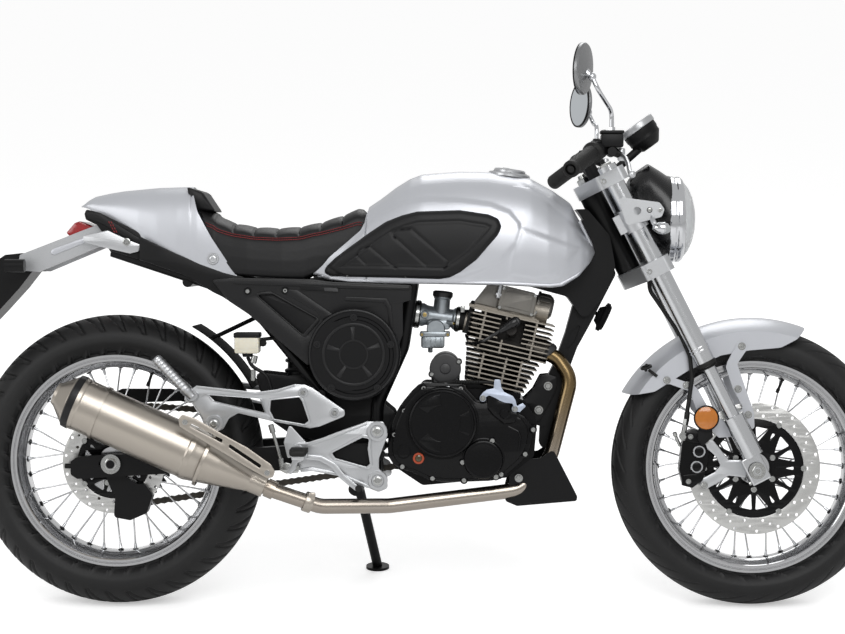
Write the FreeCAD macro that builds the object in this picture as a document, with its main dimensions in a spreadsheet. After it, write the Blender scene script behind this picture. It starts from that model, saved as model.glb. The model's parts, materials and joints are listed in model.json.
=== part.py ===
"""A cafe racer motorcycle with one air-cooled cylinder, standing on its side stand.

The bike is drawn upright: +X forward from the rear axle, +Y to its left, +Z up from the ground under
it. At the end every piece is leant over together onto the tyres and the side stand's foot, and the
origin goes to the middle of the ground under the whole machine.
"""
import FreeCAD, Part
import math
import os

V = FreeCAD.Vector
ACROSS = V(0, 1, 0)
FORWARD = V(1, 0, 0)
UP = V(0, 0, 1)

doc = FreeCAD.newDocument("cafe_racer")

# Driving dimensions: lengths in millimetres, angles in degrees
SIZES = {
    # The whole machine
    "lean_angle": 10.0,
    "wheelbase": 1375.0,
    "seat_gap": 0.3,
    "overrun": 3.0,
    "edge_round": 4.0,
    # Rear wheel
    "rear_tyre_radius": 315.0,
    "rear_tyre_half_width": 70.0,
    "rear_rim_half_width": 54.0,
    "rear_flange_y": 38.0,
    "rear_axle_radius": 9.0,
    "rear_disc_radius": 110.0,
    "rear_disc_y": 86.0,
    "sprocket_radius": 108.0,
    "chain_line_y": 88.0,
    "chain_pitch": 15.875,
    "plate_height": 15.0,
    "plate_thickness": 2.6,
    "roller_width": 6.4,
    # Front wheel
    "front_tyre_radius": 302.0,
    "front_tyre_half_width": 56.0,
    "front_rim_half_width": 40.0,
    "front_flange_y": 34.0,
    "front_axle_radius": 8.0,
    "front_disc_radius": 142.0,
    "front_disc_y": 64.0,
    # Both wheels
    "rim_radius": 231.0,
    "rim_depth": 30.0,
    "rim_lip": 4.0,
    "bead_depth": 12.0,
    "hub_radius": 24.0,
    "flange_radius": 46.0,
    "flange_thickness": 7.0,
    "spoke_radius": 1.8,
    "disc_thickness": 5.0,
    "disc_bore_radius": 30.0,
    "axle_play": 0.05,
    # Fork and steering
    "rake_angle": 27.0,
    "leg_offset": 50.0,
    "axle_setback": 8.2,
    "leg_y": 100.0,
    "leg_drop": 508.4,
    "outer_tube_radius": 20.5,
    "outer_tube_bottom": 255.0,
    "outer_tube_top": 214.0,
    "stanchion_radius": 14.5,
    "stanchion_bottom": 384.0,
    "foot_radius": 23.0,
    "foot_below_axle": 24.0,
    "stem_radius": 15.0,
    "head_tube_radius": 26.0,
    "bottom_clamp_w": 27.0,
    "bottom_clamp_height": 34.0,
    "top_clamp_w": 187.0,
    "top_clamp_height": 30.0,
    "clamp_length": 112.0,
    "clamp_half_width": 132.0,
    "bar_radius": 11.0,
    "bar_half_width": 372.0,
    "bar_middle_ahead": -95.0,
    "bar_middle_above": 236.0,
    "grip_radius": 17.5,
    "grip_length": 128.0,
    "mirror_radius": 53.0,
    "mirror_thickness": 12.0,
    "mirror_y": 310.0,
    "right_mirror_back": 119.0,
    "right_mirror_up": 402.0,
    "left_mirror_back": 88.0,
    "left_mirror_up": 372.0,
    "gauge_radius": 41.0,
    "gauge_depth": 60.0,
    "gauge_tilt": 36.0,
    "lamp_radius": 91.0,
    "lamp_depth": 112.0,
    "lamp_ahead": 93.0,
    "lamp_above": 101.0,
    "fender_gap": 17.0,
    "fender_half_width": 70.0,
    "fender_wall": 3.0,
    # Frame
    "pivot_x": 560.0,
    "pivot_z": 335.0,
    "pivot_radius": 12.0,
    "frame_tube_radius": 14.0,
    "rail_y": 95.0,
    "arm_height": 56.0,
    "arm_thickness": 25.0,
    "arm_y": 113.5,
    # Engine
    "case_half_width": 92.0,
    "cover_depth": 50.0,
    "engine_ahead": 257.0,
    "engine_above": 139.0,
    "cylinder_tilt": 13.0,
    "barrel_radius": 46.0,
    "barrel_length": 72.0,
    "fin_pitch": 10.6,
    "fin_thickness": 2.8,
    "fin_post": 4.0,
    "barrel_fin_length": 168.0,
    "barrel_fin_width": 156.0,
    "head_fin_length": 188.0,
    "head_fin_width": 168.0,
    "head_length": 146.0,
    # Exhaust
    "header_radius": 16.0,
    "muffler_radius": 57.0,
    "muffler_length": 330.0,
    "muffler_y": 190.0,
    "muffler_drop": 24.0,
    "muffler_back": 70.0,
    "muffler_up": 139.0,
    # Tank, seat and tail
    "tank_head_gap": 75.0,
    "tank_bottom": 694.0,
    "tank_length": 602.0,
    "tank_height": 247.0,
    "tank_half_width": 142.0,
    "tunnel_half_width": 68.0,
    "pad_thickness": 6.0,
    "seat_nose": 115.0,
    "seat_above_tank": 14.0,
    "seat_length": 385.0,
    "seat_height": 158.0,
    "seat_half_width": 116.0,
    "cowl_behind_seat": 234.0,
    "cowl_above_seat": 6.0,
    "cowl_length": 342.0,
    "cowl_height": 194.0,
    "cowl_half_width": 112.0,
    "cowl_wall": 3.0,
    # Side stand
    "stand_reach": 106.0,
    "stand_ahead": 40.0,
    "stand_radius": 11.0,
    "stand_pin_radius": 6.0,
    "stand_pivot_x": 515.0,
    "stand_pivot_y": 136.0,
    "stand_pivot_z": 248.0,
}

sheet = doc.addObject("Spreadsheet::Sheet", "sizes")
for row, (alias, value) in enumerate(SIZES.items(), start=1):
    sheet.set("A%d" % row, alias.replace("_", " "))
    sheet.set("B%d" % row, str(value))
    sheet.setAlias("B%d" % row, alias)
doc.recompute()


class Sizes:
    """The driving dimensions, read from the sheet by name."""

    def __getattr__(self, alias):
        return float(sheet.get(alias))


size = Sizes()

# Places that several pieces share
REAR_AXLE = V(0, 0, size.rear_tyre_radius)
FRONT_AXLE = V(size.wheelbase, 0, size.front_tyre_radius)
RAKE = math.radians(size.rake_angle)
FORK_AHEAD = V(math.cos(RAKE), 0, math.sin(RAKE))
FORK_UP = V(-math.sin(RAKE), 0, math.cos(RAKE))
HEAD = FRONT_AXLE - FORK_AHEAD * (size.leg_offset - size.axle_setback) + FORK_UP * size.leg_drop
FORK_FRAME = FreeCAD.Placement(HEAD, FreeCAD.Rotation(ACROSS, -size.rake_angle))
PIVOT = V(size.pivot_x, 0, size.pivot_z)
CYLINDER = V(PIVOT.x + size.engine_ahead, 0, PIVOT.z + size.engine_above)
TANK = V(HEAD.x - size.tank_head_gap - size.tank_length, 0, size.tank_bottom)
SEAT = V(TANK.x + size.seat_nose - size.seat_length, 0, TANK.z + size.seat_above_tank)
COWL = V(SEAT.x - size.cowl_behind_seat, 0, SEAT.z + size.cowl_above_seat)
CROSS_BAR = V(PIVOT.x - size.frame_tube_radius * 11.3, 0, TANK.z - size.frame_tube_radius * 1.5)
BRACE_TOP = V(SEAT.x + size.seat_length * 0.3, 0, TANK.z - size.frame_tube_radius * 1.2)
BRACE_FOOT = V(PIVOT.x - size.frame_tube_radius * 6, 0, PIVOT.z + size.frame_tube_radius * 6.8)


# Drawing helpers
def rounded(points, radius, closed=True):
    """Edges from point to point, each corner turned by an arc where there is room for it."""
    reach_share = 0.45
    straight_angle = math.radians(179)
    corners = []
    count = len(points)
    for index, corner in enumerate(points):
        if not closed and index in (0, count - 1):
            corners.append((corner, None, corner))
            continue
        before = points[index - 1] - corner
        after = points[(index + 1) % count] - corner
        turn = before.getAngle(after)
        if radius == 0 or turn > straight_angle:
            corners.append((corner, None, corner))
            continue
        room = reach_share * min(before.Length, after.Length)
        reach = min(radius / math.tan(turn / 2), room)
        bend = reach * math.tan(turn / 2)
        before.normalize()
        after.normalize()
        middle = before + after
        middle.normalize()
        middle = corner + middle * (bend / math.sin(turn / 2) - bend)
        corners.append((corner + before * reach, middle, corner + after * reach))
    curves = []
    for index, (start, middle, end) in enumerate(corners):
        if middle is not None:
            curves.append(Part.Arc(start, middle, end))
        if index + 1 < count or closed:
            curves.append(Part.LineSegment(end, corners[(index + 1) % count][0]))
    return curves


def wire(curves):
    """One wire from curves that follow each other."""
    return Part.Wire([curve.toShape() for curve in curves])


def slab(outline, low, high, radius=0.0):
    """A plate: an outline of (x, z) points, from y = low to y = high."""
    points = [V(x, low, z) for x, z in outline]
    return Part.Face(wire(rounded(points, radius))).extrude(ACROSS * (high - low))


def rod(start, end, radius):
    """A round bar from one point to another."""
    return Part.makeCylinder(radius, (end - start).Length, start, end - start)


def tube(points, radius, bend):
    """A round tube along straight runs joined by tangent arcs."""
    path = wire(rounded(points, bend, closed=False))
    ring = Part.Wire(Part.Circle(points[0], points[1] - points[0], radius).toShape())
    return path.makePipeShell([ring], True, False)


def both_sides(shape):
    """The piece and its mirror image across the bike's middle."""
    return [shape, shape.mirror(V(0, 0, 0), ACROSS)]


def joined(shapes):
    """All the shapes fused into one."""
    whole = shapes[0]
    if len(shapes) > 1:
        whole = shapes[0].multiFuse(shapes[1:])
    return whole.removeSplitter()


def across_shape(share_points, corner, length, height):
    """Outline points in (x, z) from shares of a length and a height."""
    return [(corner.x + a * length, corner.z + b * height) for a, b in share_points]


def around(point, reach, point_shares):
    """Outline points in (x, z) from shares of one reach, measured from a point."""
    return [(point.x + a * reach, point.z + b * reach) for a, b in point_shares]


def facing(point, direction):
    """A place whose Y axis looks along a direction."""
    return FreeCAD.Placement(point, FreeCAD.Rotation(ACROSS, direction))


def revolved(outline_shares, start, direction, length, radius):
    """A solid turned about a direction, from shares of its length and its radius."""
    points = [V(0, a * length, b * radius) for a, b in outline_shares]
    solid = Part.Face(wire(rounded(points, 0.0))).revolve(V(0, 0, 0), ACROSS, 360)
    solid.Placement = facing(start, direction)
    return solid


# Sub-parts and their places
nodes = []


def keep(piece, placement=FreeCAD.Placement()):
    """Marks an object as a finished sub-part, with its place on the upright bike."""
    nodes.append((piece, placement))
    return piece


def feature(label, shapes, placement=FreeCAD.Placement()):
    """A sub-part whose shape is made by the functions above."""
    piece = doc.addObject("Part::Feature", label)
    piece.Label = label
    if isinstance(shapes, list):
        piece.Shape = Part.makeCompound(shapes) if len(shapes) > 1 else shapes[0]
    else:
        piece.Shape = shapes
    return keep(piece, placement.multiply(piece.Placement))


def new_sketch(body, name, plane, curves):
    """A sketch on one of the body's own origin planes."""
    sketch = body.newObject("Sketcher::SketchObject", name)
    planes = [item for item in body.Origin.OriginFeatures if item.Role == plane]
    sketch.AttachmentSupport = [(planes[0], "")]
    sketch.MapMode = "FlatFace"
    for curve in curves:
        sketch.addGeometry(curve)
    return sketch


def turned_body(label, outline, placement, radius=0.0):
    """A body turned about the wheel's axle from an outline of (across, radius) points."""
    body = doc.addObject("PartDesign::Body", label)
    body.Label = label
    curves = rounded([V(y, r, 0) for y, r in outline], radius)
    sketch = new_sketch(body, label + "_section", "YZ_Plane", curves)
    turned = body.newObject("PartDesign::Revolution", label + "_turned")
    turned.Profile = sketch
    turned.ReferenceAxis = (sketch, ["H_Axis"])
    turned.Angle = 360
    sketch.Visibility = False
    return keep(body, placement)


# Wheels
def tyre(label, radius, half_width, rim_half_width, place):
    """A tyre with a round crown, turned from its section."""
    shoulder_share = 0.93
    drop_share = 0.48
    bulge_share = 0.75
    bead = rim_half_width - size.rim_lip - size.seat_gap
    bead_radius = size.rim_radius - size.bead_depth
    shoulder = V(half_width * shoulder_share, radius - half_width * drop_share, 0)
    bulge = V(half_width, radius - half_width * bulge_share, 0)
    foot = V(bead, bead_radius, 0)
    rise = V(bead, size.rim_radius + size.rim_lip, 0)

    def other(point):
        return V(-point.x, point.y, 0)

    body = doc.addObject("PartDesign::Body", label)
    body.Label = label
    curves = [
        Part.Arc(shoulder, V(0, radius, 0), other(shoulder)),
        Part.Arc(other(shoulder), other(bulge), other(rise)),
        Part.LineSegment(other(rise), other(foot)),
        Part.LineSegment(other(foot), foot),
        Part.LineSegment(foot, rise),
        Part.Arc(rise, bulge, shoulder),
    ]
    sketch = new_sketch(body, label + "_section", "YZ_Plane", curves)
    turned = body.newObject("PartDesign::Revolution", label + "_turned")
    turned.Profile = sketch
    turned.ReferenceAxis = (sketch, ["H_Axis"])
    turned.Angle = 360
    return keep(body, place)


def rim(label, half_width, place):
    """A spoked wheel's rim: lips for the tyre and a deep well that carries the spokes."""
    lip = size.rim_lip
    seat = size.rim_radius - size.bead_depth - size.seat_gap
    shoulder_share = 0.8
    well_share = 0.45
    shoulder_radius = size.rim_radius - size.rim_depth * 0.6
    well_radius = size.rim_radius - size.rim_depth
    outline = [
        (half_width, size.rim_radius), (half_width - lip, size.rim_radius),
        (half_width - lip, seat), (lip - half_width, seat),
        (lip - half_width, size.rim_radius), (-half_width, size.rim_radius),
        (-half_width, seat - lip), (-half_width * shoulder_share, shoulder_radius - lip),
        (-half_width * well_share, well_radius), (half_width * well_share, well_radius),
        (half_width * shoulder_share, shoulder_radius - lip), (half_width, seat - lip),
    ]
    return turned_body(label, outline, place)


def spokes(flange_y, flange_radius):
    """Thirty-six tangent spokes, eighteen to a flange, laced over each other."""
    per_flange = 18
    lace_angle = 40.0
    rim_y_share = 0.22
    side_step = size.flange_thickness / 2 + size.spoke_radius * 0.5
    inner = flange_radius - size.flange_thickness
    outer = size.rim_radius - size.rim_depth - size.seat_gap - size.spoke_radius / 2
    bars = []
    for side in (1, -1):
        for index in range(per_flange):
            lean = 1 if index % 2 else -1
            at_hub = math.radians(index * 360 / per_flange + (side > 0) * 180 / per_flange)
            at_rim = at_hub + math.radians(lace_angle) * lean
            hub_y = side * flange_y + lean * side_step
            rim_y = side * flange_y * rim_y_share
            start = V(inner * math.cos(at_hub), hub_y, inner * math.sin(at_hub))
            end = V(outer * math.cos(at_rim), rim_y, outer * math.sin(at_rim))
            bars.append(rod(start, end, size.spoke_radius))
    return bars


def hub(label, outline, flange_y, bore, extras, place):
    """A hub turned with its two flanges, and the spokes that it carries."""
    points = [V(0, y, r) for y, r in outline]
    core = Part.Face(wire(rounded(points, 0.0))).revolve(V(0, 0, 0), ACROSS, 360)
    whole = joined([core] + spokes(flange_y, size.flange_radius) + extras)
    width = flange_y * 8
    hole = Part.makeCylinder(bore, width, V(0, -width / 2, 0), ACROSS)
    return feature(label, whole.cut(hole), place)


def hub_outline(flange_y, right_end, left_end):
    """Half section of a hub with two flanges, from its right end, which seats a disc, to its left."""
    waist = size.hub_radius
    seat = size.disc_bore_radius + size.disc_thickness
    seat_start = -right_end + size.disc_thickness
    bore = size.axle_play
    edge = size.flange_radius
    half = size.flange_thickness / 2
    return [
        (-right_end, bore), (left_end, bore), (left_end, waist), (flange_y + half, waist),
        (flange_y + half, edge), (flange_y - half, edge), (flange_y - half, waist),
        (half - flange_y, waist), (half - flange_y, edge), (-flange_y - half, edge),
        (-flange_y - half, waist), (seat_start, waist), (seat_start, seat), (-right_end, seat),
    ]


def disc(label, radius, y, windows, place):
    """A brake disc: a ring and its carrier, with windows between the carrier's arms."""
    body = doc.addObject("PartDesign::Body", label)
    body.Label = label
    ring = [Part.Circle(V(0, 0, 0), UP, radius), Part.Circle(V(0, 0, 0), UP, size.disc_bore_radius)]
    blank = new_sketch(body, label + "_outline", "XZ_Plane", ring)
    plate = body.newObject("PartDesign::Pad", label + "_plate")
    plate.Profile = blank
    plate.setExpression("Length", "sizes.disc_thickness")
    plate.SideType = "Symmetric"
    doc.recompute()
    low = size.disc_bore_radius + size.disc_thickness * 2
    high = radius - size.disc_bore_radius - size.disc_thickness * 2
    half_angle = math.pi / windows - size.disc_thickness / low
    corners = [
        V(low, 0, 0),
        V(high * math.cos(half_angle), high * math.sin(half_angle), 0),
        V(high * math.cos(half_angle), -high * math.sin(half_angle), 0),
    ]
    window = new_sketch(body, label + "_window", "XZ_Plane", rounded(corners, size.edge_round))
    pocket = body.newObject("PartDesign::Pocket", label + "_pocket")
    pocket.Profile = window
    pocket.Type = "ThroughAll"
    pocket.SideType = "Symmetric"
    doc.recompute()
    pattern = body.newObject("PartDesign::PolarPattern", label + "_windows")
    pattern.Originals = [pocket]
    pattern.Axis = (blank, ["N_Axis"])
    pattern.Angle = 360
    pattern.Occurrences = windows
    body.Tip = pattern
    return keep(body, place * FreeCAD.Placement(V(0, y, 0), FreeCAD.Rotation()))


def sprocket_blank(radius, teeth):
    """A sprocket's plate, its teeth pointing out between the chain's rollers."""
    tooth_shares = ((-0.42, 0.90), (-0.14, 1.0), (0.14, 1.0), (0.42, 0.90))
    low = size.chain_line_y - size.disc_thickness / 2
    points = []
    for tooth in range(teeth):
        for turn_share, radius_share in tooth_shares:
            angle = (tooth + turn_share) * 2 * math.pi / teeth
            points.append(V(radius * radius_share * math.cos(angle), low, radius * radius_share * math.sin(angle)))
    return Part.Face(Part.makePolygon(points + points[:1])).extrude(ACROSS * size.disc_thickness)


def front_wheel():
    place = FreeCAD.Placement(FRONT_AXLE, FreeCAD.Rotation())
    tyre("front_tyre", size.front_tyre_radius, size.front_tyre_half_width, size.front_rim_half_width, place)
    rim("front_rim", size.front_rim_half_width, place)
    end = size.front_disc_y - size.disc_thickness / 2 - size.seat_gap
    bore = size.front_axle_radius + size.axle_play
    hub("front_hub", hub_outline(size.front_flange_y, end, end), size.front_flange_y, bore, [], place)
    disc("front_disc", size.front_disc_radius, -size.front_disc_y, 6, place)


def rear_wheel():
    place = FreeCAD.Placement(REAR_AXLE, FreeCAD.Rotation())
    tyre("rear_tyre", size.rear_tyre_radius, size.rear_tyre_half_width, size.rear_rim_half_width, place)
    rim("rear_rim", size.rear_rim_half_width, place)
    right_end = size.rear_disc_y - size.disc_thickness / 2 - size.seat_gap
    half = size.disc_thickness / 2
    low = size.chain_line_y - half
    teeth = 42
    sprocket = sprocket_blank(size.sprocket_radius, teeth)
    bore = size.rear_axle_radius + size.axle_play
    outline = hub_outline(size.rear_flange_y, right_end, low + half)
    hub("rear_hub", outline, size.rear_flange_y, bore, [sprocket], place)
    disc("rear_disc", size.rear_disc_radius, -size.rear_disc_y, 5, place)


# Fork and everything that steers
def fork_clamps():
    """Top and bottom clamps on the steering stem."""
    front = size.clamp_length * 0.72
    rear = size.clamp_length - front
    width = size.clamp_half_width
    outline = [
        V(-rear * 0.9, -width * 0.15, 0), V(front * 0.2, -width, 0), V(front, -width, 0),
        V(front, -width * 0.54, 0), V(front * 0.5, -width * 0.4, 0), V(front * 0.5, width * 0.4, 0),
        V(front, width * 0.54, 0), V(front, width, 0), V(front * 0.2, width, 0), V(-rear * 0.9, width * 0.15, 0),
    ]
    plates = []
    for middle, height in ((size.top_clamp_w, size.top_clamp_height),
                           (-size.bottom_clamp_w, size.bottom_clamp_height)):
        points = [point + UP * (middle - height / 2) for point in outline]
        plate = Part.Face(wire(rounded(points, size.stem_radius))).extrude(UP * height)
        for side in (1, -1):
            hole = Part.makeCylinder(size.outer_tube_radius + size.seat_gap, height,
                                     V(size.leg_offset, side * size.leg_y, middle - height / 2))
            plate = plate.cut(hole)
        plates.append(plate)
    low = -size.bottom_clamp_w - size.bottom_clamp_height / 2
    stem = Part.makeCylinder(size.stem_radius, size.top_clamp_w - low, V(0, 0, low))
    feature("fork_clamps", joined(plates + [stem]), FORK_FRAME)


def fork_tubes():
    """The two outer tubes that the clamps hold."""
    legs = []
    for side in (-1, 1):
        leg = doc.addObject("Part::Cylinder", "fork_tube")
        leg.setExpression("Radius", "sizes.outer_tube_radius")
        leg.setExpression("Height", "sizes.outer_tube_top + sizes.outer_tube_bottom")
        leg.Placement = FreeCAD.Placement(V(size.leg_offset, side * size.leg_y, -size.outer_tube_bottom),
                                          FreeCAD.Rotation())
        legs.append(leg)
    pair = doc.addObject("Part::Compound", "fork_tubes")
    pair.Links = legs
    keep(pair, FORK_FRAME)


def fork_lowers():
    """Stanchions, cups and axle clamps, and the axle that joins them."""
    axle_at = V(size.leg_offset - size.axle_setback, 0, -size.leg_drop)
    cup_length = size.foot_radius * 4.1
    block = size.foot_radius * 0.95
    parts = []
    for side in (-1, 1):
        y = side * size.leg_y
        top = V(size.leg_offset, y, -size.outer_tube_bottom - size.seat_gap)
        cup = V(size.leg_offset, y, -size.stanchion_bottom)
        end = cup - UP * cup_length
        parts.append(rod(top, end, size.stanchion_radius))
        parts.append(rod(cup, end, size.foot_radius))
        low = axle_at.z - size.foot_below_axle - size.edge_round
        clamp = Part.makeBox(block * 2, block * 1.3, end.z + size.edge_round - low,
                             V(axle_at.x - block, y - block * 0.65, low))
        parts.append(clamp.makeFillet(size.edge_round, clamp.Edges))
        face = size.front_disc_y - size.disc_thickness / 2
        start = V(axle_at.x, side * (face + size.seat_gap), axle_at.z)
        parts.append(rod(start, V(axle_at.x, y, axle_at.z), size.foot_radius * 0.6))
    width = size.leg_y + size.foot_radius + size.edge_round
    parts.append(rod(axle_at - ACROSS * width, axle_at + ACROSS * width, size.front_axle_radius))
    feature("fork_lowers", joined(parts), FORK_FRAME)


def steer_point(ahead, y, above):
    """A point measured from the steering head in the bike's own directions."""
    return V(HEAD.x + ahead, y, HEAD.z + above)


def bar_route():
    """The handlebar's centreline, from its middle out to the left end."""
    ahead = size.bar_middle_ahead
    above = size.bar_middle_above
    half = size.bar_half_width
    return [
        steer_point(ahead, 0, above), steer_point(ahead, half * 0.2, above),
        steer_point(ahead * 0.62, half * 0.5, above * 1.08),
        steer_point(ahead * 0.86, half * 0.66, above * 1.02),
        steer_point(ahead * 1.46, half, above * 0.84),
    ]


def handlebar():
    """The bar, bent back and down at both ends, and its two clamps."""
    route = bar_route()
    bend = size.bar_radius * 5
    left = tube(route, size.bar_radius, bend)
    halves = both_sides(left)
    clamps = []
    for side in (-1, 1):
        top = route[0] + ACROSS * side * size.head_tube_radius
        foot = FORK_FRAME.inverse().multVec(top)
        foot.z = size.top_clamp_w + size.top_clamp_height / 2 + size.seat_gap
        clamps.append(rod(FORK_FRAME.multVec(foot), top, size.bar_radius * 1.3))
    feature("handlebar", joined(halves + clamps))
    end = route[-1]
    inward = route[-2] - end
    inward.normalize()
    grip = rod(end - inward * size.bar_radius, end + inward * size.grip_length, size.grip_radius)
    feature("grips", both_sides(grip.cut(left)))


def bar_controls():
    """Master cylinder, clutch perch, switch blocks and levers."""
    route = bar_route()
    end = route[-1]
    inward = route[-2] - end
    inward.normalize()
    r = size.bar_radius
    block_start = end + inward * (size.grip_length + size.seat_gap)
    block = rod(block_start, block_start + inward * r * 2.6, size.grip_radius * 1.25)
    perch = block_start + inward * r * 2
    knuckle = perch + FORWARD * r * 4.4 - UP * r
    arm = rod(perch, knuckle, r)
    reservoir = rod(perch + FORWARD * r * 2.6, perch + FORWARD * r * 2.6 + UP * r * 3.2, r * 1.5)
    reservoir = reservoir.makeFillet(r * 0.3, reservoir.Edges[:1])
    tip = end + FORWARD * r * 11 - inward * r * 0.6 - UP * r
    lever = rod(knuckle, tip, r * 0.5)
    ball = Part.makeSphere(r * 0.75, tip)
    pivot = rod(knuckle - UP * r * 1.2, knuckle + UP * r * 1.2, r * 0.7)
    left = joined([block, arm, reservoir, lever, ball, pivot])
    left = left.cut(tube(route, r + size.seat_gap / 3, r * 5))
    feature("bar_controls", both_sides(left))


def mirror_root():
    """Where the left mirror's stem stands, on the lever's perch."""
    route = bar_route()
    inward = route[-2] - route[-1]
    inward.normalize()
    return route[-1] + inward * (size.grip_length + size.bar_radius * 2) + FORWARD * size.bar_radius * 2.6


def mirrors():
    """Two round mirrors on bent stems, each set for the rider's eye."""
    root = mirror_root() + UP * (size.bar_radius * 3.2 + size.seat_gap)
    reach = size.mirror_radius
    shell_shares = ((0.0, 0.0), (0.0, 0.93), (0.25, 1.0), (0.6, 1.0), (1.0, 0.7), (1.35, 0.0))
    pieces = []
    for side, back, up in ((-1, size.right_mirror_back, size.right_mirror_up),
                           (1, size.left_mirror_back, size.left_mirror_up)):
        foot = V(root.x, side * root.y, root.z)
        middle = V(HEAD.x - back, side * size.mirror_y, HEAD.z + up)
        glass_way = V(-1, -side * 0.38, 0.06)
        glass_way.normalize()
        joint = middle - glass_way * size.mirror_thickness * 2 - UP * reach * 0.3
        elbow = foot + UP * reach * 0.8
        shoulder = joint - UP * reach * 0.5 - glass_way * reach * 0.25
        stem = tube([foot, elbow, shoulder, joint], size.bar_radius * 0.42, reach * 0.5)
        ball = Part.makeSphere(size.bar_radius * 0.8, joint)
        neck = rod(joint, middle - glass_way * size.mirror_thickness * 0.6, size.bar_radius * 0.6)
        head = revolved(shell_shares, middle, -glass_way, size.mirror_thickness, size.mirror_radius)
        pieces.append(joined([stem, ball, neck, head]))
    feature("mirrors", pieces)


def gauge():
    """The round clock, facing the rider, its can narrowing below the rim."""
    can_shares = ((0.0, 0.0), (0.0, 0.94), (0.04, 1.0), (0.22, 1.0), (0.22, 0.94), (0.66, 0.82), (1.0, 0.54), (1.0, 0.0))
    tilt = math.radians(size.gauge_tilt)
    up = V(-math.sin(tilt), 0, math.cos(tilt))
    face = HEAD + FORWARD * size.gauge_radius * 0.4 + UP * (size.lamp_above + size.lamp_radius * 2.27)
    can = revolved(can_shares, face, -up, size.gauge_depth, size.gauge_radius)
    foot = FORK_FRAME.multVec(V(size.leg_offset * 0.6, 0, size.top_clamp_w))
    arm = rod(foot, face - up * size.gauge_depth * 0.8, size.bar_radius * 0.8)
    feature("gauge", joined([can, arm]).cut(nodes_shape("fork_clamps")))


def lamp_middle():
    return V(HEAD.x + size.lamp_ahead, 0, HEAD.z + size.lamp_above)


def headlight():
    """The headlight: a black shell that runs back between the fork tubes, ring and domed glass."""
    lamp_shares = (
        (-0.1, 0.0), (-0.1, 1.0), (0.02, 1.0), (0.04, 1.03), (0.18, 1.03), (0.2, 0.96), (0.32, 0.92), (0.36, 0.8),
        (0.46, 0.6), (0.53, 0.3), (0.55, 0.0),
    )
    middle = lamp_middle()
    radius = size.lamp_radius
    front = revolved(lamp_shares, middle, FORWARD, size.lamp_depth, radius)
    ring_shares = ((0.0, 0.0, 1.03, 1.04), (0.55, 0.13, 0.9, 1.04), (0.8, 0.15, 0.68, 0.72))
    wires = []
    for back, lift, wide, tall in ring_shares:
        centre = V(middle.x - back * radius, 0, middle.z + lift * radius)
        if tall > wide:
            oval = Part.Ellipse(centre + UP * tall * radius, centre + ACROSS * wide * radius, centre)
        wires.append(Part.Wire(oval.toShape()))
    shell = Part.makeLoft(wires, True, False)
    feature("headlight", joined([front, shell]))


def headlight_brackets():
    """A clamp round each fork tube, its plate with three holes, and the indicator under it."""
    plate_shares = ((-1.35, 0.51), (-0.38, 0.38), (-0.26, 0.22), (-0.33, 0.04), (-1.14, -0.16))
    hole_shares = ((-0.90, 0.18, 0.093), (-0.61, 0.2, 0.066), (-0.36, 0.2, 0.066))
    lens_shares = ((0.0, 0.0), (0.05, 0.5), (0.3, 0.85), (0.62, 1.0), (0.72, 0.96), (1.0, 0.5), (1.06, 0.0))
    middle = lamp_middle()
    radius = size.lamp_radius
    w_middle = FORK_FRAME.inverse().multVec(middle).z
    tube_radius = size.outer_tube_radius
    height = tube_radius * 2.5
    y = size.leg_y
    low = w_middle + tube_radius * 0.75
    ring = Part.makeCylinder(tube_radius + size.edge_round * 1.2, height, V(size.leg_offset, y, low))
    ear = Part.makeBox(tube_radius * 0.8, tube_radius * 0.9, height * 0.8,
                       V(size.leg_offset - tube_radius * 1.9, y - tube_radius * 0.45, low + height * 0.1))
    hole = Part.makeCylinder(tube_radius + size.seat_gap / 3, height, V(size.leg_offset, y, low))
    ring = joined([ring, ear]).cut(hole)
    ring.Placement = FORK_FRAME
    plate_y = y + tube_radius + size.edge_round * 0.4
    plate = slab(around(middle, radius, plate_shares), plate_y, plate_y + size.edge_round, size.edge_round * 2)
    for ahead, above, reach in hole_shares:
        at = V(middle.x + ahead * radius, plate_y - size.edge_round, middle.z + above * radius)
        plate = plate.cut(Part.makeCylinder(reach * radius, size.edge_round * 3, at, ACROSS))
    pin_at = V(middle.x - radius * 0.36, 0, middle.z + radius * 0.2)
    pin = rod(V(pin_at.x, radius * 0.6, pin_at.z), V(pin_at.x, plate_y + size.edge_round, pin_at.z), radius * 0.07)
    lens_at = V(middle.x - radius * 0.55, plate_y + tube_radius * 1.3, middle.z - radius * 0.2)
    stalk = tube([V(lens_at.x, plate_y + size.edge_round * 0.5, middle.z + radius * 0.06),
                  V(lens_at.x, lens_at.y - tube_radius * 0.4, middle.z - radius * 0.02),
                  V(lens_at.x + tube_radius * 0.4, lens_at.y, lens_at.z)], size.edge_round, tube_radius)
    lens = revolved(lens_shares, lens_at, V(1, 0, -0.12), tube_radius * 1.75, tube_radius * 0.62)
    whole = joined([ring, plate, pin, stalk, lens]).cut(nodes_shape("headlight"))
    feature("headlight_brackets", both_sides(max(whole.Solids, key=lambda solid: solid.Volume)))


def nodes_shape(label):
    """The shape of a finished sub-part, as it stands on the upright bike."""
    for piece, placement in nodes:
        if piece.Label == label:
            shape = piece.Shape.copy()
            shape.Placement = placement
            return shape
    raise ValueError(label)


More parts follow.
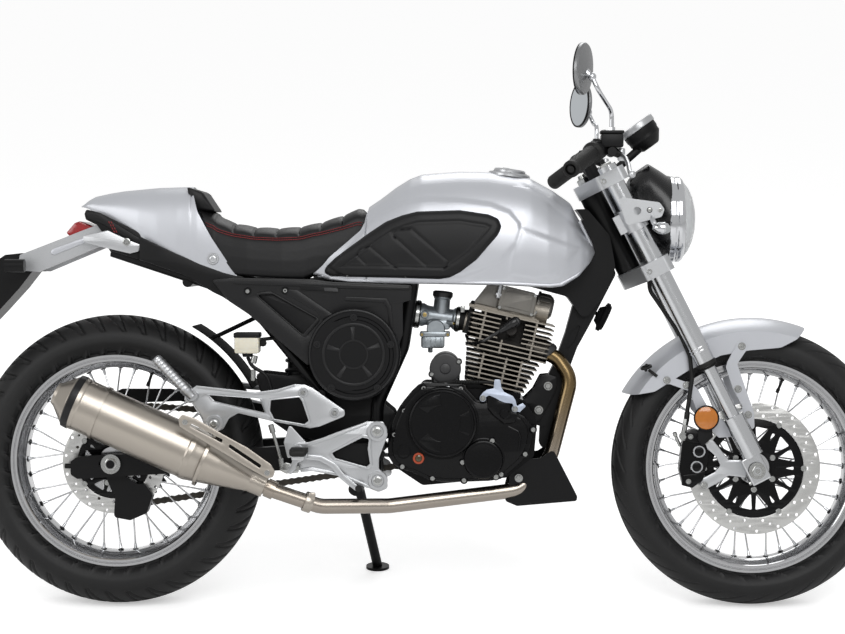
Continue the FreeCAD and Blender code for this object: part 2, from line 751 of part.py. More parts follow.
FENDER_SHARES = (
    (0.372, 0.985), (0.295, 0.917), (0.185, 0.860), (-0.036, 0.841), (-0.238, 0.805), (-0.474, 0.695),
    (-0.646, 0.586), (-0.709, 0.546), (-0.864, 0.520), (-0.945, 0.530), (-1.3, 0.8), (-1.3, 1.3), (0.6, 1.3),
)
FRONT_STAY_SHARES = (
    (-0.12, 0.900), (-0.055, 0.900), (-0.055, 0.850), (-0.125, 0.745), (-0.075, 0.60), (-0.005, 0.40),
    (0.0, 0.28), (-0.14, 0.30), (-0.14, 0.39), (-0.08, 0.43), (-0.155, 0.57), (-0.205, 0.72), (-0.195, 0.76),
)
REAR_STAY_SHARES = (
    (-0.655, 0.645), (-0.60, 0.655), (-0.44, 0.60), (-0.40, 0.56), (-0.30, 0.38), (-0.12, 0.30), (-0.12, 0.23),
    (-0.255, 0.22), (-0.40, 0.39), (-0.46, 0.55), (-0.60, 0.60), (-0.655, 0.60),
)


def front_fender():
    """A fender that hugs the tyre, with two flat stays on each side down to the axle clamps."""
    crown = size.front_tyre_radius + size.fender_gap
    wall = size.fender_wall
    half = size.fender_half_width
    skirt = size.front_tyre_radius * 0.8
    lower = size.front_tyre_radius - half * 0.1

    def shell(grow):
        curves = [
            Part.LineSegment(V(0, -half - grow, skirt), V(0, -half - grow, lower)),
            Part.Arc(V(0, -half - grow, lower), V(0, 0, crown + grow), V(0, half + grow, lower)),
            Part.LineSegment(V(0, half + grow, lower), V(0, half + grow, skirt)),
            Part.LineSegment(V(0, half + grow, skirt), V(0, -half - grow, skirt)),
        ]
        return Part.Face(wire(curves)).revolve(V(0, 0, 0), ACROSS, 360)

    reach = size.front_tyre_radius
    side_view = slab(around(V(0, 0, 0), reach, FENDER_SHARES), -half * 2, half * 2, half * 0.4)
    cover = shell(wall).cut(shell(0.0)).common(side_view)
    cover.Placement = FreeCAD.Placement(FRONT_AXLE, FreeCAD.Rotation())
    parts = [cover]
    low = half + wall * 0.5
    for stay_shares in (FRONT_STAY_SHARES, REAR_STAY_SHARES):
        outline = around(FRONT_AXLE, reach, stay_shares)
        parts += both_sides(slab(outline, low, low + wall * 1.3, wall * 2))
    lug_shares = ((0.35, 1.04), (-0.02, 1.10))
    for ahead, down in lug_shares:
        seat_at = FORK_FRAME.multVec(V(size.leg_offset + ahead * size.foot_radius, 0, -size.stanchion_bottom * down))
        boss = rod(seat_at + ACROSS * low, seat_at + ACROSS * size.leg_y, wall * 1.6)
        parts += both_sides(boss)
    legs = Part.makeCylinder(size.foot_radius + size.seat_gap, size.leg_drop,
                             V(size.leg_offset, size.leg_y, -size.leg_drop - size.foot_below_axle))
    legs.Placement = FORK_FRAME
    whole = joined(parts)
    for leg in both_sides(legs):
        whole = whole.cut(leg)
    feature("front_fender", max(whole.Solids, key=lambda solid: solid.Volume))


def front_brake():
    """Two-piston caliper over the front disc, its arms on the fork, its hose and the reflector."""
    block_shares = (
        (-1.12, 0.40), (-1.04, 0.56), (-0.90, 0.60), (-0.70, 0.54), (-0.68, 0.30), (-0.72, 0.06), (-0.84, -0.12),
        (-0.98, -0.20), (-1.10, -0.14), (-1.14, 0.10),
    )
    arm_shares = (
        (-0.86, 0.50), (-0.62, 0.44), (-0.40, 0.36), (-0.30, 0.5), (-0.02, 0.1), (-0.30, -0.04), (-0.66, -0.10),
        (-0.80, -0.08), (-0.74, 0.06), (-0.50, 0.08), (-0.42, 0.2), (-0.62, 0.30), (-0.80, 0.34),
    )
    piston_shares = ((-0.85, 0.27), (-0.88, 0.03))
    axle = FRONT_AXLE
    disc_y = -size.front_disc_y
    radius = size.front_disc_radius
    gap = size.disc_thickness
    block = slab(around(axle, radius, block_shares), disc_y - gap * 5, disc_y + gap * 4, size.edge_round * 2)
    slot = Part.makeCylinder(radius + gap, gap * 2.2, V(axle.x, disc_y - gap * 1.1, axle.z), ACROSS)
    block = block.cut(slot)
    arms = slab(around(axle, radius, arm_shares), disc_y - gap * 6, disc_y - gap * 4, size.edge_round)
    pieces = [block, arms]
    for ahead, above in piston_shares:
        at = V(axle.x + ahead * radius, disc_y - gap * 5.8, axle.z + above * radius)
        pieces.append(Part.makeCylinder(radius * 0.115, gap * 2, at, ACROSS))
    reflector = V(axle.x - radius * 0.75, disc_y - gap * 8, axle.z + radius * 0.78)
    pieces.append(Part.makeCylinder(radius * 0.185, gap * 1.4, reflector, ACROSS))
    carrier_shares = ((-0.82, 0.86), (-0.66, 0.84), (-0.62, 0.46), (-0.84, 0.46))
    pieces.append(slab(around(axle, radius, carrier_shares), disc_y - gap * 7, disc_y - gap * 4, size.edge_round))
    hose_shares = ((-0.742, 0.62, 1.265), (-0.636, 0.70, 1.109), (-0.526, 0.84, 0.940), (-0.464, 0.85, 0.801),
                   (-0.447, 0.85, 0.646), (-0.480, 0.83, 0.414), (-0.487, 0.70, 0.25))
    reach = size.front_tyre_radius
    route = [FORK_FRAME.multVec(V(size.leg_offset * 0.5, -size.leg_y * 0.6, -size.bottom_clamp_w))]
    for ahead, aside, above in hose_shares:
        route.append(axle + V(ahead * reach, -aside * size.leg_y, above * reach))
    pieces.append(tube(route, size.edge_round, size.edge_round * 8))
    legs = Part.makeCylinder(size.foot_radius + size.seat_gap, size.leg_drop,
                             V(size.leg_offset, -size.leg_y, -size.leg_drop - size.foot_below_axle))
    legs.Placement = FORK_FRAME
    whole = joined(pieces).cut(legs)
    for label in ("fork_lowers", "front_fender", "fork_clamps"):
        whole = whole.cut(nodes_shape(label))
    feature("front_brake", max(whole.Solids, key=lambda solid: solid.Volume))


# Frame and swingarm
def tunnel_roof(x):
    """Height of the roof of the tank's tunnel, which rises in two straight runs."""
    low = TANK.z + size.tank_height * 0.3
    middle = TANK.z + size.tank_height * 0.42
    high = TANK.z + size.tank_height * 0.62
    along = (x - TANK.x) / size.tank_length
    if along < 0.5:
        return low + (middle - low) * along / 0.5
    return middle + (high - middle) * (along - 0.5) / 0.6


def frame():
    """Steering head, spine, down tube, uprights with pivot plates and the seat rails."""
    r = size.frame_tube_radius
    low = -size.bottom_clamp_w + size.bottom_clamp_height / 2 + size.seat_gap
    high = size.top_clamp_w - size.top_clamp_height / 2 - size.seat_gap
    head_tube = Part.makeCylinder(size.head_tube_radius, high - low, V(0, 0, low))
    stem_hole = Part.makeCylinder(size.stem_radius + size.axle_play, high - low, V(0, 0, low))
    head_tube.Placement = FORK_FRAME
    stem_hole.Placement = FORK_FRAME
    head_mid = FORK_FRAME.multVec(V(0, 0, (low + high) / 2))
    spine_end = V(TANK.x + size.tank_length * 0.36, 0, TANK.z + size.tank_height * 0.2)
    spine_front = V(head_mid.x - size.head_tube_radius * 0.6, 0, head_mid.z)
    half = size.tunnel_half_width * 0.55
    reach = size.top_clamp_w
    gusset_shares = ((-1.2, -0.02), (-0.9, 0.3), (-0.66, 0.655), (-0.476, 0.66), (-0.214, 0.353), (-0.15, -0.01),
                     (-0.278, -0.337), (-0.508, -0.631), (-0.706, -0.353), (-1.2, -0.22))
    gusset = slab(around(HEAD, reach, gusset_shares), -half, half, r)
    gusset = gusset.cut(tank_body(size.overrun).cut(tank_tunnel(size.seat_gap)))
    spine = slab([
        (HEAD.x - reach, HEAD.z + r * 1.2), (spine_end.x, spine_end.z + r * 1.8),
        (spine_end.x, spine_end.z - r * 1.2), (HEAD.x - reach, HEAD.z - r * 2.8),
    ], -half, half)
    rest_x = spine_end.x + (spine_front.x - spine_end.x) * 0.35
    rest = rod(V(rest_x, 0, spine_end.z), V(rest_x, 0, tunnel_roof(rest_x - r) - size.seat_gap), r)
    head = joined([head_tube, spine, gusset, rest]).cut(stem_hole)
    feature("frame_spine", head)

    wide = size.case_half_width
    down_shares = ((1.685, 1.283), (1.446, 0.609), (1.174, 0.065), (1.098, -0.804), (1.065, -1.45),
                   (1.446, -1.45), (1.511, -0.696), (1.685, 0.174), (1.967, 0.935), (2.25, 1.45))
    under_head = [FORK_FRAME.multVec(V(-size.head_tube_radius * ahead, 0, low + r * above))
                  for ahead, above in ((0.6, 1.2), (3.4, 3.6))]
    side_view = around(CYLINDER, wide, down_shares) + [(point.x, point.z) for point in under_head]
    down = slab(side_view, -r * 1.4, r * 1.4, r)
    lightening_shares = ((1.80, 1.30), (1.66, 0.80), (1.90, 1.05), (2.10, 1.55))
    hollow = slab(around(CYLINDER, wide, lightening_shares), r, r * 2, size.edge_round)
    for recess in both_sides(hollow):
        down = down.cut(recess)
    mount_shares = ((0.62, -0.35), (0.85, -0.52), (1.2, -0.25), (1.34, -0.62), (1.2, -0.95), (0.86, -0.86))
    near = r * 1.4
    ear = slab(around(CYLINDER, wide, mount_shares), near - size.edge_round / 2, near + size.edge_round, size.edge_round * 2)
    down = joined([down] + both_sides(ear)).cut(nodes_shape("frame_spine")).cut(stem_hole)
    feature("frame_down_tube", max(down.Solids, key=lambda solid: solid.Volume))

    top = spine_end + V(0, 0, 0)
    uprights = []
    for side in (-1, 1):
        y = side * (half + r + size.seat_gap)
        bottom_y = side * (size.arm_y - size.arm_thickness * 2.1)
        uprights.append(tube([V(top.x, y, top.z), V(top.x - r * 2, y, CYLINDER.z + r * 6),
                              V(PIVOT.x + r * 0.4, bottom_y, PIVOT.z + r * 7.5),
                              V(PIVOT.x, bottom_y, PIVOT.z - r * 5)], r, r * 5))
    pin = rod(PIVOT - ACROSS * (size.arm_y + size.arm_thickness), PIVOT + ACROSS * (size.arm_y + size.arm_thickness),
              size.pivot_radius)
    bridge = rod(V(PIVOT.x, -size.arm_y + size.arm_thickness * 2.1, PIVOT.z - r * 4),
                 V(PIVOT.x, size.arm_y - size.arm_thickness * 2.1, PIVOT.z - r * 4), r * 0.8)
    feature("frame_uprights", joined(uprights + [pin, bridge] + stand_lug()))

    rails = []
    for side in (-1, 1):
        y = side * size.rail_y
        z = TANK.z - r * 1.2
        rear = V(COWL.x + size.cowl_length * 0.2, side * size.rail_y * 0.6, COWL.z + size.cowl_height * 0.28)
        brace_top = V(BRACE_TOP.x, y, BRACE_TOP.z)
        brace_foot = V(BRACE_FOOT.x, y, BRACE_FOOT.z)
        rail = tube([V(spine_end.x - r * 1.5, side * (half + r * 3.6), z), V(CROSS_BAR.x + r * 2, y, z - r * 0.4),
                     brace_top, rear], r * 0.9, r * 8)
        rails += [rail, rod(brace_top, brace_foot, r * 0.7)]
        for along in (0.86, 1.0):
            boss = brace_top + (brace_foot - brace_top) * along
            rails.append(rod(boss, boss + ACROSS * side * (r * 2), r * 0.6))
    cross = rod(CROSS_BAR - ACROSS * size.rail_y, CROSS_BAR + ACROSS * size.rail_y, r * 0.8)
    tail_end_at = V(SEAT.x, 0, TANK.z + r * 0.6)
    tail = rod(tail_end_at - ACROSS * size.rail_y * 0.93, tail_end_at + ACROSS * size.rail_y * 0.93, r * 0.8)
    feature("subframe", joined(rails + [cross, tail]))


def swingarm():
    """Two tapering arms with chain adjusters, the bridge between them and the rear axle."""
    h = size.arm_height / 2
    length = PIVOT.x - REAR_AXLE.x
    arm_shares = ((-0.155, 0.3), (-0.13, 0.62), (0.0, 0.72), (0.16, 0.62), (0.75, 0.95), (1.0, 0.9), (1.05, 0.0),
                  (1.0, -0.9), (0.75, -0.95), (0.16, -0.9), (0.0, -1.0), (-0.13, -1.05), (-0.155, -0.7))
    outline = [(REAR_AXLE.x + along * length, REAR_AXLE.z + along * (PIVOT.z - REAR_AXLE.z) + up * h)
               for along, up in arm_shares]
    slot_shares = ((-0.95, 0.2), (-0.45, 0.2), (-0.45, -0.2), (-0.95, -0.2))
    slot = around(REAR_AXLE, h, slot_shares)
    arms = []
    for side in (-1, 1):
        middle = side * size.arm_y
        near, far = middle - size.arm_thickness / 2, middle + size.arm_thickness / 2
        arms.append(slab(outline, near, far, size.edge_round * 2).cut(slab(slot, near, far, size.edge_round)))
        end = V(REAR_AXLE.x - length * 0.155, middle, REAR_AXLE.z - h * 0.2)
        arms.append(rod(end + FORWARD * h, end - FORWARD * h * 0.5, size.rear_axle_radius * 0.6))
    bridge_x = size.rear_tyre_radius + size.arm_height * 1.3
    bridge_at = V(bridge_x, 0, PIVOT.z - h * 0.2)
    bridge = rod(bridge_at - ACROSS * size.arm_y, bridge_at + ACROSS * size.arm_y, h * 0.8)
    reach = ACROSS * (size.arm_y + size.arm_thickness)
    axle = rod(REAR_AXLE - reach, REAR_AXLE + reach, size.rear_axle_radius)
    spacers = []
    inner = size.arm_y - size.arm_thickness / 2
    for side, face in ((-1, size.rear_disc_y), (1, size.chain_line_y + size.disc_thickness / 2)):
        spacers.append(rod(REAR_AXLE + ACROSS * side * (face + size.seat_gap), REAR_AXLE + ACROSS * side * inner,
                           size.rear_axle_radius * 1.7))
        face = size.arm_y + size.arm_thickness / 2
        spacers.append(rod(REAR_AXLE + ACROSS * side * face, REAR_AXLE + ACROSS * side * (face + size.edge_round),
                           size.rear_axle_radius * 1.6))
    pin_hole = rod(PIVOT - ACROSS * size.arm_y * 2, PIVOT + ACROSS * size.arm_y * 2, size.pivot_radius + size.axle_play)
    feature("swingarm", joined(arms + [bridge, axle] + spacers).cut(pin_hole))


def rear_brake():
    """Caliper under the right arm's end, and the fluid reservoir with its hose behind the side cover."""
    r = size.rear_disc_radius
    t = size.disc_thickness
    disc_y = -size.rear_disc_y
    block_shares = ((0.06, -0.44), (0.62, -0.40), (0.78, -0.62), (0.66, -0.98), (0.34, -1.12), (0.02, -1.06))
    low, high = disc_y - t * 3.6, disc_y + t * 3.2
    block = slab(around(REAR_AXLE, r, block_shares), low, high, size.edge_round * 2)
    block = block.cut(Part.makeCylinder(r + t, t * 2.2, V(REAR_AXLE.x, disc_y - t * 1.1, REAR_AXLE.z), ACROSS))
    hanger_shares = ((-0.16, -0.2), (0.16, -0.2), (0.5, -0.42), (0.4, -0.62), (0.0, -0.6))
    hanger = slab(around(REAR_AXLE, r, hanger_shares), low, low + t, size.edge_round)
    caliper = joined([block, hanger])
    for label in ("swingarm", "rear_disc"):
        caliper = caliper.cut(nodes_shape(label))
    caliper = max(caliper.Solids, key=lambda solid: solid.Volume)

    s = size.arm_height
    top = V(BRACE_FOOT.x - s * 3.3, -(size.rail_y + size.frame_tube_radius * 1.6), BRACE_FOOT.z + s * 2.92)
    cup_shares = ((0.0, 0.0), (0.0, 1.0), (0.16, 1.0), (0.16, 0.92), (0.9, 0.86), (1.0, 0.5), (1.25, 0.4), (1.25, 0.0))
    cup = revolved(cup_shares, top, -UP, s * 0.72, s * 0.46)
    along_brace_share = 0.38
    carrier = BRACE_TOP + (BRACE_FOOT - BRACE_TOP) * along_brace_share - ACROSS * size.rail_y
    lug = rod(top - UP * s * 0.3, carrier, size.edge_round)
    foot = top - UP * s * 0.9
    hose = tube([foot, foot - UP * s * 0.35 + FORWARD * s * 0.15, V(foot.x + s * 0.75, foot.y, foot.z - s * 0.7),
                 V(foot.x + s * 0.9, foot.y, foot.z - s * 1.25)], size.edge_round, s)
    reservoir = joined([cup, lug, hose])
    reservoir = reservoir.cut(nodes_shape("subframe"))
    feature("rear_brake", [caliper, max(reservoir.Solids, key=lambda solid: solid.Volume)])


def chain_guard():
    """The black guard over the chain's upper run."""
    s = size.arm_height
    r = size.sprocket_radius
    high = REAR_AXLE.z + r * 1.36
    front = V(PIVOT.x - s * 1.6, 0, PIVOT.z + s * 1.15)
    outline = [(REAR_AXLE.x - r * 0.5, high - s * 0.35), (REAR_AXLE.x - r * 0.1, high), (REAR_AXLE.x + r * 0.9, high),
               (front.x, front.z), (front.x, front.z - s * 0.42), (REAR_AXLE.x + r * 1.1, high - s * 0.5),
               (REAR_AXLE.x - r * 0.4, high - s * 0.6)]
    outer = size.chain_line_y + size.disc_thickness * 3.2
    plate = slab(outline, outer, outer + size.cowl_wall, size.edge_round)
    stay_x = PIVOT.x - s * 3
    stay = slab([(stay_x, PIVOT.z), (stay_x + s * 0.3, PIVOT.z), (stay_x + s * 0.3, front.z), (stay_x, front.z)],
                outer + size.cowl_wall, outer + size.cowl_wall * 2)
    whole = joined([plate, stay]).cut(nodes_shape("swingarm"))
    feature("chain_guard", max(whole.Solids, key=lambda solid: solid.Volume))


def horn():
    """A round horn with a ribbed face, on a strap from the down tube."""
    reach = size.arm_height
    face_shares = ((0.0, 0.0), (0.0, 0.45), (0.12, 0.5), (0.12, 0.62), (0.0, 0.68), (0.0, 0.84), (0.12, 0.9),
                   (0.2, 1.0), (0.5, 1.0), (0.62, 0.7), (1.0, 0.5), (1.0, 0.0))
    middle = V(CYLINDER.x + size.case_half_width * 2.56, 0, CYLINDER.z + size.case_half_width * 1.66)
    way = V(0.9, 0, -0.43)
    body = revolved(face_shares, middle + way * reach * 0.2, -way, reach * 0.42, reach * 0.58)
    strap = rod(middle - way * reach * 0.1, middle - way * reach * 0.9 + UP * reach * 0.05, size.edge_round)
    whole = joined([body, strap]).cut(nodes_shape("frame_down_tube"))
    feature("horn", max(whole.Solids, key=lambda solid: solid.Volume))


def shock_absorber():
    """The single shock between the swingarm's bridge and the seat rails."""
    r = size.frame_tube_radius
    bottom = V(size.rear_tyre_radius + size.arm_height * 1.3, 0, PIVOT.z + size.arm_height * 0.3 + size.seat_gap)
    top = CROSS_BAR - UP * (r * 0.8 + size.seat_gap)
    lift = top - bottom
    spring = rod(bottom + lift * 0.2, bottom + lift * 0.8, size.arm_height / 2)
    core = rod(bottom, top, size.arm_height * 0.2)
    feature("shock_absorber", joined([core, spring]))


# Engine
CASE_SHARES = (
    (0.02, 0.60), (0.12, 0.84), (0.30, 0.97), (0.60, 1.0), (0.72, 0.98), (0.92, 0.88), (1.0, 0.66),
    (0.98, 0.30), (0.80, 0.08), (0.25, 0.0), (0.06, 0.2),
)


def engine_frame():
    """A frame square to the cylinder: its z runs up the bore."""
    base = V(CYLINDER.x, 0, CYLINDER.z)
    return FreeCAD.Placement(base, FreeCAD.Rotation(ACROSS, size.cylinder_tilt))


SPROCKET = V(PIVOT.x + size.arm_height * 1.5, size.chain_line_y, PIVOT.z + size.arm_height * 0.1)


def sprocket_room():
    """The space in the left of the engine where the small sprocket and the chain run."""
    radius = size.sprocket_radius * 0.36 + size.disc_thickness * 4
    low = size.chain_line_y - size.disc_thickness * 3
    width = size.disc_thickness * 14
    round_room = Part.makeCylinder(radius, width, V(SPROCKET.x, low, SPROCKET.z), ACROSS)
    back = Part.makeBox(radius * 3, width, radius * 2, V(SPROCKET.x - radius * 3, low, SPROCKET.z - radius))
    return round_room.fuse(back)


def engine():
    """Crankcase, covers, finned barrel and finned head."""
    length = size.case_half_width * 3.55
    height = size.case_half_width * 2.25
    corner = V(CYLINDER.x - length * 0.72, 0, CYLINDER.z - height)
    case = slab(across_shape(CASE_SHARES, corner, length, height), -size.case_half_width, size.case_half_width,
                size.edge_round * 4)
    tilted = engine_frame()
    deck = Part.makeBox(size.barrel_radius * 2.6, size.barrel_radius * 2.6, size.barrel_radius,
                        V(-size.barrel_radius * 1.3, -size.barrel_radius * 1.3, -size.barrel_radius))
    deck.Placement = tilted
    starter = Part.makeCylinder(size.arm_height * 0.55, size.case_half_width * 1.6,
                                V(corner.x + length * 0.40, -size.case_half_width * 0.9, corner.z + height * 1.12), ACROSS)
    room = sprocket_room()
    shaft = rod(V(SPROCKET.x, 0, SPROCKET.z), SPROCKET + ACROSS * size.disc_thickness * 1.5, size.pivot_radius)
    small = Part.makeCylinder(size.sprocket_radius * 0.34, size.disc_thickness,
                              SPROCKET - ACROSS * size.disc_thickness / 2, ACROSS)
    whole = joined([case.cut(room), deck, starter, shaft, small]).cut(nodes_shape("frame_down_tube"))
    feature("crankcase", max(whole.Solids, key=lambda solid: solid.Volume))

    right = [
        (0.0, 0.52), (0.24, 1.0), (0.56, 0.98), (0.66, 0.84), (0.90, 0.75), (1.0, 0.54),
        (0.94, 0.24), (0.74, 0.02), (0.31, 0.0), (0.10, 0.12),
    ]
    cover_corner = V(CYLINDER.x - length * 0.70, 0, CYLINDER.z - size.case_half_width * 2.08)
    face = -size.case_half_width
    outline = across_shape(right, cover_corner, size.case_half_width * 3.4, size.case_half_width * 2.18)
    plate = slab(outline, face - size.cover_depth * 0.7, face - size.seat_gap, size.edge_round * 4)
    drum_at = V(CYLINDER.x - size.case_half_width * 1.2, face - size.cover_depth, CYLINDER.z - size.case_half_width * 0.76)
    drum = Part.makeCylinder(size.barrel_radius * 1.54, size.cover_depth * 0.8, drum_at, ACROSS)
    cap_at = V(CYLINDER.x - size.case_half_width * 0.3, face - size.cover_depth * 0.9, CYLINDER.z - size.case_half_width * 1.55)
    cap = Part.makeCylinder(size.barrel_radius * 0.87, size.cover_depth * 0.8, cap_at, ACROSS)
    feature("clutch_cover", joined([plate, drum, cap]))

    left_plate = slab(outline, -face + size.seat_gap, -face + size.cover_depth * 0.45, size.edge_round * 4)
    rotor_at = V(drum_at.x + size.case_half_width * 0.35, -face + size.cover_depth * 0.2, drum_at.z)
    rotor = Part.makeCylinder(size.barrel_radius * 1.35, size.cover_depth * 0.6, rotor_at, ACROSS)
    feature("generator_cover", joined([left_plate, rotor]).cut(room))

    cylinder()


def fin_stack(low, high, length, width, front_shares, rear_shares):
    """Level fins from low to high: their front and rear edges follow shares of the length, from bottom to top."""
    fins = []
    count = int((high - low - size.fin_thickness) / size.fin_pitch)
    for index in range(count + 1):
        up = (index + 0.5) / (count + 1)
        at = low + (high - low) * up - size.fin_thickness / 2
        front = length * (front_shares[0] + (front_shares[1] - front_shares[0]) * up)
        rear = length * (rear_shares[0] + (rear_shares[1] - rear_shares[0]) * up)
        corners = [V(-rear, -width / 2, at), V(front, -width / 2, at), V(front, width / 2, at), V(-rear, width / 2, at)]
        plate = Part.Face(wire(rounded(corners, size.edge_round * 3)))
        fins.append(plate.extrude(UP * size.fin_thickness))
    return fins


def fin_posts(low, high, length, width, post_shares):
    """The thin upright walls that tie the fins together."""
    posts = []
    for along in post_shares:
        posts.append(Part.makeBox(size.fin_post, width * 0.94, high - low - size.fin_post,
                                  V(length * along, -width * 0.47, low + size.fin_post / 2)))
    return posts


def cylinder():
    """Finned barrel and finned head, drawn upright on the cylinder's own axis and then tilted."""
    tilted = engine_frame()
    length = size.barrel_fin_length
    width = size.barrel_fin_width
    core = Part.makeCylinder(size.barrel_radius, size.barrel_length, V(0, 0, size.seat_gap))
    fins = fin_stack(size.seat_gap, size.barrel_length, length, width, (0.38, 0.51), (0.39, 0.46))
    posts = fin_posts(size.fin_pitch, size.barrel_length, length, width, (-0.24, 0.06, 0.26))
    feature("cylinder_barrel", joined([core] + fins + posts), tilted)

    low = size.barrel_length + size.seat_gap * 2
    high = low + size.head_length * 0.62
    length = size.head_fin_length
    width = size.head_fin_width
    block = Part.makeBox(length * 0.66, width * 0.62, high - low, V(-length * 0.33, -width * 0.31, low))
    fins = fin_stack(low, high, length, width, (0.51, 0.52), (0.43, 0.46))
    posts = fin_posts(low, high, length, width, (-0.3, -0.05, 0.3))
    plug_room = Part.makeBox(length * 0.28, width * 0.3, (high - low) * 0.5,
                             V(-length * 0.1, -width * 0.53, low + (high - low) * 0.36))
    stack = joined([block] + fins + posts).cut(plug_room)
    plug_at = V(length * 0.05, -width * 0.18, low + (high - low) * 0.56)
    plug_end = plug_at + V(0, -width * 0.29, width * 0.03)
    plug = rod(plug_at, plug_end, size.header_radius * 0.5)
    cap = rod(plug_at + (plug_end - plug_at) * 0.5, plug_end + V(-width * 0.02, -width * 0.07, width * 0.02),
              size.header_radius * 0.75)
    cover_shares = ((-0.46, -0.02), (-0.33, 0.92), (-0.26, 1.0), (0.18, 0.97), (0.24, 0.75), (0.28, -0.02))
    rise = size.head_length - (high - low)
    outline = [(along * length, high + up * rise) for along, up in cover_shares]
    cover = slab(outline, -width * 0.31, width * 0.31, size.edge_round * 2)
    rim_shares = ((-0.49, -0.08), (-0.49, 0.04), (0.3, 0.04), (0.3, -0.08))
    rim_plate = slab([(along * length, high + up * rise) for along, up in rim_shares], -width * 0.34, width * 0.34)
    nose_at = V(length * 0.22, 0, high + rise * 0.32)
    nose = rod(nose_at, nose_at + FORWARD * length * 0.2, size.head_length * 0.24)
    tappets = []
    for side in (-1, 1):
        at = V(length * 0.02, side * width * 0.3, high + rise * 0.45)
        tappets.append(rod(at, at + ACROSS * side * width * 0.08, size.head_length * 0.15))
    port = exhaust_port()
    boss = rod(port - exhaust_way() * length * 0.25, port, size.header_radius * 1.55)
    intake = intake_port()
    neck = rod(intake + FORWARD * length * 0.2, intake, size.header_radius * 1.6)
    feature("cylinder_head", joined([stack, plug, cap, cover, rim_plate, nose] + tappets + [boss, neck]), tilted)


def exhaust_port():
    """The face of the exhaust port's boss, in the cylinder's own frame."""
    return V(size.head_fin_length * 0.5, -size.header_radius * 2.35, size.barrel_length + size.head_length * 0.18)


def exhaust_way():
    way = V(1, 0, -0.24)
    way.normalize()
    return way


def intake_port():
    """The face of the intake port's boss, in the cylinder's own frame."""
    return V(-size.head_fin_length * 0.5, 0, size.barrel_length + size.head_length * 0.36)


def carburettor():
    """Carburettor between the air box and the head: its body, round top, bowl and two rubbers."""
    tilted = engine_frame()
    port = tilted.multVec(intake_port())
    r = size.barrel_radius
    back = V(port.x - r * 2.55, 0, port.z + r * 0.1)
    way = port - back
    way.normalize()
    bore_shares = ((0.0, 0.0), (0.0, 0.62), (0.26, 0.62), (0.26, 0.5), (0.34, 0.5), (0.34, 0.78), (0.42, 0.78),
                   (0.42, 0.55), (0.68, 0.55), (0.68, 0.78), (0.74, 0.78), (0.74, 0.6), (1.0, 0.66), (1.0, 0.0))
    throat = revolved(bore_shares, back, way, (port - back).Length - size.seat_gap, r * 0.8)
    middle = back + way * r * 1.38
    slide_shares = ((-1.2, 0.0), (-1.2, 0.6), (-1.05, 0.72), (-0.42, 0.72), (-0.42, 0.56), (0.9, 0.42), (0.9, 0.52),
                    (1.1, 0.52), (1.22, 0.3), (1.22, 0.0))
    slide = revolved(slide_shares, middle, UP, r, r * 0.8)
    screw = rod(middle - ACROSS * r * 0.95 - UP * r * 0.1, middle, r * 0.16)
    whole = joined([throat, slide, screw]).cut(nodes_shape("cylinder_head"))
    feature("carburettor", max(whole.Solids, key=lambda solid: solid.Volume))


def air_box_middle():
    return V(PIVOT.x - size.arm_height * 0.71, 0, PIVOT.z + size.arm_height * 3.81)


def air_box():
    """Air box between the uprights with a round cover on each side."""
    middle = air_box_middle()
    radius = size.arm_height * 1.73
    side = size.arm_y + size.arm_thickness * 1.4
    drum_shares = ((0.0, 0.0), (0.0, 0.98), (0.5, 1.0), (0.86, 1.0), (1.0, 0.95), (1.0, 0.86), (0.93, 0.84),
                   (0.93, 0.78), (1.0, 0.76), (1.0, 0.0))
    drums = []
    for sign in (-1, 1):
        inner = side - size.arm_thickness * 1.5
        start = V(middle.x, sign * inner, middle.z)
        way = ACROSS * sign
        drums.append(revolved(drum_shares, start, way, side - inner, radius))
    core = Part.makeCylinder(radius * 0.78, side * 2, V(middle.x - radius * 0.16, -side, middle.z), ACROSS)
    whole = joined(drums + [core])
    for label in ("frame_uprights", "subframe", "carburettor", "shock_absorber"):
        whole = whole.cut(nodes_shape(label))
    feature("air_box", max(whole.Solids, key=lambda solid: solid.Volume))


def side_covers():
    """The black panels under the seat, one each side, with a sunk window and a screwed edge."""
    s = size.arm_height
    panel_shares = ((-4.1, 2.56), (-4.84, 2.56), (-4.3, 2.3), (-3.62, 1.8), (-2.7, 1.05), (-1.62, -0.1), (-1.2, -0.4),
                    (-0.4, 0.2), (0.4, 1.5), (1.7, 2.02), (1.75, 2.46), (1.7, 2.52))
    window_shares = ((-3.7, 2.28), (-3.1, 2.32), (-1.45, 1.42), (-2.02, 0.82))
    centre = air_box_middle()
    y = size.rail_y + size.frame_tube_radius * 0.9 + size.seat_gap
    plate = slab(around(centre, s, panel_shares), y, y + size.cowl_wall * 3, size.edge_round * 2)
    sunk = slab(around(centre, s, window_shares), y + size.cowl_wall, y + size.cowl_wall * 4, size.edge_round)
    plate = plate.cut(sunk)
    for label in ("air_box", "frame_uprights"):
        plate = plate.cut(nodes_shape(label))
    left = max(plate.Solids, key=lambda solid: solid.Volume)
    right = left.mirror(V(0, 0, 0), ACROSS).cut(nodes_shape("rear_brake"))
    feature("side_covers", [left, max(right.Solids, key=lambda solid: solid.Volume)])


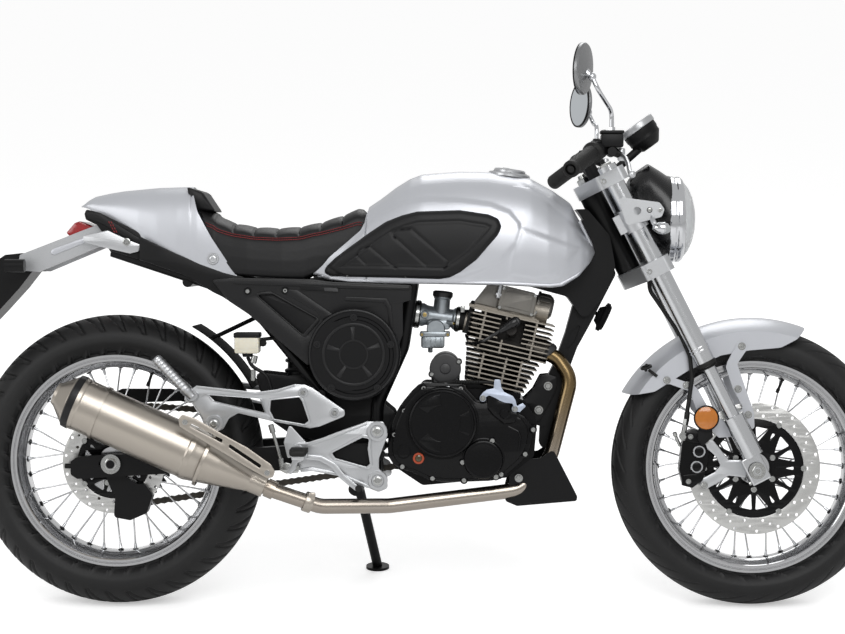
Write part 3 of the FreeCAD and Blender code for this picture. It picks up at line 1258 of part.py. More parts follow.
def exhaust():
    """Header from the head's front port, under the engine, back to the muffler."""
    tilted = engine_frame()
    r = size.header_radius
    way = tilted.Rotation.multVec(exhaust_way())
    port = tilted.multVec(exhaust_port()) + way * size.seat_gap
    drop = math.radians(size.muffler_drop)
    axis = V(math.cos(drop), 0, -math.sin(drop))
    rear = V(REAR_AXLE.x - size.muffler_back, -size.muffler_y, REAR_AXLE.z + size.muffler_up)
    cone_end = rear + axis * (size.muffler_length * 1.34)
    x = CYLINDER.x
    z = CYLINDER.z
    route = [
        port, port + way * r * 1.6, V(x + r * 10.4, -r * 2.8, z + r * 1.2),
        V(x + r * 7.6, -r * 3.6, z - r * 9.4),
        V(x + r * 3.4, -r * 5, z - r * 13.6), V(x - r * 14, -r * 8.4, z - r * 15.4),
        V(x - r * 23.0, -size.muffler_y + r * 1.0, z - r * 15.2),
        cone_end + axis * r * 1.6, cone_end - axis * r,
    ]
    pipe = tube(route, r, r * 4.2)
    collar = rod(port, port + way * r * 0.4, r * 1.5)
    clip_at = cone_end + axis * r * 0.2
    clip = rod(clip_at, clip_at + axis * r * 1.2, r * 1.25)
    feature("exhaust_header", joined([pipe, collar, clip]).cut(nodes_shape("cylinder_head")))
    can_shares = (
        (0.02, 0.0), (0.02, 0.34), (-0.10, 0.34), (-0.12, 0.4), (-0.10, 0.46), (-0.02, 0.9), (0.0, 0.97), (0.01, 1.0),
        (0.06, 1.0), (0.07, 0.98), (0.80, 0.98), (0.81, 1.0), (0.84, 1.0), (0.86, 0.97), (1.02, 0.76), (1.06, 0.7),
        (1.24, 0.44), (1.34, 0.42), (1.34, 0.0),
    )
    can = revolved(can_shares, rear, axis, size.muffler_length, size.muffler_radius)
    muffler = can.cut(nodes_shape("exhaust_header"))
    feature("muffler", max(muffler.Solids, key=lambda solid: solid.Volume))


def belly_pan():
    """The small black spoiler under the front of the engine."""
    x = CYLINDER.x
    z = size.pivot_z
    wide = size.case_half_width
    pan_shares = ((0.38, -0.20), (0.50, -0.03), (0.82, -0.12), (1.08, -0.10), (1.37, 0.10), (1.93, -0.99), (1.92, -1.10),
                  (0.53, -1.22), (0.24, -1.10), (0.36, -0.62))
    outline = [(x + a * wide, z + b * wide) for a, b in pan_shares]
    shell = slab(outline, -wide, wide, size.edge_round * 2)
    inner = [(x + (a - 0.08) * wide, z + (b + 0.08) * wide) for a, b in pan_shares]
    shell = shell.cut(slab(inner, -wide + size.cowl_wall, wide - size.cowl_wall))
    shell = shell.cut(nodes_shape("crankcase")).cut(nodes_shape("frame_down_tube"))
    pipe = nodes_shape("exhaust_header")
    shell = shell.cut(pipe)
    feature("belly_pan", max(shell.Solids, key=lambda solid: solid.Volume))


# Tank, seat and tail
def body_section(x, bottom, top, half_width, shape):
    """A closed section square to X: a smooth arch over a flat bottom."""
    height = top - bottom
    left = [V(x, half_width * a, bottom + height * b) for a, b in shape]
    right = [V(x, -point.y, point.z) for point in reversed(left[:-1])]
    curve = Part.BSplineCurve()
    curve.interpolate(left + right)
    return Part.Wire([curve.toShape(), Part.LineSegment(right[-1], left[0]).toShape()])


def shaped(stations, corner, length, height, half_width, shape, grow):
    """A smooth body through sections given as shares of its length, height and half width."""
    sections = []
    for along, bottom, top, width in stations:
        sections.append(body_section(corner.x + along * length, corner.z + bottom * height,
                                     corner.z + top * height + grow, width * half_width + grow, shape))
    return Part.makeLoft(sections, True, False)


TANK_STATION_SHARES = (
    (0.0, 0.09, 0.13, 0.62), (0.06, 0.05, 0.25, 0.72), (0.12, 0.03, 0.37, 0.80), (0.17, 0.03, 0.50, 0.86),
    (0.20, 0.03, 0.68, 0.90), (0.30, 0.025, 0.87, 0.97), (0.42, 0.025, 0.97, 1.0), (0.60, 0.02, 1.0, 1.0),
    (0.76, 0.01, 0.95, 0.95), (0.87, 0.0, 0.82, 0.86), (0.95, 0.12, 0.62, 0.72), (0.995, 0.25, 0.40, 0.6),
)
TANK_SECTION_SHARES = ((0.93, 0.0), (1.0, 0.22), (0.97, 0.48), (0.83, 0.76), (0.5, 0.95), (0.0, 1.0))


def tank_body(grow):
    corner = V(TANK.x, 0, TANK.z)
    return shaped(TANK_STATION_SHARES, corner, size.tank_length, size.tank_height, size.tank_half_width, TANK_SECTION_SHARES, grow)


def tank_tunnel(clearance):
    """The room under the tank for the frame's spine, less a clearance under its roof."""
    rear = TANK.x - size.overrun
    middle = TANK.x + size.tank_length * 0.5
    ahead = TANK.x + size.tank_length * 1.1
    floor = TANK.z - size.tank_height
    return slab([
        (rear, floor), (rear, tunnel_roof(rear) - clearance), (middle, tunnel_roof(middle) - clearance),
        (ahead, tunnel_roof(ahead) - clearance), (ahead, floor),
    ], -size.tunnel_half_width, size.tunnel_half_width)


def fuel_tank():
    """The tank over its tunnel, its filler cap and the knee pads."""
    corner = V(TANK.x, 0, TANK.z)
    body = tank_body(0.0).cut(tank_tunnel(0.0))
    feature("fuel_tank", max(body.Solids, key=lambda solid: solid.Volume))
    cap_at = V(corner.x + size.tank_length * 0.69, 0, corner.z + size.tank_height * 0.94)
    cap = Part.makeCylinder(size.arm_height * 0.75, size.tank_height * 0.075, cap_at, V(0.1, 0, 1))
    feature("tank_cap", cap.cut(tank_body(size.seat_gap)))
    pad_shares = [
        (0.045, 0.12), (0.05, 0.09), (0.46, 0.075), (0.50, 0.10), (0.58, 0.24), (0.655, 0.47), (0.66, 0.53), (0.62, 0.60),
        (0.52, 0.64), (0.38, 0.63), (0.26, 0.55), (0.16, 0.38),
    ]
    prism = slab(across_shape(pad_shares, corner, size.tank_length, size.tank_height), size.tank_half_width * 0.5,
                 size.tank_half_width * 1.2, size.edge_round * 5)
    pad = tank_body(size.pad_thickness).common(prism).cut(tank_body(size.seat_gap))
    feature("knee_pads", both_sides(max(pad.Solids, key=lambda solid: solid.Volume)))


COWL_STATION_SHARES = (
    (0.0, 0.73, 0.80, 0.40), (0.08, 0.62, 0.89, 0.52), (0.26, 0.52, 0.955, 0.72), (0.45, 0.34, 0.985, 0.88),
    (0.63, 0.2, 1.0, 0.97), (0.80, 0.09, 1.01, 1.0), (1.0, 0.0, 1.02, 1.0),
)
COWL_SECTION_SHARES = ((1.0, 0.0), (1.0, 0.3), (0.92, 0.66), (0.62, 0.92), (0.0, 1.0))
SEAT_STATION_SHARES = (
    (0.0, 0.2, 0.92, 0.86), (0.13, 0.1, 0.90, 0.92), (0.26, 0.03, 0.75, 0.96), (0.38, 0.02, 0.71, 1.0), (0.52, 0.0, 0.70, 0.98),
    (0.64, 0.0, 0.73, 0.9), (0.76, 0.02, 0.80, 0.82), (0.87, 0.1, 0.89, 0.74), (1.0, 0.3, 0.96, 0.66),
)
SEAT_SECTION_SHARES = ((0.96, 0.0), (1.0, 0.35), (0.96, 0.72), (0.78, 0.95), (0.4, 1.0), (0.0, 0.99))


def cowl_body(grow):
    corner = V(COWL.x, 0, COWL.z)
    return shaped(COWL_STATION_SHARES, corner, size.cowl_length, size.cowl_height, size.cowl_half_width, COWL_SECTION_SHARES, grow)


def cowl_front(shift):
    """What lies in front of the cowl's slanting front edge."""
    x = COWL.x
    z = COWL.z
    w = size.cowl_length
    h = size.cowl_height
    return slab([
        (x + w * 0.705 + shift, z + h * 1.1), (x + w * 0.705 + shift, z + h * 0.96), (x + w * 0.84 + shift, z + h * 0.42),
        (x + w * 1.0 + shift, z), (x + w * 1.02 + shift, z - h * 0.1), (x + w * 2, z - h * 0.1), (x + w * 2, z + h * 1.1),
    ], -size.cowl_half_width * 2, size.cowl_half_width * 2)


def tank_back():
    """What lies in front of the tank's slanting rear edge, which the seat's nose follows."""
    corner = V(TANK.x, 0, TANK.z)
    gap = size.seat_gap * 10
    edge = [(0.0, -0.2)] + [(along, top) for along, bottom, top, width in TANK_STATION_SHARES[:6]]
    points = [(corner.x + a * size.tank_length - gap, corner.z + b * size.tank_height + gap) for a, b in edge]
    far = corner.x + size.tank_length
    points += [(far, corner.z + size.tank_height * 2), (far, corner.z - size.tank_height)]
    return slab(points, -size.tank_half_width, size.tank_half_width)


def tail():
    """Tail cowl, hump pad and seat."""
    shell = cowl_body(0.0).cut(cowl_front(0.0))
    inside = cowl_body(-size.cowl_wall)
    inside.translate(V(0, 0, -size.overrun / 10))
    shell = shell.cut(inside)
    feature("tail_cowl", max(shell.Solids, key=lambda solid: solid.Volume))

    corner = V(SEAT.x, 0, SEAT.z)
    seat = shaped(SEAT_STATION_SHARES, corner, size.seat_length, size.seat_height, size.seat_half_width, SEAT_SECTION_SHARES, 0.0)
    seat = seat.common(cowl_front(size.seat_gap)).cut(tank_back())
    for label in ("frame_spine", "frame_uprights", "subframe"):
        seat = seat.cut(nodes_shape(label))
    seat = max(seat.Solids, key=lambda solid: solid.Volume)
    x = COWL.x
    z = COWL.z
    w = size.cowl_length
    h = size.cowl_height
    pad = slab([
        (x + w * 0.705 + size.seat_gap, z + h * 0.96), (x + w * 0.70 + size.seat_gap, z + h * 0.99), (x + w * 0.775, z + h * 0.96),
        (x + w * 0.865, z + h * 0.72), (x + w * 0.78, z + h * 0.735),
    ], -size.seat_half_width * 0.66, size.seat_half_width * 0.66, size.edge_round)
    pad = pad.cut(seat).cut(nodes_shape("tail_cowl"))
    pad = max(pad.Solids, key=lambda solid: solid.Volume)
    feature("seat", seat)
    feature("hump_pad", pad)


def tail_end():
    """Lamp, silver brackets and the plate holder with its indicators."""
    x = COWL.x
    z = COWL.z
    w = size.cowl_length
    h = size.cowl_height
    lamp = slab([(x - w * 0.09, z + h * 0.48), (x - w * 0.03, z + h * 0.6), (x + w * 0.02, z + h * 0.61),
                 (x + w * 0.1, z + h * 0.52), (x - w * 0.06, z + h * 0.44)], -size.rail_y * 0.5, size.rail_y * 0.5, size.edge_round)
    y = size.rail_y * 0.64
    pin_at = V(x + w * 0.02, 0, z + h * 0.53)
    lamp_pin = rod(pin_at - ACROSS * (y + size.edge_round), pin_at + ACROSS * (y + size.edge_round), size.edge_round)
    lamp = joined([lamp, lamp_pin]).cut(nodes_shape("tail_cowl"))
    feature("tail_lamp", max(lamp.Solids, key=lambda solid: solid.Volume))
    stalk = rod(V(x - w * 0.36, -size.rail_y * 1.3, z + h * 0.12), V(x - w * 0.36, size.rail_y * 1.3, z + h * 0.12), size.edge_round)
    arm = slab([(x - w * 0.38, z + h * 0.24), (x + w * 0.12, z + h * 0.58), (x + w * 0.21, z + h * 0.46), (x + w * 0.36, z + h * 0.37),
                (x + w * 0.37, z + h * 0.31), (x + w * 0.32, z + h * 0.27), (x + w * 0.12, z + h * 0.33), (x - w * 0.26, z + h * 0.05),
                (x - w * 0.40, z + h * 0.07)], y, y + size.edge_round * 2, size.edge_round)
    arm = arm.cut(nodes_shape("subframe")).cut(nodes_shape("tail_lamp")).cut(stalk)
    feature("tail_bracket", both_sides(arm))
    holder = slab([(x - w * 0.37, z + h * 0.26), (x - w * 0.28, z + h * 0.12), (x - w * 0.39, z - h * 0.13), (x - w * 0.52, z - h * 0.38),
                   (x - w * 0.66, z - h * 0.64), (x - w * 0.78, z - h * 0.8), (x - w * 0.81, z - h * 0.74), (x - w * 0.6, z + h * 0.1),
                   (x - w * 0.48, z + h * 0.24)], -size.rail_y * 0.6, size.rail_y * 0.6, size.edge_round)
    lenses = []
    for side in (-1, 1):
        at = V(x - w * 0.36, side * size.rail_y * 1.3, z + h * 0.12)
        lenses.append(rod(at + FORWARD * size.frame_tube_radius, at - FORWARD * size.frame_tube_radius * 2, size.frame_tube_radius))
    holder = joined([holder, stalk] + lenses)
    feature("plate_holder", max(holder.Solids, key=lambda solid: solid.Volume))


def under_tray():
    """The black tray under the cowl and the seat, open at the top, hung between the subframe rails."""
    tray_shares = ((0.18, 0.158), (0.325, 0.129), (0.518, 0.058), (0.667, 0.012), (0.813, -0.079), (1.05, -0.23),
                   (1.05, -0.06), (0.92, -0.015), (0.77, 0.045), (0.59, 0.12), (0.38, 0.22), (0.2, 0.28))
    half = size.rail_y * 0.55
    wall = size.cowl_wall
    outline = around(COWL, size.cowl_length, tray_shares)
    hollow = [(x, z + wall) for x, z in outline]
    whole = slab(outline, -half, half).cut(slab(hollow, wall - half, half - wall))
    for label in ("subframe", "seat", "tail_cowl", "tail_lamp", "tail_bracket", "inner_guard", "shock_absorber"):
        whole = whole.cut(nodes_shape(label))
    feature("under_tray", max(whole.Solids, key=lambda solid: solid.Volume))


def tray():
    """The plate over the rear wheel, between the seat rails."""
    crown = size.rear_tyre_radius + size.fender_gap * 1.2
    outer = Part.makeCylinder(crown + size.cowl_wall, size.rear_tyre_half_width * 2.2, V(0, -size.rear_tyre_half_width * 1.1, 0), ACROSS)
    inner = Part.makeCylinder(crown, size.rear_tyre_half_width * 2.4, V(0, -size.rear_tyre_half_width * 1.2, 0), ACROSS)
    ring = outer.cut(inner)
    far = crown * 2
    wedge = slab([(0, 0), (far * math.cos(math.radians(28)), far * math.sin(math.radians(28))),
                  (far * math.cos(math.radians(60)), far * math.sin(math.radians(60)))], -far, far)
    guard = ring.common(wedge)
    guard.Placement = FreeCAD.Placement(REAR_AXLE, FreeCAD.Rotation())
    bar = CROSS_BAR
    turn = math.radians(52)
    carried = REAR_AXLE + V((crown + size.cowl_wall / 2) * math.cos(turn), 0, (crown + size.cowl_wall / 2) * math.sin(turn))
    stays = []
    for side in (-1, 1):
        aside = ACROSS * side * size.rear_tyre_half_width * 0.7
        stays.append(rod(carried + aside, bar + aside, size.edge_round))
    guard = joined([guard] + stays)
    for label in ("shock_absorber", "swingarm", "subframe"):
        guard = guard.cut(nodes_shape(label))
    feature("inner_guard", max(guard.Solids, key=lambda solid: solid.Volume))


# Foot brackets, chain, stand and small pieces
def rider_brackets():
    """Silver plates with a window that carry the rider's pegs, the brake pedal and the gear lever."""
    plate_shares = (
        (0.16, 1.34), (0.5, 1.1), (0.42, 0.6), (0.5, 0.2), (0.42, -0.5), (0.5, -0.95), (0.16, -1.3), (-0.16, -1.2),
        (-0.3, -0.75), (-1.1, -0.62), (-2.3, -0.30), (-2.75, -0.1), (-2.8, 0.26), (-2.4, 0.48), (-0.3, 1.25),
    )
    window_shares = ((-1.6, 0.03), (-0.46, 0.73), (-0.13, 0.16), (-0.27, -0.38))
    guard_shares = ((-3.25, 0.9), (-3.0, 1.1), (-2.4, 0.44), (-2.6, 0.1), (-3.3, 0.12), (-3.42, 0.5))
    pedal_shares = ((-2.3, -0.15), (-1.9, -0.34), (-1.1, -0.52), (-0.72, -1.05), (-0.52, -1.1), (-0.6, -1.28),
                    (-0.86, -1.26), (-1.25, -0.74), (-1.9, -0.6), (-2.5, -0.42))
    gear_shares = ((-0.2, -0.75), (0.3, -0.78), (1.35, -0.48), (1.42, -0.25), (1.2, -0.22), (0.2, -0.52), (-0.2, -0.5))
    y = size.arm_y + size.arm_thickness + size.seat_gap
    t = size.edge_round * 2
    s = size.arm_height
    plate = slab(around(PIVOT, s, plate_shares), y, y + t, size.edge_round * 3)
    plate = plate.cut(slab(around(PIVOT, s, window_shares), y - t, y + t * 2, size.edge_round * 2))
    guard = slab(around(PIVOT, s, guard_shares), y + t * 0.3, y + t * 0.8, size.edge_round)
    bosses = []
    for up in (0.95, -0.95):
        at = V(PIVOT.x + s * 0.16, y, PIVOT.z + s * up)
        bosses.append(rod(at, at + ACROSS * t * 1.4, s * 0.3))
    peg_at = V(PIVOT.x - s * 2.6, y + t / 2, PIVOT.z + s * 0.18)
    peg = rod(peg_at, peg_at + ACROSS * s * 1.75, s * 0.2)
    stop = rod(peg_at + ACROSS * s * 1.62, peg_at + ACROSS * s * 1.75, s * 0.28)
    frame_side = joined([plate, guard, peg, stop] + bosses)
    sides = []
    for side, lever_shares, (ahead, up) in ((-1, pedal_shares, (-0.66, -1.18)), (1, gear_shares, (1.28, -0.35))):
        lever = slab(around(PIVOT, s, lever_shares), y + t, y + t * 1.7, size.edge_round)
        pad = V(PIVOT.x + s * ahead, y + t, PIVOT.z + s * up)
        toe = rod(pad, pad + ACROSS * s * 0.55, s * 0.13)
        whole = joined([frame_side, lever, toe])
        sides.append(whole if side > 0 else whole.mirror(V(0, 0, 0), ACROSS))
    feature("rider_brackets", sides)


def passenger_brackets():
    """Silver brackets with windows and a boss for the muffler, and the folded passenger pegs."""
    plate_shares = (
        (-5.43, 0.71), (-5.29, 0.925), (-2.75, 0.8), (-1.6, 0.98), (-1.125, 1.104), (-0.786, 0.96), (-0.25, 0.443),
        (0.5, -0.04), (0.36, -0.3), (-0.3, -0.5), (-0.732, -0.61), (-2.25, -0.379), (-2.7, -0.2), (-3.85, -0.04),
        (-4.1, -0.35), (-4.45, -0.86), (-4.86, -0.6), (-4.93, 0.03),
    )
    rear_window_shares = ((-4.75, 0.62), (-2.875, 0.514), (-2.536, 0.0), (-4.66, 0.32))
    front_window_shares = ((-2.39, 0.443), (-1.43, 0.604), (-0.911, -0.325), (-2.125, -0.13))
    s = size.arm_height
    y = size.rail_y + size.frame_tube_radius * 2 + size.seat_gap
    t = size.edge_round * 2
    plate = slab(around(BRACE_FOOT, s, plate_shares), y, y + t, size.edge_round * 2)
    for window in (rear_window_shares, front_window_shares):
        plate = plate.cut(slab(around(BRACE_FOOT, s, window), y - t, y + t * 2, size.edge_round))
    boss = V(BRACE_FOOT.x - s * 4.5, y, BRACE_FOOT.z - s * 0.468)
    mount = rod(boss - ACROSS * t * 0.5, boss + ACROSS * t * 1.3, s * 0.38)
    foot = V(BRACE_FOOT.x - s * 5.3, y + t * 0.5, BRACE_FOOT.z + s * 0.6)
    hinge = rod(foot, foot + ACROSS * t * 1.6, s * 0.24)
    peg_start = foot + ACROSS * t * 1.4
    peg = rod(peg_start, peg_start + V(-s * 1.45, 0, s * 1.55), s * 0.2)
    left = joined([plate, mount, hinge, peg])
    feature("passenger_brackets", [part.cut(nodes_shape("muffler")) for part in both_sides(left)])


def chain_route():
    """The chain's pitch line round both sprockets: its corners, run by run."""
    rear = V(REAR_AXLE.x, 0, REAR_AXLE.z)
    front = V(SPROCKET.x, 0, SPROCKET.z)
    rear_radius = size.sprocket_radius + size.plate_height * 0.28
    front_radius = size.sprocket_radius * 0.36 + size.plate_height * 0.28
    gap = front - rear
    base = math.atan2(gap.z, gap.x)
    spread = math.acos((rear_radius - front_radius) / gap.Length)
    top = V(math.cos(base + spread), 0, math.sin(base + spread))
    low = V(math.cos(base - spread), 0, math.sin(base - spread))
    ahead = V(math.cos(base), 0, math.sin(base))
    return wire([
        Part.LineSegment(rear + top * rear_radius, front + top * front_radius),
        Part.Arc(front + top * front_radius, front + ahead * front_radius, front + low * front_radius),
        Part.LineSegment(front + low * front_radius, rear + low * rear_radius),
        Part.Arc(rear + low * rear_radius, rear - ahead * rear_radius, rear + top * rear_radius),
    ])


def chain():
    """The chain's loop: two rows of waisted link plates with the band of rollers between them."""
    route = chain_route()
    pins = 2 * round(route.Length / size.chain_pitch / 2)
    points = route.discretize(pins * 2 + 1)[:-1]
    waist_share = 0.72

    def row(half_height, waist, low, width):
        """A band along the route: full height at each pin and narrower half way between two pins."""
        outer, inner = [], []
        for index, point in enumerate(points):
            run = points[(index + 1) % len(points)] - points[index - 1]
            run.normalize()
            out = V(-run.z, 0, run.x)
            reach = half_height * (waist if index % 2 else 1.0)
            outer.append(point + out * reach + ACROSS * low)
            inner.append(point - out * reach + ACROSS * low)
        faces = [Part.Face(Part.makePolygon(line + line[:1])) for line in (outer, inner)]
        return faces[0].cut(faces[1]).extrude(ACROSS * width)

    half = size.plate_height / 2
    middle = size.chain_line_y
    plates = [row(half, waist_share, middle + size.roller_width / 2, size.plate_thickness),
              row(half, waist_share, middle - size.roller_width / 2 - size.plate_thickness, size.plate_thickness)]
    rollers = row(half * 0.5, 1.0, middle - size.roller_width / 2, size.roller_width)
    whole = joined(plates + [rollers])
    for label in ("rear_hub", "crankcase"):
        whole = whole.cut(nodes_shape(label))
    feature("chain", max(whole.Solids, key=lambda solid: solid.Volume))


def stand_foot():
    """The middle of the stand's foot, on the floor that the leaning bike stands on."""
    y = size.stand_pivot_y + size.stand_reach
    lean = math.radians(size.lean_angle)
    return V(size.stand_pivot_x + size.stand_ahead, y, y * math.tan(lean) - LIFT / math.cos(lean))


def stand_axis():
    """The stand's pin, square to the leg both when it is down and when it is folded back."""
    down = stand_foot() - stand_pivot()
    folded = V(-0.97, 0.10, 0.15)
    axis = down.cross(folded)
    axis.normalize()
    return axis


def stand_pivot():
    return V(size.stand_pivot_x, size.stand_pivot_y, size.stand_pivot_z)


def stand_lug():
    """The pin that the stand turns on, and the lug that ties it to the frame."""
    axis = stand_axis()
    pivot = stand_pivot()
    r = size.stand_radius
    pin = rod(pivot - axis * r * 2.4, pivot + axis * r * 1.6, size.stand_pin_radius)
    plate = rod(pivot - axis * r * 2.6, pivot - axis * (r * 1.4 + size.seat_gap), r * 1.5)
    base = V(PIVOT.x, size.arm_y - size.arm_thickness * 2.1, PIVOT.z - size.frame_tube_radius * 4)
    arm = rod(base, pivot - axis * r * 2.0, r * 0.6)
    return [pin, plate, arm]


def side_stand():
    """The stand's leg, pivot and foot, swung down and forward."""
    pivot = stand_pivot()
    axis = stand_axis()
    foot = stand_foot()
    r = size.stand_radius
    lean = math.radians(size.lean_angle)
    floor_up = V(0, -math.sin(lean), math.cos(lean))
    down = foot - pivot
    down.normalize()
    leg = rod(pivot + down * r, foot + floor_up * r * 0.4, r)
    pad = Part.makeCylinder(r * 2.4, size.edge_round * 1.5, foot, floor_up)
    knuckle = rod(pivot - axis * r * 1.4, pivot + axis * r * 1.4, r * 1.5)
    below = Part.makeCylinder(r * 4, r * 4, foot - floor_up * r * 4, floor_up)
    hole = rod(pivot - axis * r * 3, pivot + axis * r * 3, size.stand_pin_radius + size.axle_play)
    feature("side_stand", joined([leg, pad, knuckle]).cut(hole).cut(below))


def tyre_lift(radius, half_width):
    """How far a leaning tyre's round crown lifts the bike."""
    rise = half_width * 0.48
    side = half_width * 0.93
    crown = (side * side + rise * rise) / (2 * rise)
    return crown * (1 - math.cos(math.radians(size.lean_angle)))


LIFT = max(tyre_lift(size.rear_tyre_radius, size.rear_tyre_half_width),
           tyre_lift(size.front_tyre_radius, size.front_tyre_half_width))

front_wheel()
rear_wheel()
doc.recompute()
fork_clamps()
fork_tubes()
fork_lowers()
handlebar()
bar_controls()
mirrors()
gauge()
headlight()
headlight_brackets()
front_fender()
front_brake()
frame()
swingarm()
horn()
rear_brake()
shock_absorber()
engine()
carburettor()
air_box()
side_covers()
exhaust()
belly_pan()
fuel_tank()
tail()
tail_end()
tray()
under_tray()
rider_brackets()
passenger_brackets()
chain()
chain_guard()
side_stand()
doc.recompute()

# Lean the bike over and move the origin under its middle
lean = FreeCAD.Placement(V(0, 0, LIFT), FreeCAD.Rotation(FORWARD, -size.lean_angle))
box = FreeCAD.BoundBox()
for piece, placement in nodes:
    piece.Placement = lean.multiply(placement)
doc.recompute()
for piece, placement in nodes:
    box.add(piece.Shape.optimalBoundingBox(False))
shift = V(-(box.XMin + box.XMax) / 2, -(box.YMin + box.YMax) / 2, 0)
stance = FreeCAD.Placement(V(shift.x, shift.y, LIFT), FreeCAD.Rotation(FORWARD, -size.lean_angle))
for piece, placement in nodes:
    piece.Placement = stance.multiply(placement)
doc.recompute()

failed = [item.Name for item in doc.Objects if "Invalid" in item.State or "Error" in item.State]
for piece, placement in nodes:
    if piece.Shape.isNull() or not piece.Shape.isValid() or not piece.Shape.Solids:
        failed.append(piece.Label)
if failed:
    raise RuntimeError("these did not build: " + ", ".join(failed))

os.makedirs("parts", exist_ok=True)
for piece, placement in nodes:
    piece.Shape.exportStep("parts/%s.step" % piece.Label)
print("origin shift %.3f %.3f lift %.3f" % (shift.x, shift.y, LIFT))
for name, point in (("head", HEAD), ("front_axle", FRONT_AXLE), ("rear_axle", REAR_AXLE), ("stand", stand_pivot()),
                    ("stand_foot", stand_foot()), ("axle_end", REAR_AXLE + ACROSS * (size.arm_y + size.arm_thickness))):
    placed = stance.multVec(point)
    print("place %s %.6f %.6f %.6f" % (name, placed.x, placed.y, placed.z))
for name, direction in (("head_axis", FORK_UP), ("wheel_axis", ACROSS), ("stand_axis", stand_axis())):
    placed = stance.Rotation.multVec(direction)
    print("axis %s %.8f %.8f %.8f" % (name, placed.x, placed.y, placed.z))
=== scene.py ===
"""The looks of a cafe racer motorcycle that leans on its side stand.

Places are written in millimetres on the upright bike: x ahead of the rear axle, y to the rider's
left, z above the ground. lay_over() puts a finished piece onto the leaning machine.
"""
import json
import math

import bmesh
import bpy
from mathutils import Matrix, Vector


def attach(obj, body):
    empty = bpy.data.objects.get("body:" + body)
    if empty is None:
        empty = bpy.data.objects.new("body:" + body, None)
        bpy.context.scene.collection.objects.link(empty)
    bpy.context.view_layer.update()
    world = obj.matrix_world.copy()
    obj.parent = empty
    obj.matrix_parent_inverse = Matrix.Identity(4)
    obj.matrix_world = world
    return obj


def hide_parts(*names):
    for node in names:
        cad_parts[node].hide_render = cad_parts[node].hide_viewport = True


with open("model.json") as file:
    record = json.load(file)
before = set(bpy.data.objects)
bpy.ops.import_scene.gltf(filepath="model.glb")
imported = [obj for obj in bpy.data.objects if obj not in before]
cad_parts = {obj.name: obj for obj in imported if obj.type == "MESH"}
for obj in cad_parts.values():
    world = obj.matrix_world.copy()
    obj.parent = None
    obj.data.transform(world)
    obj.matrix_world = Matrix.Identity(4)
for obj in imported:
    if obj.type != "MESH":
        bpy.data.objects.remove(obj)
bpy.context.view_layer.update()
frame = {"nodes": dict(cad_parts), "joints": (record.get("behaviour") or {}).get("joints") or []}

MM = 0.001
joints = {joint["name"]: joint for joint in frame["joints"]}

# The bike's own directions, from the rear wheel's axle on the leaning machine
AHEAD = Vector((1, 0, 0))
LEFT = Vector(joints["rear_wheel_spin"]["axis"])
UP = AHEAD.cross(LEFT)
REAR_RADIUS = 315.0
FRONT_RADIUS = 302.0
WHEELBASE = 1375.0
GROUND = Vector(joints["rear_wheel_spin"]["pos_m"]) - UP * REAR_RADIUS * MM
STANCE = Matrix.Translation(GROUND) @ Matrix((AHEAD, LEFT, UP)).transposed().to_4x4()

# Places that many pieces share, in millimetres on the upright bike
REAR_AXLE = Vector((0, 0, REAR_RADIUS))
FRONT_AXLE = Vector((WHEELBASE, 0, FRONT_RADIUS))
TO_BIKE = STANCE.inverted()
HEAD = TO_BIKE @ Vector(joints["steering"]["pos_m"]) / MM
FORK_UP = TO_BIKE.to_3x3() @ Vector(joints["steering"]["axis"])
FORK_AHEAD = Vector((FORK_UP.z, 0, -FORK_UP.x))
X, Y, Z = Vector((1, 0, 0)), Vector((0, 1, 0)), Vector((0, 0, 1))


def fork(ahead, y, along):
    """A point measured along the fork's own directions from the steering head."""
    return HEAD + FORK_AHEAD * ahead + Y * y + FORK_UP * along


# Materials
def linear(colour):
    """An sRGB hex colour as linear red, green, blue and alpha."""
    shares = [int(colour[i:i + 2], 16) / 255 for i in (1, 3, 5)]
    return [s / 12.92 if s <= 0.04045 else ((s + 0.055) / 1.055) ** 2.4 for s in shares] + [1.0]


def node(tree, kind, settings=None, inputs=None):
    """Adds one node. An input is a plain value or the socket that feeds it."""
    made = tree.nodes.new(kind)
    for key, value in (settings or {}).items():
        setattr(made, key, value)
    for key, value in (inputs or {}).items():
        if isinstance(value, bpy.types.NodeSocket):
            tree.links.new(value, made.inputs[key])
        else:
            made.inputs[key].default_value = value
    return made


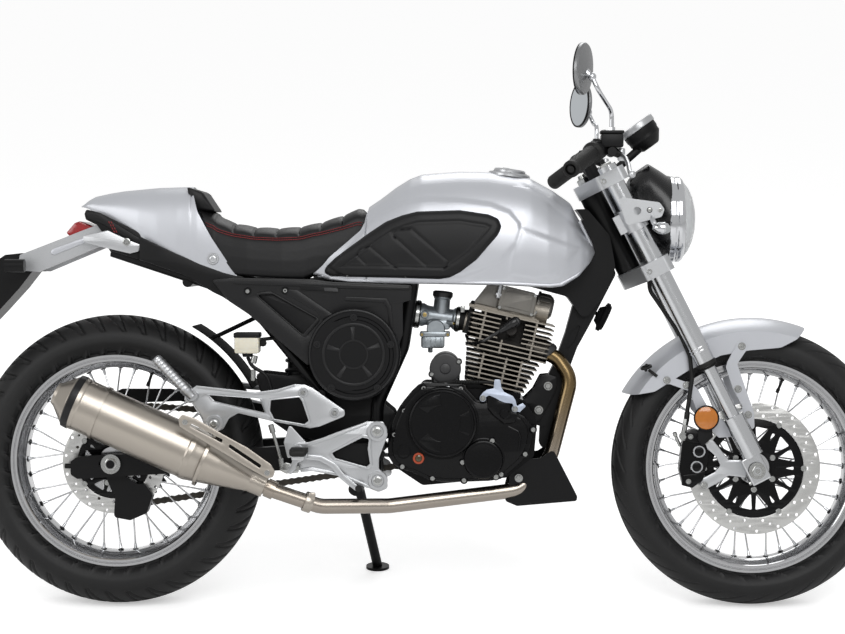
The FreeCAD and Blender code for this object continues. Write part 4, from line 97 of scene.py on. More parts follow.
def finish(name, colour, second, metallic, roughness, patch_mm, grain_mm, grain_depth_mm,
           spread=0.0, coat=0.0, **plain):
    """A surface whose colour drifts between two values in patches, with a grain of a real size.

    Flake, mould spark and leather grain are drawn coarser than the real ones, so that they show.
    """
    material = bpy.data.materials.new(name)
    material.use_nodes = True
    tree = material.node_tree
    tree.nodes.clear()
    place = node(tree, "ShaderNodeTexCoord").outputs["Object"]
    mapped = node(tree, "ShaderNodeMapping", inputs={"Vector": place}).outputs[0]
    patches = node(tree, "ShaderNodeTexNoise", inputs={
        "Vector": mapped, "Scale": 1 / (patch_mm * MM), "Detail": 4.0, "Roughness": 0.6}).outputs["Fac"]
    grain = node(tree, "ShaderNodeTexNoise", inputs={
        "Vector": mapped, "Scale": 1 / (grain_mm * MM), "Detail": 3.0, "Roughness": 0.55}).outputs["Fac"]
    blend = node(tree, "ShaderNodeMix", {"data_type": "RGBA"},
                 {0: patches, 6: linear(colour), 7: linear(second)})
    rough = node(tree, "ShaderNodeMapRange", inputs={
        "Value": grain, "From Min": 0.3, "From Max": 0.7,
        "To Min": max(roughness - spread, 0.02), "To Max": roughness + spread}).outputs[0]
    bump = node(tree, "ShaderNodeBump", inputs={
        "Height": grain, "Strength": 1.0, "Distance": grain_depth_mm * MM}).outputs[0]
    settings = {"Base Color": blend.outputs[2], "Metallic": metallic, "Roughness": rough, "Normal": bump,
                "Coat Weight": coat, **plain}
    shader = node(tree, "ShaderNodeBsdfPrincipled", inputs=settings)
    node(tree, "ShaderNodeOutputMaterial", inputs={"Surface": shader.outputs[0]})
    return material


def silver_paint():
    """Satin metallic lacquer: fine aluminium flake under a thin clear coat, grey and soft."""
    return finish("satin_silver_lacquer", "#bdbfc4", "#b4b6bb", 0.50, 0.36, 180, 0.9, 0.004, 0.03,
                  coat=0.25, **{"Coat Roughness": 0.25})


def black_frame():
    """Powder-coated steel: satin black with the faint orange peel of baked powder."""
    return finish("black_powder_coat", "#09090a", "#0d0d0e", 0.0, 0.36, 60, 2.2, 0.01, 0.05,
                  **{"Specular IOR Level": 0.20})


def black_engine_paint():
    """Gloss engine enamel over smooth castings, with slight ripple and small rubs."""
    return finish("black_engine_enamel", "#050506", "#070708", 0.0, 0.24, 40, 9.0, 0.004, 0.04,
                  coat=0.12, **{"Coat Roughness": 0.10, "Specular IOR Level": 0.12})


def sand_cast_alloy():
    """Sand-cast aluminium: warm dull grey with the open grain of the mould, stained in patches."""
    return finish("sand_cast_aluminium", "#a09a90", "#89837a", 0.85, 0.42, 25, 1.6, 0.08, 0.08)


def satin_alloy():
    """Machined and bead-blasted aluminium: even pale grey with a tight soft grain."""
    return finish("blasted_aluminium", "#c2c3c5", "#b4b6b8", 0.85, 0.32, 70, 0.8, 0.01, 0.05)


def fork_alloy():
    """Anodised aluminium tube: a smooth silver-grey satin, drawn lengthwise."""
    return finish("anodised_fork_tube", "#cfd0d2", "#c6c8ca", 1.0, 0.20, 200, 0.7, 0.0, 0.01)


def chrome():
    """Polished chrome plate: near-white, mirror smooth, with a breath of haze."""
    return finish("chrome_plate", "#d5d6d8", "#c5c7ca", 1.0, 0.07, 60, 5.0, 0.002, 0.03)


def polished_rim():
    """Polished aluminium rim: bright, with fine turning marks round it."""
    return finish("polished_rim_aluminium", "#cfcfd0", "#bdbec0", 1.0, 0.13, 40, 1.2, 0.004, 0.05)


def brushed_steel():
    """Stainless steel brushed along the pipe, a little warm from heat."""
    return finish("brushed_stainless_steel", "#b3aca2", "#a8a198", 1.0, 0.33, 240, 0.9, 0.004, 0.04)


def found(tree, kind):
    """The first node of one kind in a material."""
    return next(item for item in tree.nodes if item.type == kind)


def heat_tinted_steel():
    """Stainless header pipe: bronze near the port, where it runs hot, and plain steel further back."""
    material = finish("heat_tinted_steel", "#7d6a48", "#6b5a42", 1.0, 0.24, 60, 1.0, 0.003, 0.04)
    tree = material.node_tree
    place = found(tree, "TEX_COORD").outputs["Object"]
    blend = found(tree, "MIX").outputs[2]
    height = node(tree, "ShaderNodeSeparateXYZ", inputs={"Vector": place}).outputs[2]
    share = node(tree, "ShaderNodeMapRange", {"interpolation_type": "SMOOTHSTEP"},
                 {"Value": height, "From Min": 0.24, "From Max": 0.50}).outputs[0]
    mixed = node(tree, "ShaderNodeMix", {"data_type": "RGBA"}, {0: share, 6: linear("#a49c93"), 7: blend})
    tree.links.new(mixed.outputs[2], found(tree, "BSDF_PRINCIPLED").inputs["Base Color"])
    return material


def disc_steel():
    """Ground brake-disc steel: fine circular polish from the pads."""
    return finish("ground_disc_steel", "#c9c9c7", "#bdbdbb", 1.0, 0.30, 60, 0.9, 0.004, 0.04)


def chain_steel():
    """Oiled roller chain: dark steel with worn bright edges."""
    return finish("oiled_chain_steel", "#57534d", "#34322f", 0.9, 0.38, 6, 1.5, 0.03, 0.10)


def zinc_bolt():
    """Zinc-plated bolts: pale grey, slightly rough."""
    return finish("zinc_plated_steel", "#b9bab8", "#9c9d9b", 1.0, 0.24, 9, 1.0, 0.01, 0.06)


def black_plastic():
    """Moulded ABS: black with a fine sparked mould texture."""
    return finish("moulded_black_abs", "#0a0a0b", "#0f0f10", 0.0, 0.44, 50, 1.1, 0.01, 0.05,
                  **{"Specular IOR Level": 0.20})


def soft_rubber():
    """Moulded rubber for grips and boots: charcoal black, matt."""
    return finish("moulded_rubber", "#0d0d0d", "#131312", 0.0, 0.58, 30, 1.4, 0.04, 0.06,
                  **{"Specular IOR Level": 0.30})


def tyre_rubber():
    """Tyre rubber: carbon black, matt with a soft bloom on the side wall."""
    return finish("tyre_rubber_compound", "#111112", "#191919", 0.0, 0.54, 35, 1.8, 0.05, 0.08,
                  **{"Specular IOR Level": 0.32})


def pad_rubber():
    """Knee pads of smooth black vinyl over foam, satin."""
    return finish("black_pad_vinyl", "#0f0f10", "#131314", 0.0, 0.46, 60, 1.6, 0.01, 0.05,
                  **{"Specular IOR Level": 0.24})


def seat_vinyl():
    """Upholstery vinyl: black, with a small leather grain pressed into it."""
    material = finish("black_seat_vinyl", "#0f0f10", "#131314", 0.0, 0.46, 90, 2.6, 0.02, 0.05,
                      **{"Specular IOR Level": 0.24})
    tree = material.node_tree
    place = found(tree, "TEX_COORD").outputs["Object"]
    cells = node(tree, "ShaderNodeTexVoronoi", {"feature": "DISTANCE_TO_EDGE"},
                 {"Vector": place, "Scale": 1 / (2.2 * MM)}).outputs[0]
    soft = node(tree, "ShaderNodeMapRange", inputs={"Value": cells, "From Max": 0.25}).outputs[0]
    bump = node(tree, "ShaderNodeBump", inputs={"Height": soft, "Strength": 0.6, "Distance": 0.08 * MM})
    tree.links.new(bump.outputs[0], found(tree, "BSDF_PRINCIPLED").inputs["Normal"])
    return material


def red_thread():
    """Bonded polyester thread, dark red."""
    return finish("red_polyester_thread", "#8e1418", "#6f1013", 0.0, 0.55, 5, 0.8, 0.05, 0.05)


def lens(name, colour, second, roughness=0.12):
    """Moulded acrylic lens: coloured through, glossy outside."""
    return finish(name, colour, second, 0.0, roughness, 14, 4.0, 0.10, 0.02, coat=0.6,
                  **{"Transmission Weight": 0.35, "IOR": 1.49})


def clear_glass():
    """Clear pressed glass, thin and bright."""
    return finish("clear_lamp_glass", "#f6f8f9", "#f0f3f5", 0.0, 0.05, 60, 12.0, 0.03, 0.01,
                  **{"Transmission Weight": 0.55, "IOR": 1.5})


def mirror_glass():
    """Silvered mirror glass."""
    return finish("silvered_mirror_glass", "#d9dee2", "#d2d8dc", 1.0, 0.02, 80, 30.0, 0.001, 0.0)


def reflector():
    """Vacuum-coated reflector: bright, smooth, slightly soft."""
    return finish("coated_reflector", "#dcdddf", "#cfd1d4", 1.0, 0.12, 30, 8.0, 0.02, 0.03)


def dial_face():
    """Printed dial: flat charcoal."""
    return finish("printed_dial", "#1b1c1e", "#202123", 0.0, 0.5, 20, 1.0, 0.005, 0.03)


def black_lamp_paint():
    """Satin black lacquer of the lamp's housing."""
    return finish("satin_black_lacquer", "#08080a", "#0c0c0d", 0.0, 0.26, 60, 3.0, 0.01, 0.04,
                  **{"Specular IOR Level": 0.45})


def satin_shell():
    """Satin nickel of the mirrors' backs: grey, soft and even."""
    return finish("satin_nickel", "#8f9091", "#858687", 0.9, 0.34, 50, 1.0, 0.005, 0.04)


def white_print():
    """White screen print."""
    return finish("white_screen_print", "#e6e6e4", "#dededc", 0.0, 0.5, 8, 1.0, 0.002, 0.03)


def cream_plastic():
    """Translucent polyethylene tank for brake fluid: milky cream."""
    return finish("milky_polyethylene", "#d3cfc0", "#c6c1b0", 0.0, 0.38, 18, 2.0, 0.02, 0.04,
                  **{"Subsurface Weight": 0.3, "Subsurface Radius": (0.01, 0.008, 0.005)})


def sooty_alloy():
    """Painted shade for the cast aluminium deep between the fins: a near-black dull grey that stands in for
    the shade there.
    """
    # painted shade: near-black greys for the faces between and behind the fins
    return finish("cast_aluminium_painted_shade", "#1d1b19", "#2b2825", 0.4, 0.62, 20, 1.8, 0.15, 0.08)


def grey_alloy():
    """Fine cast aluminium of the rocker covers: neutral grey, a little brighter on its rubbed edges."""
    return finish("grey_cast_aluminium", "#85827c", "#6a6864", 0.8, 0.42, 30, 1.4, 0.10, 0.08)


def grey_casting():
    """Dark grey lacquered castings."""
    return finish("grey_lacquered_casting", "#333334", "#2a2a2b", 0.2, 0.42, 30, 1.6, 0.05, 0.06)


def zinc_casting():
    """Pressure-cast zinc of the carburettor: bright blue-grey and satin."""
    return finish("pressure_cast_zinc", "#aab0b4", "#8e959a", 0.75, 0.36, 22, 1.2, 0.05, 0.08)


def zinc_plate():
    """Passivated zinc on sheet steel: pale blue-grey."""
    return finish("passivated_zinc_sheet", "#b3bccb", "#a3abba", 0.55, 0.38, 40, 1.0, 0.01, 0.06)


def matt_black():
    """Unpainted polypropylene of the inner guard: matt, it hardly reflects."""
    return finish("black_polypropylene", "#0b0b0c", "#0f0f10", 0.0, 0.75, 60, 1.4, 0.02, 0.05,
                  **{"Specular IOR Level": 0.06})


def satin_plastic():
    """Moulded side panels: black with a soft satin sheen."""
    return finish("satin_black_panel", "#101011", "#151516", 0.0, 0.36, 60, 1.0, 0.01, 0.04,
                  **{"Specular IOR Level": 0.30})


def spring_paint():
    """Powder-coated spring: dark and satin."""
    return finish("powder_coated_spring", "#141415", "#19191a", 0.0, 0.36, 20, 1.5, 0.01, 0.04)


def brass():
    """Brass screws, dull."""
    return finish("dull_brass", "#b7a271", "#94804f", 1.0, 0.34, 6, 1.0, 0.01, 0.05)


def orange_rubber():
    """Orange rubber seal."""
    return finish("orange_rubber_seal", "#a2401d", "#8c3316", 0.0, 0.45, 8, 1.0, 0.02, 0.04)


def oil_glass():
    """The sight glass, with oil behind it."""
    return finish("oily_sight_glass", "#4a3c14", "#251d0a", 0.1, 0.10, 5, 2.0, 0.02, 0.02, coat=0.6)


def dark_steel():
    """Blackened steel of the silencer's end."""
    return finish("blackened_steel", "#1a1a1b", "#232324", 0.6, 0.35, 40, 1.2, 0.01, 0.06)


MATERIALS = {maker.__name__: maker() for maker in (
    matt_black, satin_plastic, spring_paint, sooty_alloy, grey_alloy, grey_casting, zinc_casting,
    zinc_plate, brass, orange_rubber, oil_glass, dark_steel, silver_paint, black_frame,
    black_engine_paint, sand_cast_alloy, satin_alloy, fork_alloy, chrome, polished_rim, brushed_steel,
    heat_tinted_steel, disc_steel, chain_steel, zinc_bolt, black_plastic, soft_rubber, tyre_rubber,
    pad_rubber, seat_vinyl, red_thread, clear_glass, mirror_glass, reflector, dial_face, cream_plastic,
    black_lamp_paint, satin_shell, white_print)}
MATERIALS["amber_lens"] = lens("amber_acrylic", "#d9831c", "#c26e12")
MATERIALS["red_lens"] = lens("red_acrylic", "#b4161c", "#8e0f14")
MATERIALS["smoke_lens"] = lens("clear_acrylic", "#b9bcbd", "#a3a7a9", 0.08)


# Shaping helpers
def clear_selection():
    """Leaves nothing selected."""
    bpy.ops.object.select_all(action="DESELECT")


def only(piece):
    """Selects one object and nothing else."""
    clear_selection()
    piece.select_set(True)
    bpy.context.view_layer.objects.active = piece
    return piece


def clamped(value, low=0.0):
    """A value held between a lower end and one."""
    return max(low, min(1.0, value))


def eased(value):
    """A smooth step between nought and one."""
    value = clamped(value)
    return value * value * (3 - 2 * value)


def mesh_object(verts, faces):
    """A new object from corners in metres and the faces between them."""
    data = bpy.data.meshes.new("sheet")
    data.from_pydata(verts, [], faces)
    made = bpy.data.objects.new("sheet", data)
    bpy.context.scene.collection.objects.link(made)
    return made


def cleaned(piece, distance=0.02):
    """Merges doubles and turns every face outwards."""
    only(piece)
    bpy.ops.object.mode_set(mode="EDIT")
    bpy.ops.mesh.select_all(action="SELECT")
    bpy.ops.mesh.remove_doubles(threshold=distance * MM)
    bpy.ops.mesh.normals_make_consistent(inside=False)
    bpy.ops.object.mode_set(mode="OBJECT")
    return piece


def modified(piece, kind, **settings):
    """Adds one modifier and applies it."""
    only(piece)
    modifier = piece.modifiers.new(kind.lower(), kind)
    for key, value in settings.items():
        setattr(modifier, key, value)
    bpy.ops.object.modifier_apply(modifier=modifier.name)
    return piece


def carved(piece, cutter):
    """Cuts another piece out of this one, and deletes it."""
    modified(piece, "BOOLEAN", operation="DIFFERENCE", object=cutter, solver="EXACT")
    bpy.data.objects.remove(cutter)
    return piece


def joined(pieces):
    """Several objects as one, or one object as it is."""
    pieces = pieces if isinstance(pieces, list) else [pieces]
    clear_selection()
    for piece in pieces:
        piece.select_set(True)
    bpy.context.view_layer.objects.active = pieces[0]
    if len(pieces) > 1:
        bpy.ops.object.join()
    return pieces[0]


def mirrored(piece):
    """A copy with its own mesh: the piece's mirror image across the bike's middle."""
    only(piece)
    bpy.ops.object.duplicate()
    image = bpy.context.view_layer.objects.active
    image.data.transform(Matrix.Diagonal((1, -1, 1, 1)))
    image.data.flip_normals()
    return image


def both(pieces):
    """A piece, or several as one, together with the mirror image."""
    piece = joined(pieces)
    return joined([piece, mirrored(piece)])


def rounded(points, radius, closed=True, steps=4):
    """The same outline with each corner turned by a short arc, where there is room for it."""
    points = [Vector(point) for point in points]
    if radius <= 0:
        return points
    path = []
    for index, corner in enumerate(points):
        if not closed and index in (0, len(points) - 1):
            path.append(corner)
            continue
        before = points[index - 1] - corner
        after = points[(index + 1) % len(points)] - corner
        turn = before.angle(after)
        if turn > math.radians(176):
            path.append(corner)
            continue
        reach = min(radius / math.tan(turn / 2), 0.46 * min(before.length, after.length))
        start = corner + before.normalized() * reach
        end = corner + after.normalized() * reach
        for step in range(steps + 1):
            share = step / steps
            path.append(start.lerp(corner, share).lerp(corner.lerp(end, share), share))
    return path


def curve_object(loops, closed, flat):
    """A poly curve through loops of points in millimetres."""
    data = bpy.data.curves.new("outline", "CURVE")
    data.dimensions = "2D" if flat else "3D"
    for loop in loops:
        spline = data.splines.new("POLY")
        spline.points.add(len(loop) - 1)
        for point, place in zip(spline.points, loop):
            point.co = (place[0] * MM, place[1] * MM, (0.0 if flat else place[2] * MM), 1)
        spline.use_cyclic_u = closed
    made = bpy.data.objects.new("outline", data)
    bpy.context.scene.collection.objects.link(made)
    return made


def as_mesh(made):
    """A curve turned into a mesh."""
    only(made)
    bpy.ops.object.convert(target="MESH")
    return bpy.context.view_layer.objects.active


def wires(loops, radius, rounds):
    """Round wires along lines of points, rounder with more rounds."""
    made = curve_object(loops, False, False)
    made.data.bevel_depth = radius * MM
    made.data.bevel_resolution = rounds
    made.data.use_fill_caps = True
    return as_mesh(made)


def plate(outline, low, high, corner=0.0, edge=0.8, holes=(), hole_corner=0.0):
    """A plate from an outline of (x, z) points, between two values of y, with rounded edges."""
    loops = [rounded([(x, z, 0) for x, z in outline], corner)]
    loops += [rounded([(x, z, 0) for x, z in hole], hole_corner) for hole in holes]
    made = curve_object(loops, True, True)
    made.data.fill_mode = "BOTH"
    made.data.bevel_depth = edge * MM
    made.data.offset = -edge * MM
    made.data.bevel_resolution = 1
    made.data.extrude = (high - low) / 2 * MM - edge * MM
    made = as_mesh(made)
    made.data.transform(Matrix.Translation(Y * (low + high) / 2 * MM) @ Matrix.Rotation(math.pi / 2, 4, "X"))
    return cleaned(made, 0.01)


def ring_points(centre, radius, count=24):
    """Points round a circle, for a hole or a disc in a plate."""
    return [(centre[0] + radius * math.cos(2 * math.pi * i / count),
             centre[1] + radius * math.sin(2 * math.pi * i / count)) for i in range(count)]


def turned(profile, start, along, steps=48, corner=0.0, closed=False):
    """A shape spun round a line from (distance along it, radius) points."""
    along = Vector(along).normalized()
    path = rounded([(a, r, 0) for a, r in profile], corner, closed)
    made = as_mesh(curve_object([path], closed, False))
    bpy.ops.object.mode_set(mode="EDIT")
    bpy.ops.mesh.select_all(action="SELECT")
    bpy.ops.mesh.spin(steps=steps, angle=2 * math.pi, center=(0, 0, 0), axis=(1, 0, 0))
    bpy.ops.object.mode_set(mode="OBJECT")
    made.data.transform(Matrix.Translation(Vector(start) * MM)
                        @ X.rotation_difference(along).to_matrix().to_4x4())
    return cleaned(made, 0.01)


def rod(start, end, radius, edge=0.8, steps=24):
    """A round bar with softened ends."""
    start, end = Vector(start), Vector(end)
    length = (end - start).length
    profile = [(0, 0), (0, radius - edge), (edge, radius), (length - edge, radius), (length, radius - edge),
               (length, 0)]
    return turned(profile, start, end - start, steps)


def pipe(points, radius, bend=30.0, sides=16, steps=6):
    """A bent tube along points joined by arcs."""
    return cleaned(wires([rounded(points, bend, False, steps)], radius, max(sides // 4 - 1, 1)), 0.01)


def block(low, high, edge=1.5):
    """A box between two corners with softened edges."""
    low, high = Vector(low), Vector(high)
    clear_selection()
    bpy.ops.mesh.primitive_cube_add(size=1, location=(low + high) / 2 * MM)
    made = bpy.context.view_layer.objects.active
    made.scale = (high - low) * MM
    bpy.ops.object.transform_apply(location=True, rotation=True, scale=True)
    return modified(made, "BEVEL", width=edge * MM, segments=2, limit_method="ANGLE",
                    angle_limit=math.radians(40))


def bolt(place, outward, radius=6.0, height=5.0):
    """A hexagon head on a washer, with a chamfered crown."""
    rim = radius * 1.25
    washer = turned([(0, 0), (0, rim), (height * 0.2, rim), (height * 0.2, 0)], place, outward, 16)
    head = turned([(0, 0), (0, radius), (height * 0.8, radius), (height, radius * 0.82), (height, 0)],
                  place, outward, 6)
    return joined([washer, head])


def cap_bolt(place, outward, radius=5.0, height=4.0):
    """A round socket head with its hexagon recess."""
    profile = [(-height, 0), (-height, radius), (height * 0.8, radius), (height, radius * 0.85),
               (height, radius * 0.5), (height * 0.3, radius * 0.5), (height * 0.3, 0)]
    return turned(profile, place, outward, 12)


def smoothed(piece, angle=38):
    """Smooth shading, with the edges that turn by more than an angle kept sharp."""
    only(piece)
    bpy.ops.object.shade_smooth_by_angle(angle=math.radians(angle))
    return piece


def lay_over(pieces, name, material, body="chassis", replaced=(), smooth=38):
    """Puts a finished piece, or several as one, on the leaning machine, with its finish and its body."""
    piece = joined(pieces)
    piece.name = name
    piece.data.name = name
    piece.data.transform(STANCE)
    piece.data.materials.clear()
    piece.data.materials.append(MATERIALS[material])
    smoothed(piece, smooth)
    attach(piece, body)
    if replaced:
        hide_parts(*replaced)
    return piece


def built_places(label):
    """The corners of a piece as it was built, in millimetres on the upright bike."""
    return [(TO_BIKE @ vertex.co) / MM for vertex in frame["nodes"][label].data.vertices]


# Finishes of the pieces that are shown as they were built
NODE_FINISHES = {
    "silver_paint": ("front_fender",),
    "black_frame": ("frame_spine", "frame_down_tube", "frame_uprights", "subframe", "swingarm", "side_stand",
                    "shock_absorber", "air_box", "plate_holder", "belly_pan", "rear_brake", "chain_guard",
                    "under_tray"),
    "black_engine_paint": ("crankcase", "generator_cover"),
    "sand_cast_alloy": ("cylinder_barrel", "cylinder_head"),
    "satin_alloy": ("tail_bracket", "fork_clamps", "headlight_brackets"),
    "fork_alloy": ("fork_tubes", "fork_lowers"),
    "polished_rim": ("front_hub", "rear_hub"),
    "brushed_steel": ("muffler",),
    "heat_tinted_steel": ("exhaust_header",),
    "chain_steel": ("chain",),
    "black_plastic": ("handlebar",),
    "matt_black": ("inner_guard", "horn"),
}
for finish_name, labels in NODE_FINISHES.items():
    for label in labels:
        mesh = frame["nodes"][label].data
        mesh.materials.clear()
        mesh.materials.append(MATERIALS[finish_name])


# Wheels
RIM_RADIUS = 231.0
REAR_TYRE_HALF, REAR_RIM_HALF, REAR_FLANGE = 70.0, 54.0, 38.0
FRONT_TYRE_HALF, FRONT_RIM_HALF, FRONT_FLANGE = 56.0, 40.0, 34.0
REAR_DISC_PLANE, REAR_DISC_RADIUS = -86.0, 110.0
FRONT_DISC_PLANE, FRONT_DISC_RADIUS = -64.0, 142.0
DISC_BORE = 34.0
SPOKES_A_SIDE = 18


def ring_mesh(section, centre, count, groove=None):
    """A closed ring of (y, radius) points, cut as deep at each place as groove(turn, y) says."""
    verts, faces = [], []
    rows = len(section)
    for index in range(count):
        turn = 2 * math.pi * index / count
        for y, radius in section:
            reach = radius - (groove(turn, y) if groove else 0.0)
            verts.append(((centre.x + reach * math.sin(turn)) * MM, (centre.y + y) * MM,
                          (centre.z + reach * math.cos(turn)) * MM))
    for index in range(count):
        after = (index + 1) % count
        for row in range(rows):
            beside = (row + 1) % rows
            faces.append((index * rows + row, after * rows + row,
                          after * rows + beside, index * rows + beside))
    return cleaned(mesh_object(verts, faces), 0.001)


def pattern(piece, matrices):
    """The piece repeated by each matrix, whose place is in millimetres."""
    whole = bmesh.new()
    for matrix in matrices:
        move = matrix.copy()
        move.translation *= MM
        part = piece.data.copy()
        part.transform(move)
        whole.from_mesh(part)
        bpy.data.meshes.remove(part)
    whole.to_mesh(piece.data)
    whole.free()
    return piece


def arc_points(first, middle, last, count):
    """Points along the arc through three (y, radius) points."""
    (ax, ay), (bx, by), (cx, cy) = first, middle, last
    d = 2 * (ax * (by - cy) + bx * (cy - ay) + cx * (ay - by))
    ux = ((ax * ax + ay * ay) * (by - cy) + (bx * bx + by * by) * (cy - ay)
          + (cx * cx + cy * cy) * (ay - by)) / d
    uy = ((ax * ax + ay * ay) * (cx - bx) + (bx * bx + by * by) * (ax - cx)
          + (cx * cx + cy * cy) * (bx - ax)) / d
    reach = math.hypot(ax - ux, ay - uy)
    start = math.atan2(ay - uy, ax - ux)
    total = (math.atan2(cy - uy, cx - ux) - start + math.pi) % (2 * math.pi) - math.pi
    turns = [start + total * i / count for i in range(count + 1)]
    return [(ux + reach * math.cos(turn), uy + reach * math.sin(turn)) for turn in turns]


def tyre(name, body, centre, radius, half, rim_half, groove):
    """A tyre with a cut tread, ribbed shoulders, a rim guard and a bead that sits in the rim."""
    edge, drop = 0.93 * half, radius - 0.48 * half
    top = arc_points((-edge, drop), (0, radius), (edge, drop), 64)
    wall = arc_points((edge, drop), (half, radius - 0.75 * half), (rim_half - 4.3, RIM_RADIUS + 4), 18)
    ribs = {7: 0.7, 8: 0.7, 13: 1.4, 14: 1.6, 15: 1.2}
    side = []
    for index, (y, r) in enumerate(wall[1:], start=1):
        side.append((min(y + ribs.get(index, 0.0) * 0.6, half), r + ribs.get(index, 0.0) * 0.4))
    foot = [(rim_half - 4.6, 221.0)]
    section = top + side + foot + [(-y, r) for y, r in reversed(side + foot)]
    piece = ring_mesh(section, centre, 900, groove)
    return lay_over(piece, name, "tyre_rubber", body, (name,), smooth=55)


def tread(radius, count, start, end, sweep, width, depth, grooves, centre_line):
    """Curved grooves from near the crown out over each shoulder, shallower at both ends.

    Each groove has its share of the bend, its offset and its share of the width.
    """
    spacing = 2 * math.pi * radius / count

    def cut(turn, y):
        reach = abs(y)
        deep = 0.0
        if centre_line:
            deep = depth * clamped((centre_line - abs(reach - 13.0)) / 1.2)
        if not start < reach < end:
            return deep
        share = (reach - start) / (end - start)
        for bend, offset, wide in grooves:
            phase = turn * count / (2 * math.pi) + sweep * bend * share ** 1.5 + offset
            phase += 0.5 if y <= 0 else 0.0
            near = min(phase % 1, 1 - phase % 1) * spacing
            soft = clamped((width * wide / 2 - near) / 1.3 + 0.5)
            fade = clamped((reach - start) / 3) * clamped((end - reach) / 5)
            deep = max(deep, depth * soft * fade)
        return deep
    return cut


def rim(name, body, centre, half):
    """A polished rim: rolled lips, a stepped side and the raised bed that carries the spokes."""
    side = [(half - 4, 219.5), (half - 4, 229.6), (half - 3, 230.9), (half - 1.2, 230.9), (half, 229.4),
            (half, 224.0), (half - 1.0, 223.0), (half - 1.0, 221.6), (half, 220.6), (half, 216.0),
            (half - 1.5, 214.0), (half * 0.90, 212.8), (half * 0.87, 213.4), (half * 0.84, 212.4),
            (half * 0.66, 207.4), (half * 0.50, 203.0), (half * 0.40, 201.3), (half * 0.2, 201.1)]
    piece = ring_mesh(side + [(-y, r) for y, r in reversed(side)], centre, 180)
    return lay_over(piece, name, "polished_rim", body, (name,), smooth=24)


def nipples(name, body, centre, flange_y):
    """The spokes' nipples, each on its dimple in the rim's bed, and the tyre's valve."""
    outer, inner, lacing = 199.8, 39.0, math.radians(40)
    nut = turned([(-1, 0), (-1, 4.2), (1, 4.6), (2, 3.4), (11, 2.7), (13.5, 2.2), (13.5, 0)], (0, 0, 0),
                 X, 10)
    seats = turned([(-0.9, 0), (-0.9, 6.6), (0.5, 6.2), (0.9, 4.4), (0.9, 0)], (0, 0, 0), X, 12)
    places = []
    for side in (1, -1):
        for index in range(SPOKES_A_SIDE):
            lean = 1 if index % 2 else -1
            at_hub = math.radians((index + (side > 0) / 2) * 360 / SPOKES_A_SIDE)
            at_rim = at_hub + lacing * lean
            start = Vector((inner * math.cos(at_hub), side * flange_y + lean * 4.4, inner * math.sin(at_hub)))
            end = Vector((outer * math.cos(at_rim), side * flange_y * 0.22, outer * math.sin(at_rim)))
            turn = X.rotation_difference((start - end).normalized()).to_matrix().to_4x4()
            places.append(Matrix.Translation(centre + end) @ turn)
    lay_over(pattern(nut, places), name + "_nipples", "chrome", body)
    lay_over(pattern(seats, places), name + "_spoke_seats", "soft_rubber", body)
    valve = turned([(0, 0), (0, 4.5), (4, 4.5), (5, 3), (24, 3), (25, 4), (33, 4), (34, 3), (34, 0)],
                   centre + Vector((0.35, 0, 0.93)).normalized() * 202, Vector((-0.35, 0.25, -0.93)), 14)
    lay_over(valve, name + "_valve", "soft_rubber", body)


def brake_disc(name, body, centre, y, radius, ring_width, groups, rows, arms, bore):
    """A ground ring full of slanting rows of holes on a black carrier with cut-out windows."""
    mid = (centre.x, centre.z)

    def spot(reach, turn):
        return (mid[0] + reach * math.cos(turn), mid[1] + reach * math.sin(turn))

    inner = radius - ring_width
    holes = []
    for group in range(groups):
        for row in range(rows):
            turn = 2 * math.pi * (group + 0.32 * row) / groups
            reach = inner + ring_width * (0.2 + 0.62 * row / max(rows - 1, 1))
            holes.append(ring_points(spot(reach, turn), 3.4 if row % 2 == 0 else 2.7, 10))
    ring = plate(ring_points(mid, radius, 96), y - 2.5, y + 2.5, 0, 0.5,
                 [ring_points(mid, inner, 96)] + holes)
    lay_over(ring, name + "_ring", "disc_steel", body, (name,), smooth=30)

    windows = []
    for arm in range(arms):
        turn = 2 * math.pi * (arm + 0.5) / arms
        half = math.pi / arms
        wings = [[spot(inner * 0.84, turn + side * half * 0.7), spot(inner * 0.84, turn + side * half * 0.08),
                  spot(inner * 0.50, turn + side * half * 0.2)] for side in (-1, 1)]
        notch = [spot(inner * 0.80, turn + half * 0.92), spot(inner * 0.80, turn + half * 1.08),
                 spot(inner * 0.6, turn + half)]
        windows += [wings[0], notch, wings[1]]
    carrier = plate(ring_points(mid, inner - 0.4, 96), y - 2.0, y + 2.9, 0, 0.6,
                    [ring_points(mid, bore, 48)] + windows, 3.0)
    lay_over(carrier, name + "_carrier", "black_engine_paint", body, smooth=30)

    rivet = turned([(0, 0), (0, 6.4), (1.4, 6.4), (2.4, 5.2), (2.4, 3.2), (1.2, 3.0), (1.2, 0)],
                   (0, 0, 0), X, 16)
    spots = []
    for arm in range(arms):
        for reach, share in ((inner, 0.0), (bore * 1.34, 0.5)):
            turn = 2 * math.pi * (arm + share) / arms
            place = Vector((centre.x + reach * math.cos(turn), y - 2.4, centre.z + reach * math.sin(turn)))
            spots.append(Matrix.Translation(place) @ Matrix.Rotation(-math.pi / 2, 4, "Z"))
    lay_over(pattern(rivet, spots), name + "_rivets", "zinc_bolt", body)


def axle_end(name, body, centre, y, radius):
    """A nut and washer on each end of an axle, with the thread standing out of the nut."""
    ends = []
    for side in (1, -1):
        at = centre + Y * side * y
        ends.append(turned([(-6, 0), (-6, radius * 1.5), (-4, radius * 1.5), (-4, 0)], at, Y * side, 24))
        ends.append(turned([(-4, 0), (-4, radius), (-1, radius), (0, radius * 0.86), (0, 0)], at,
                           Y * side, 6))
        ends.append(turned([(-2, 0), (-2, radius * 0.55), (1.4, radius * 0.5), (1.4, 0)], at, Y * side, 16))
    lay_over(ends, name, "zinc_bolt", body, smooth=30)


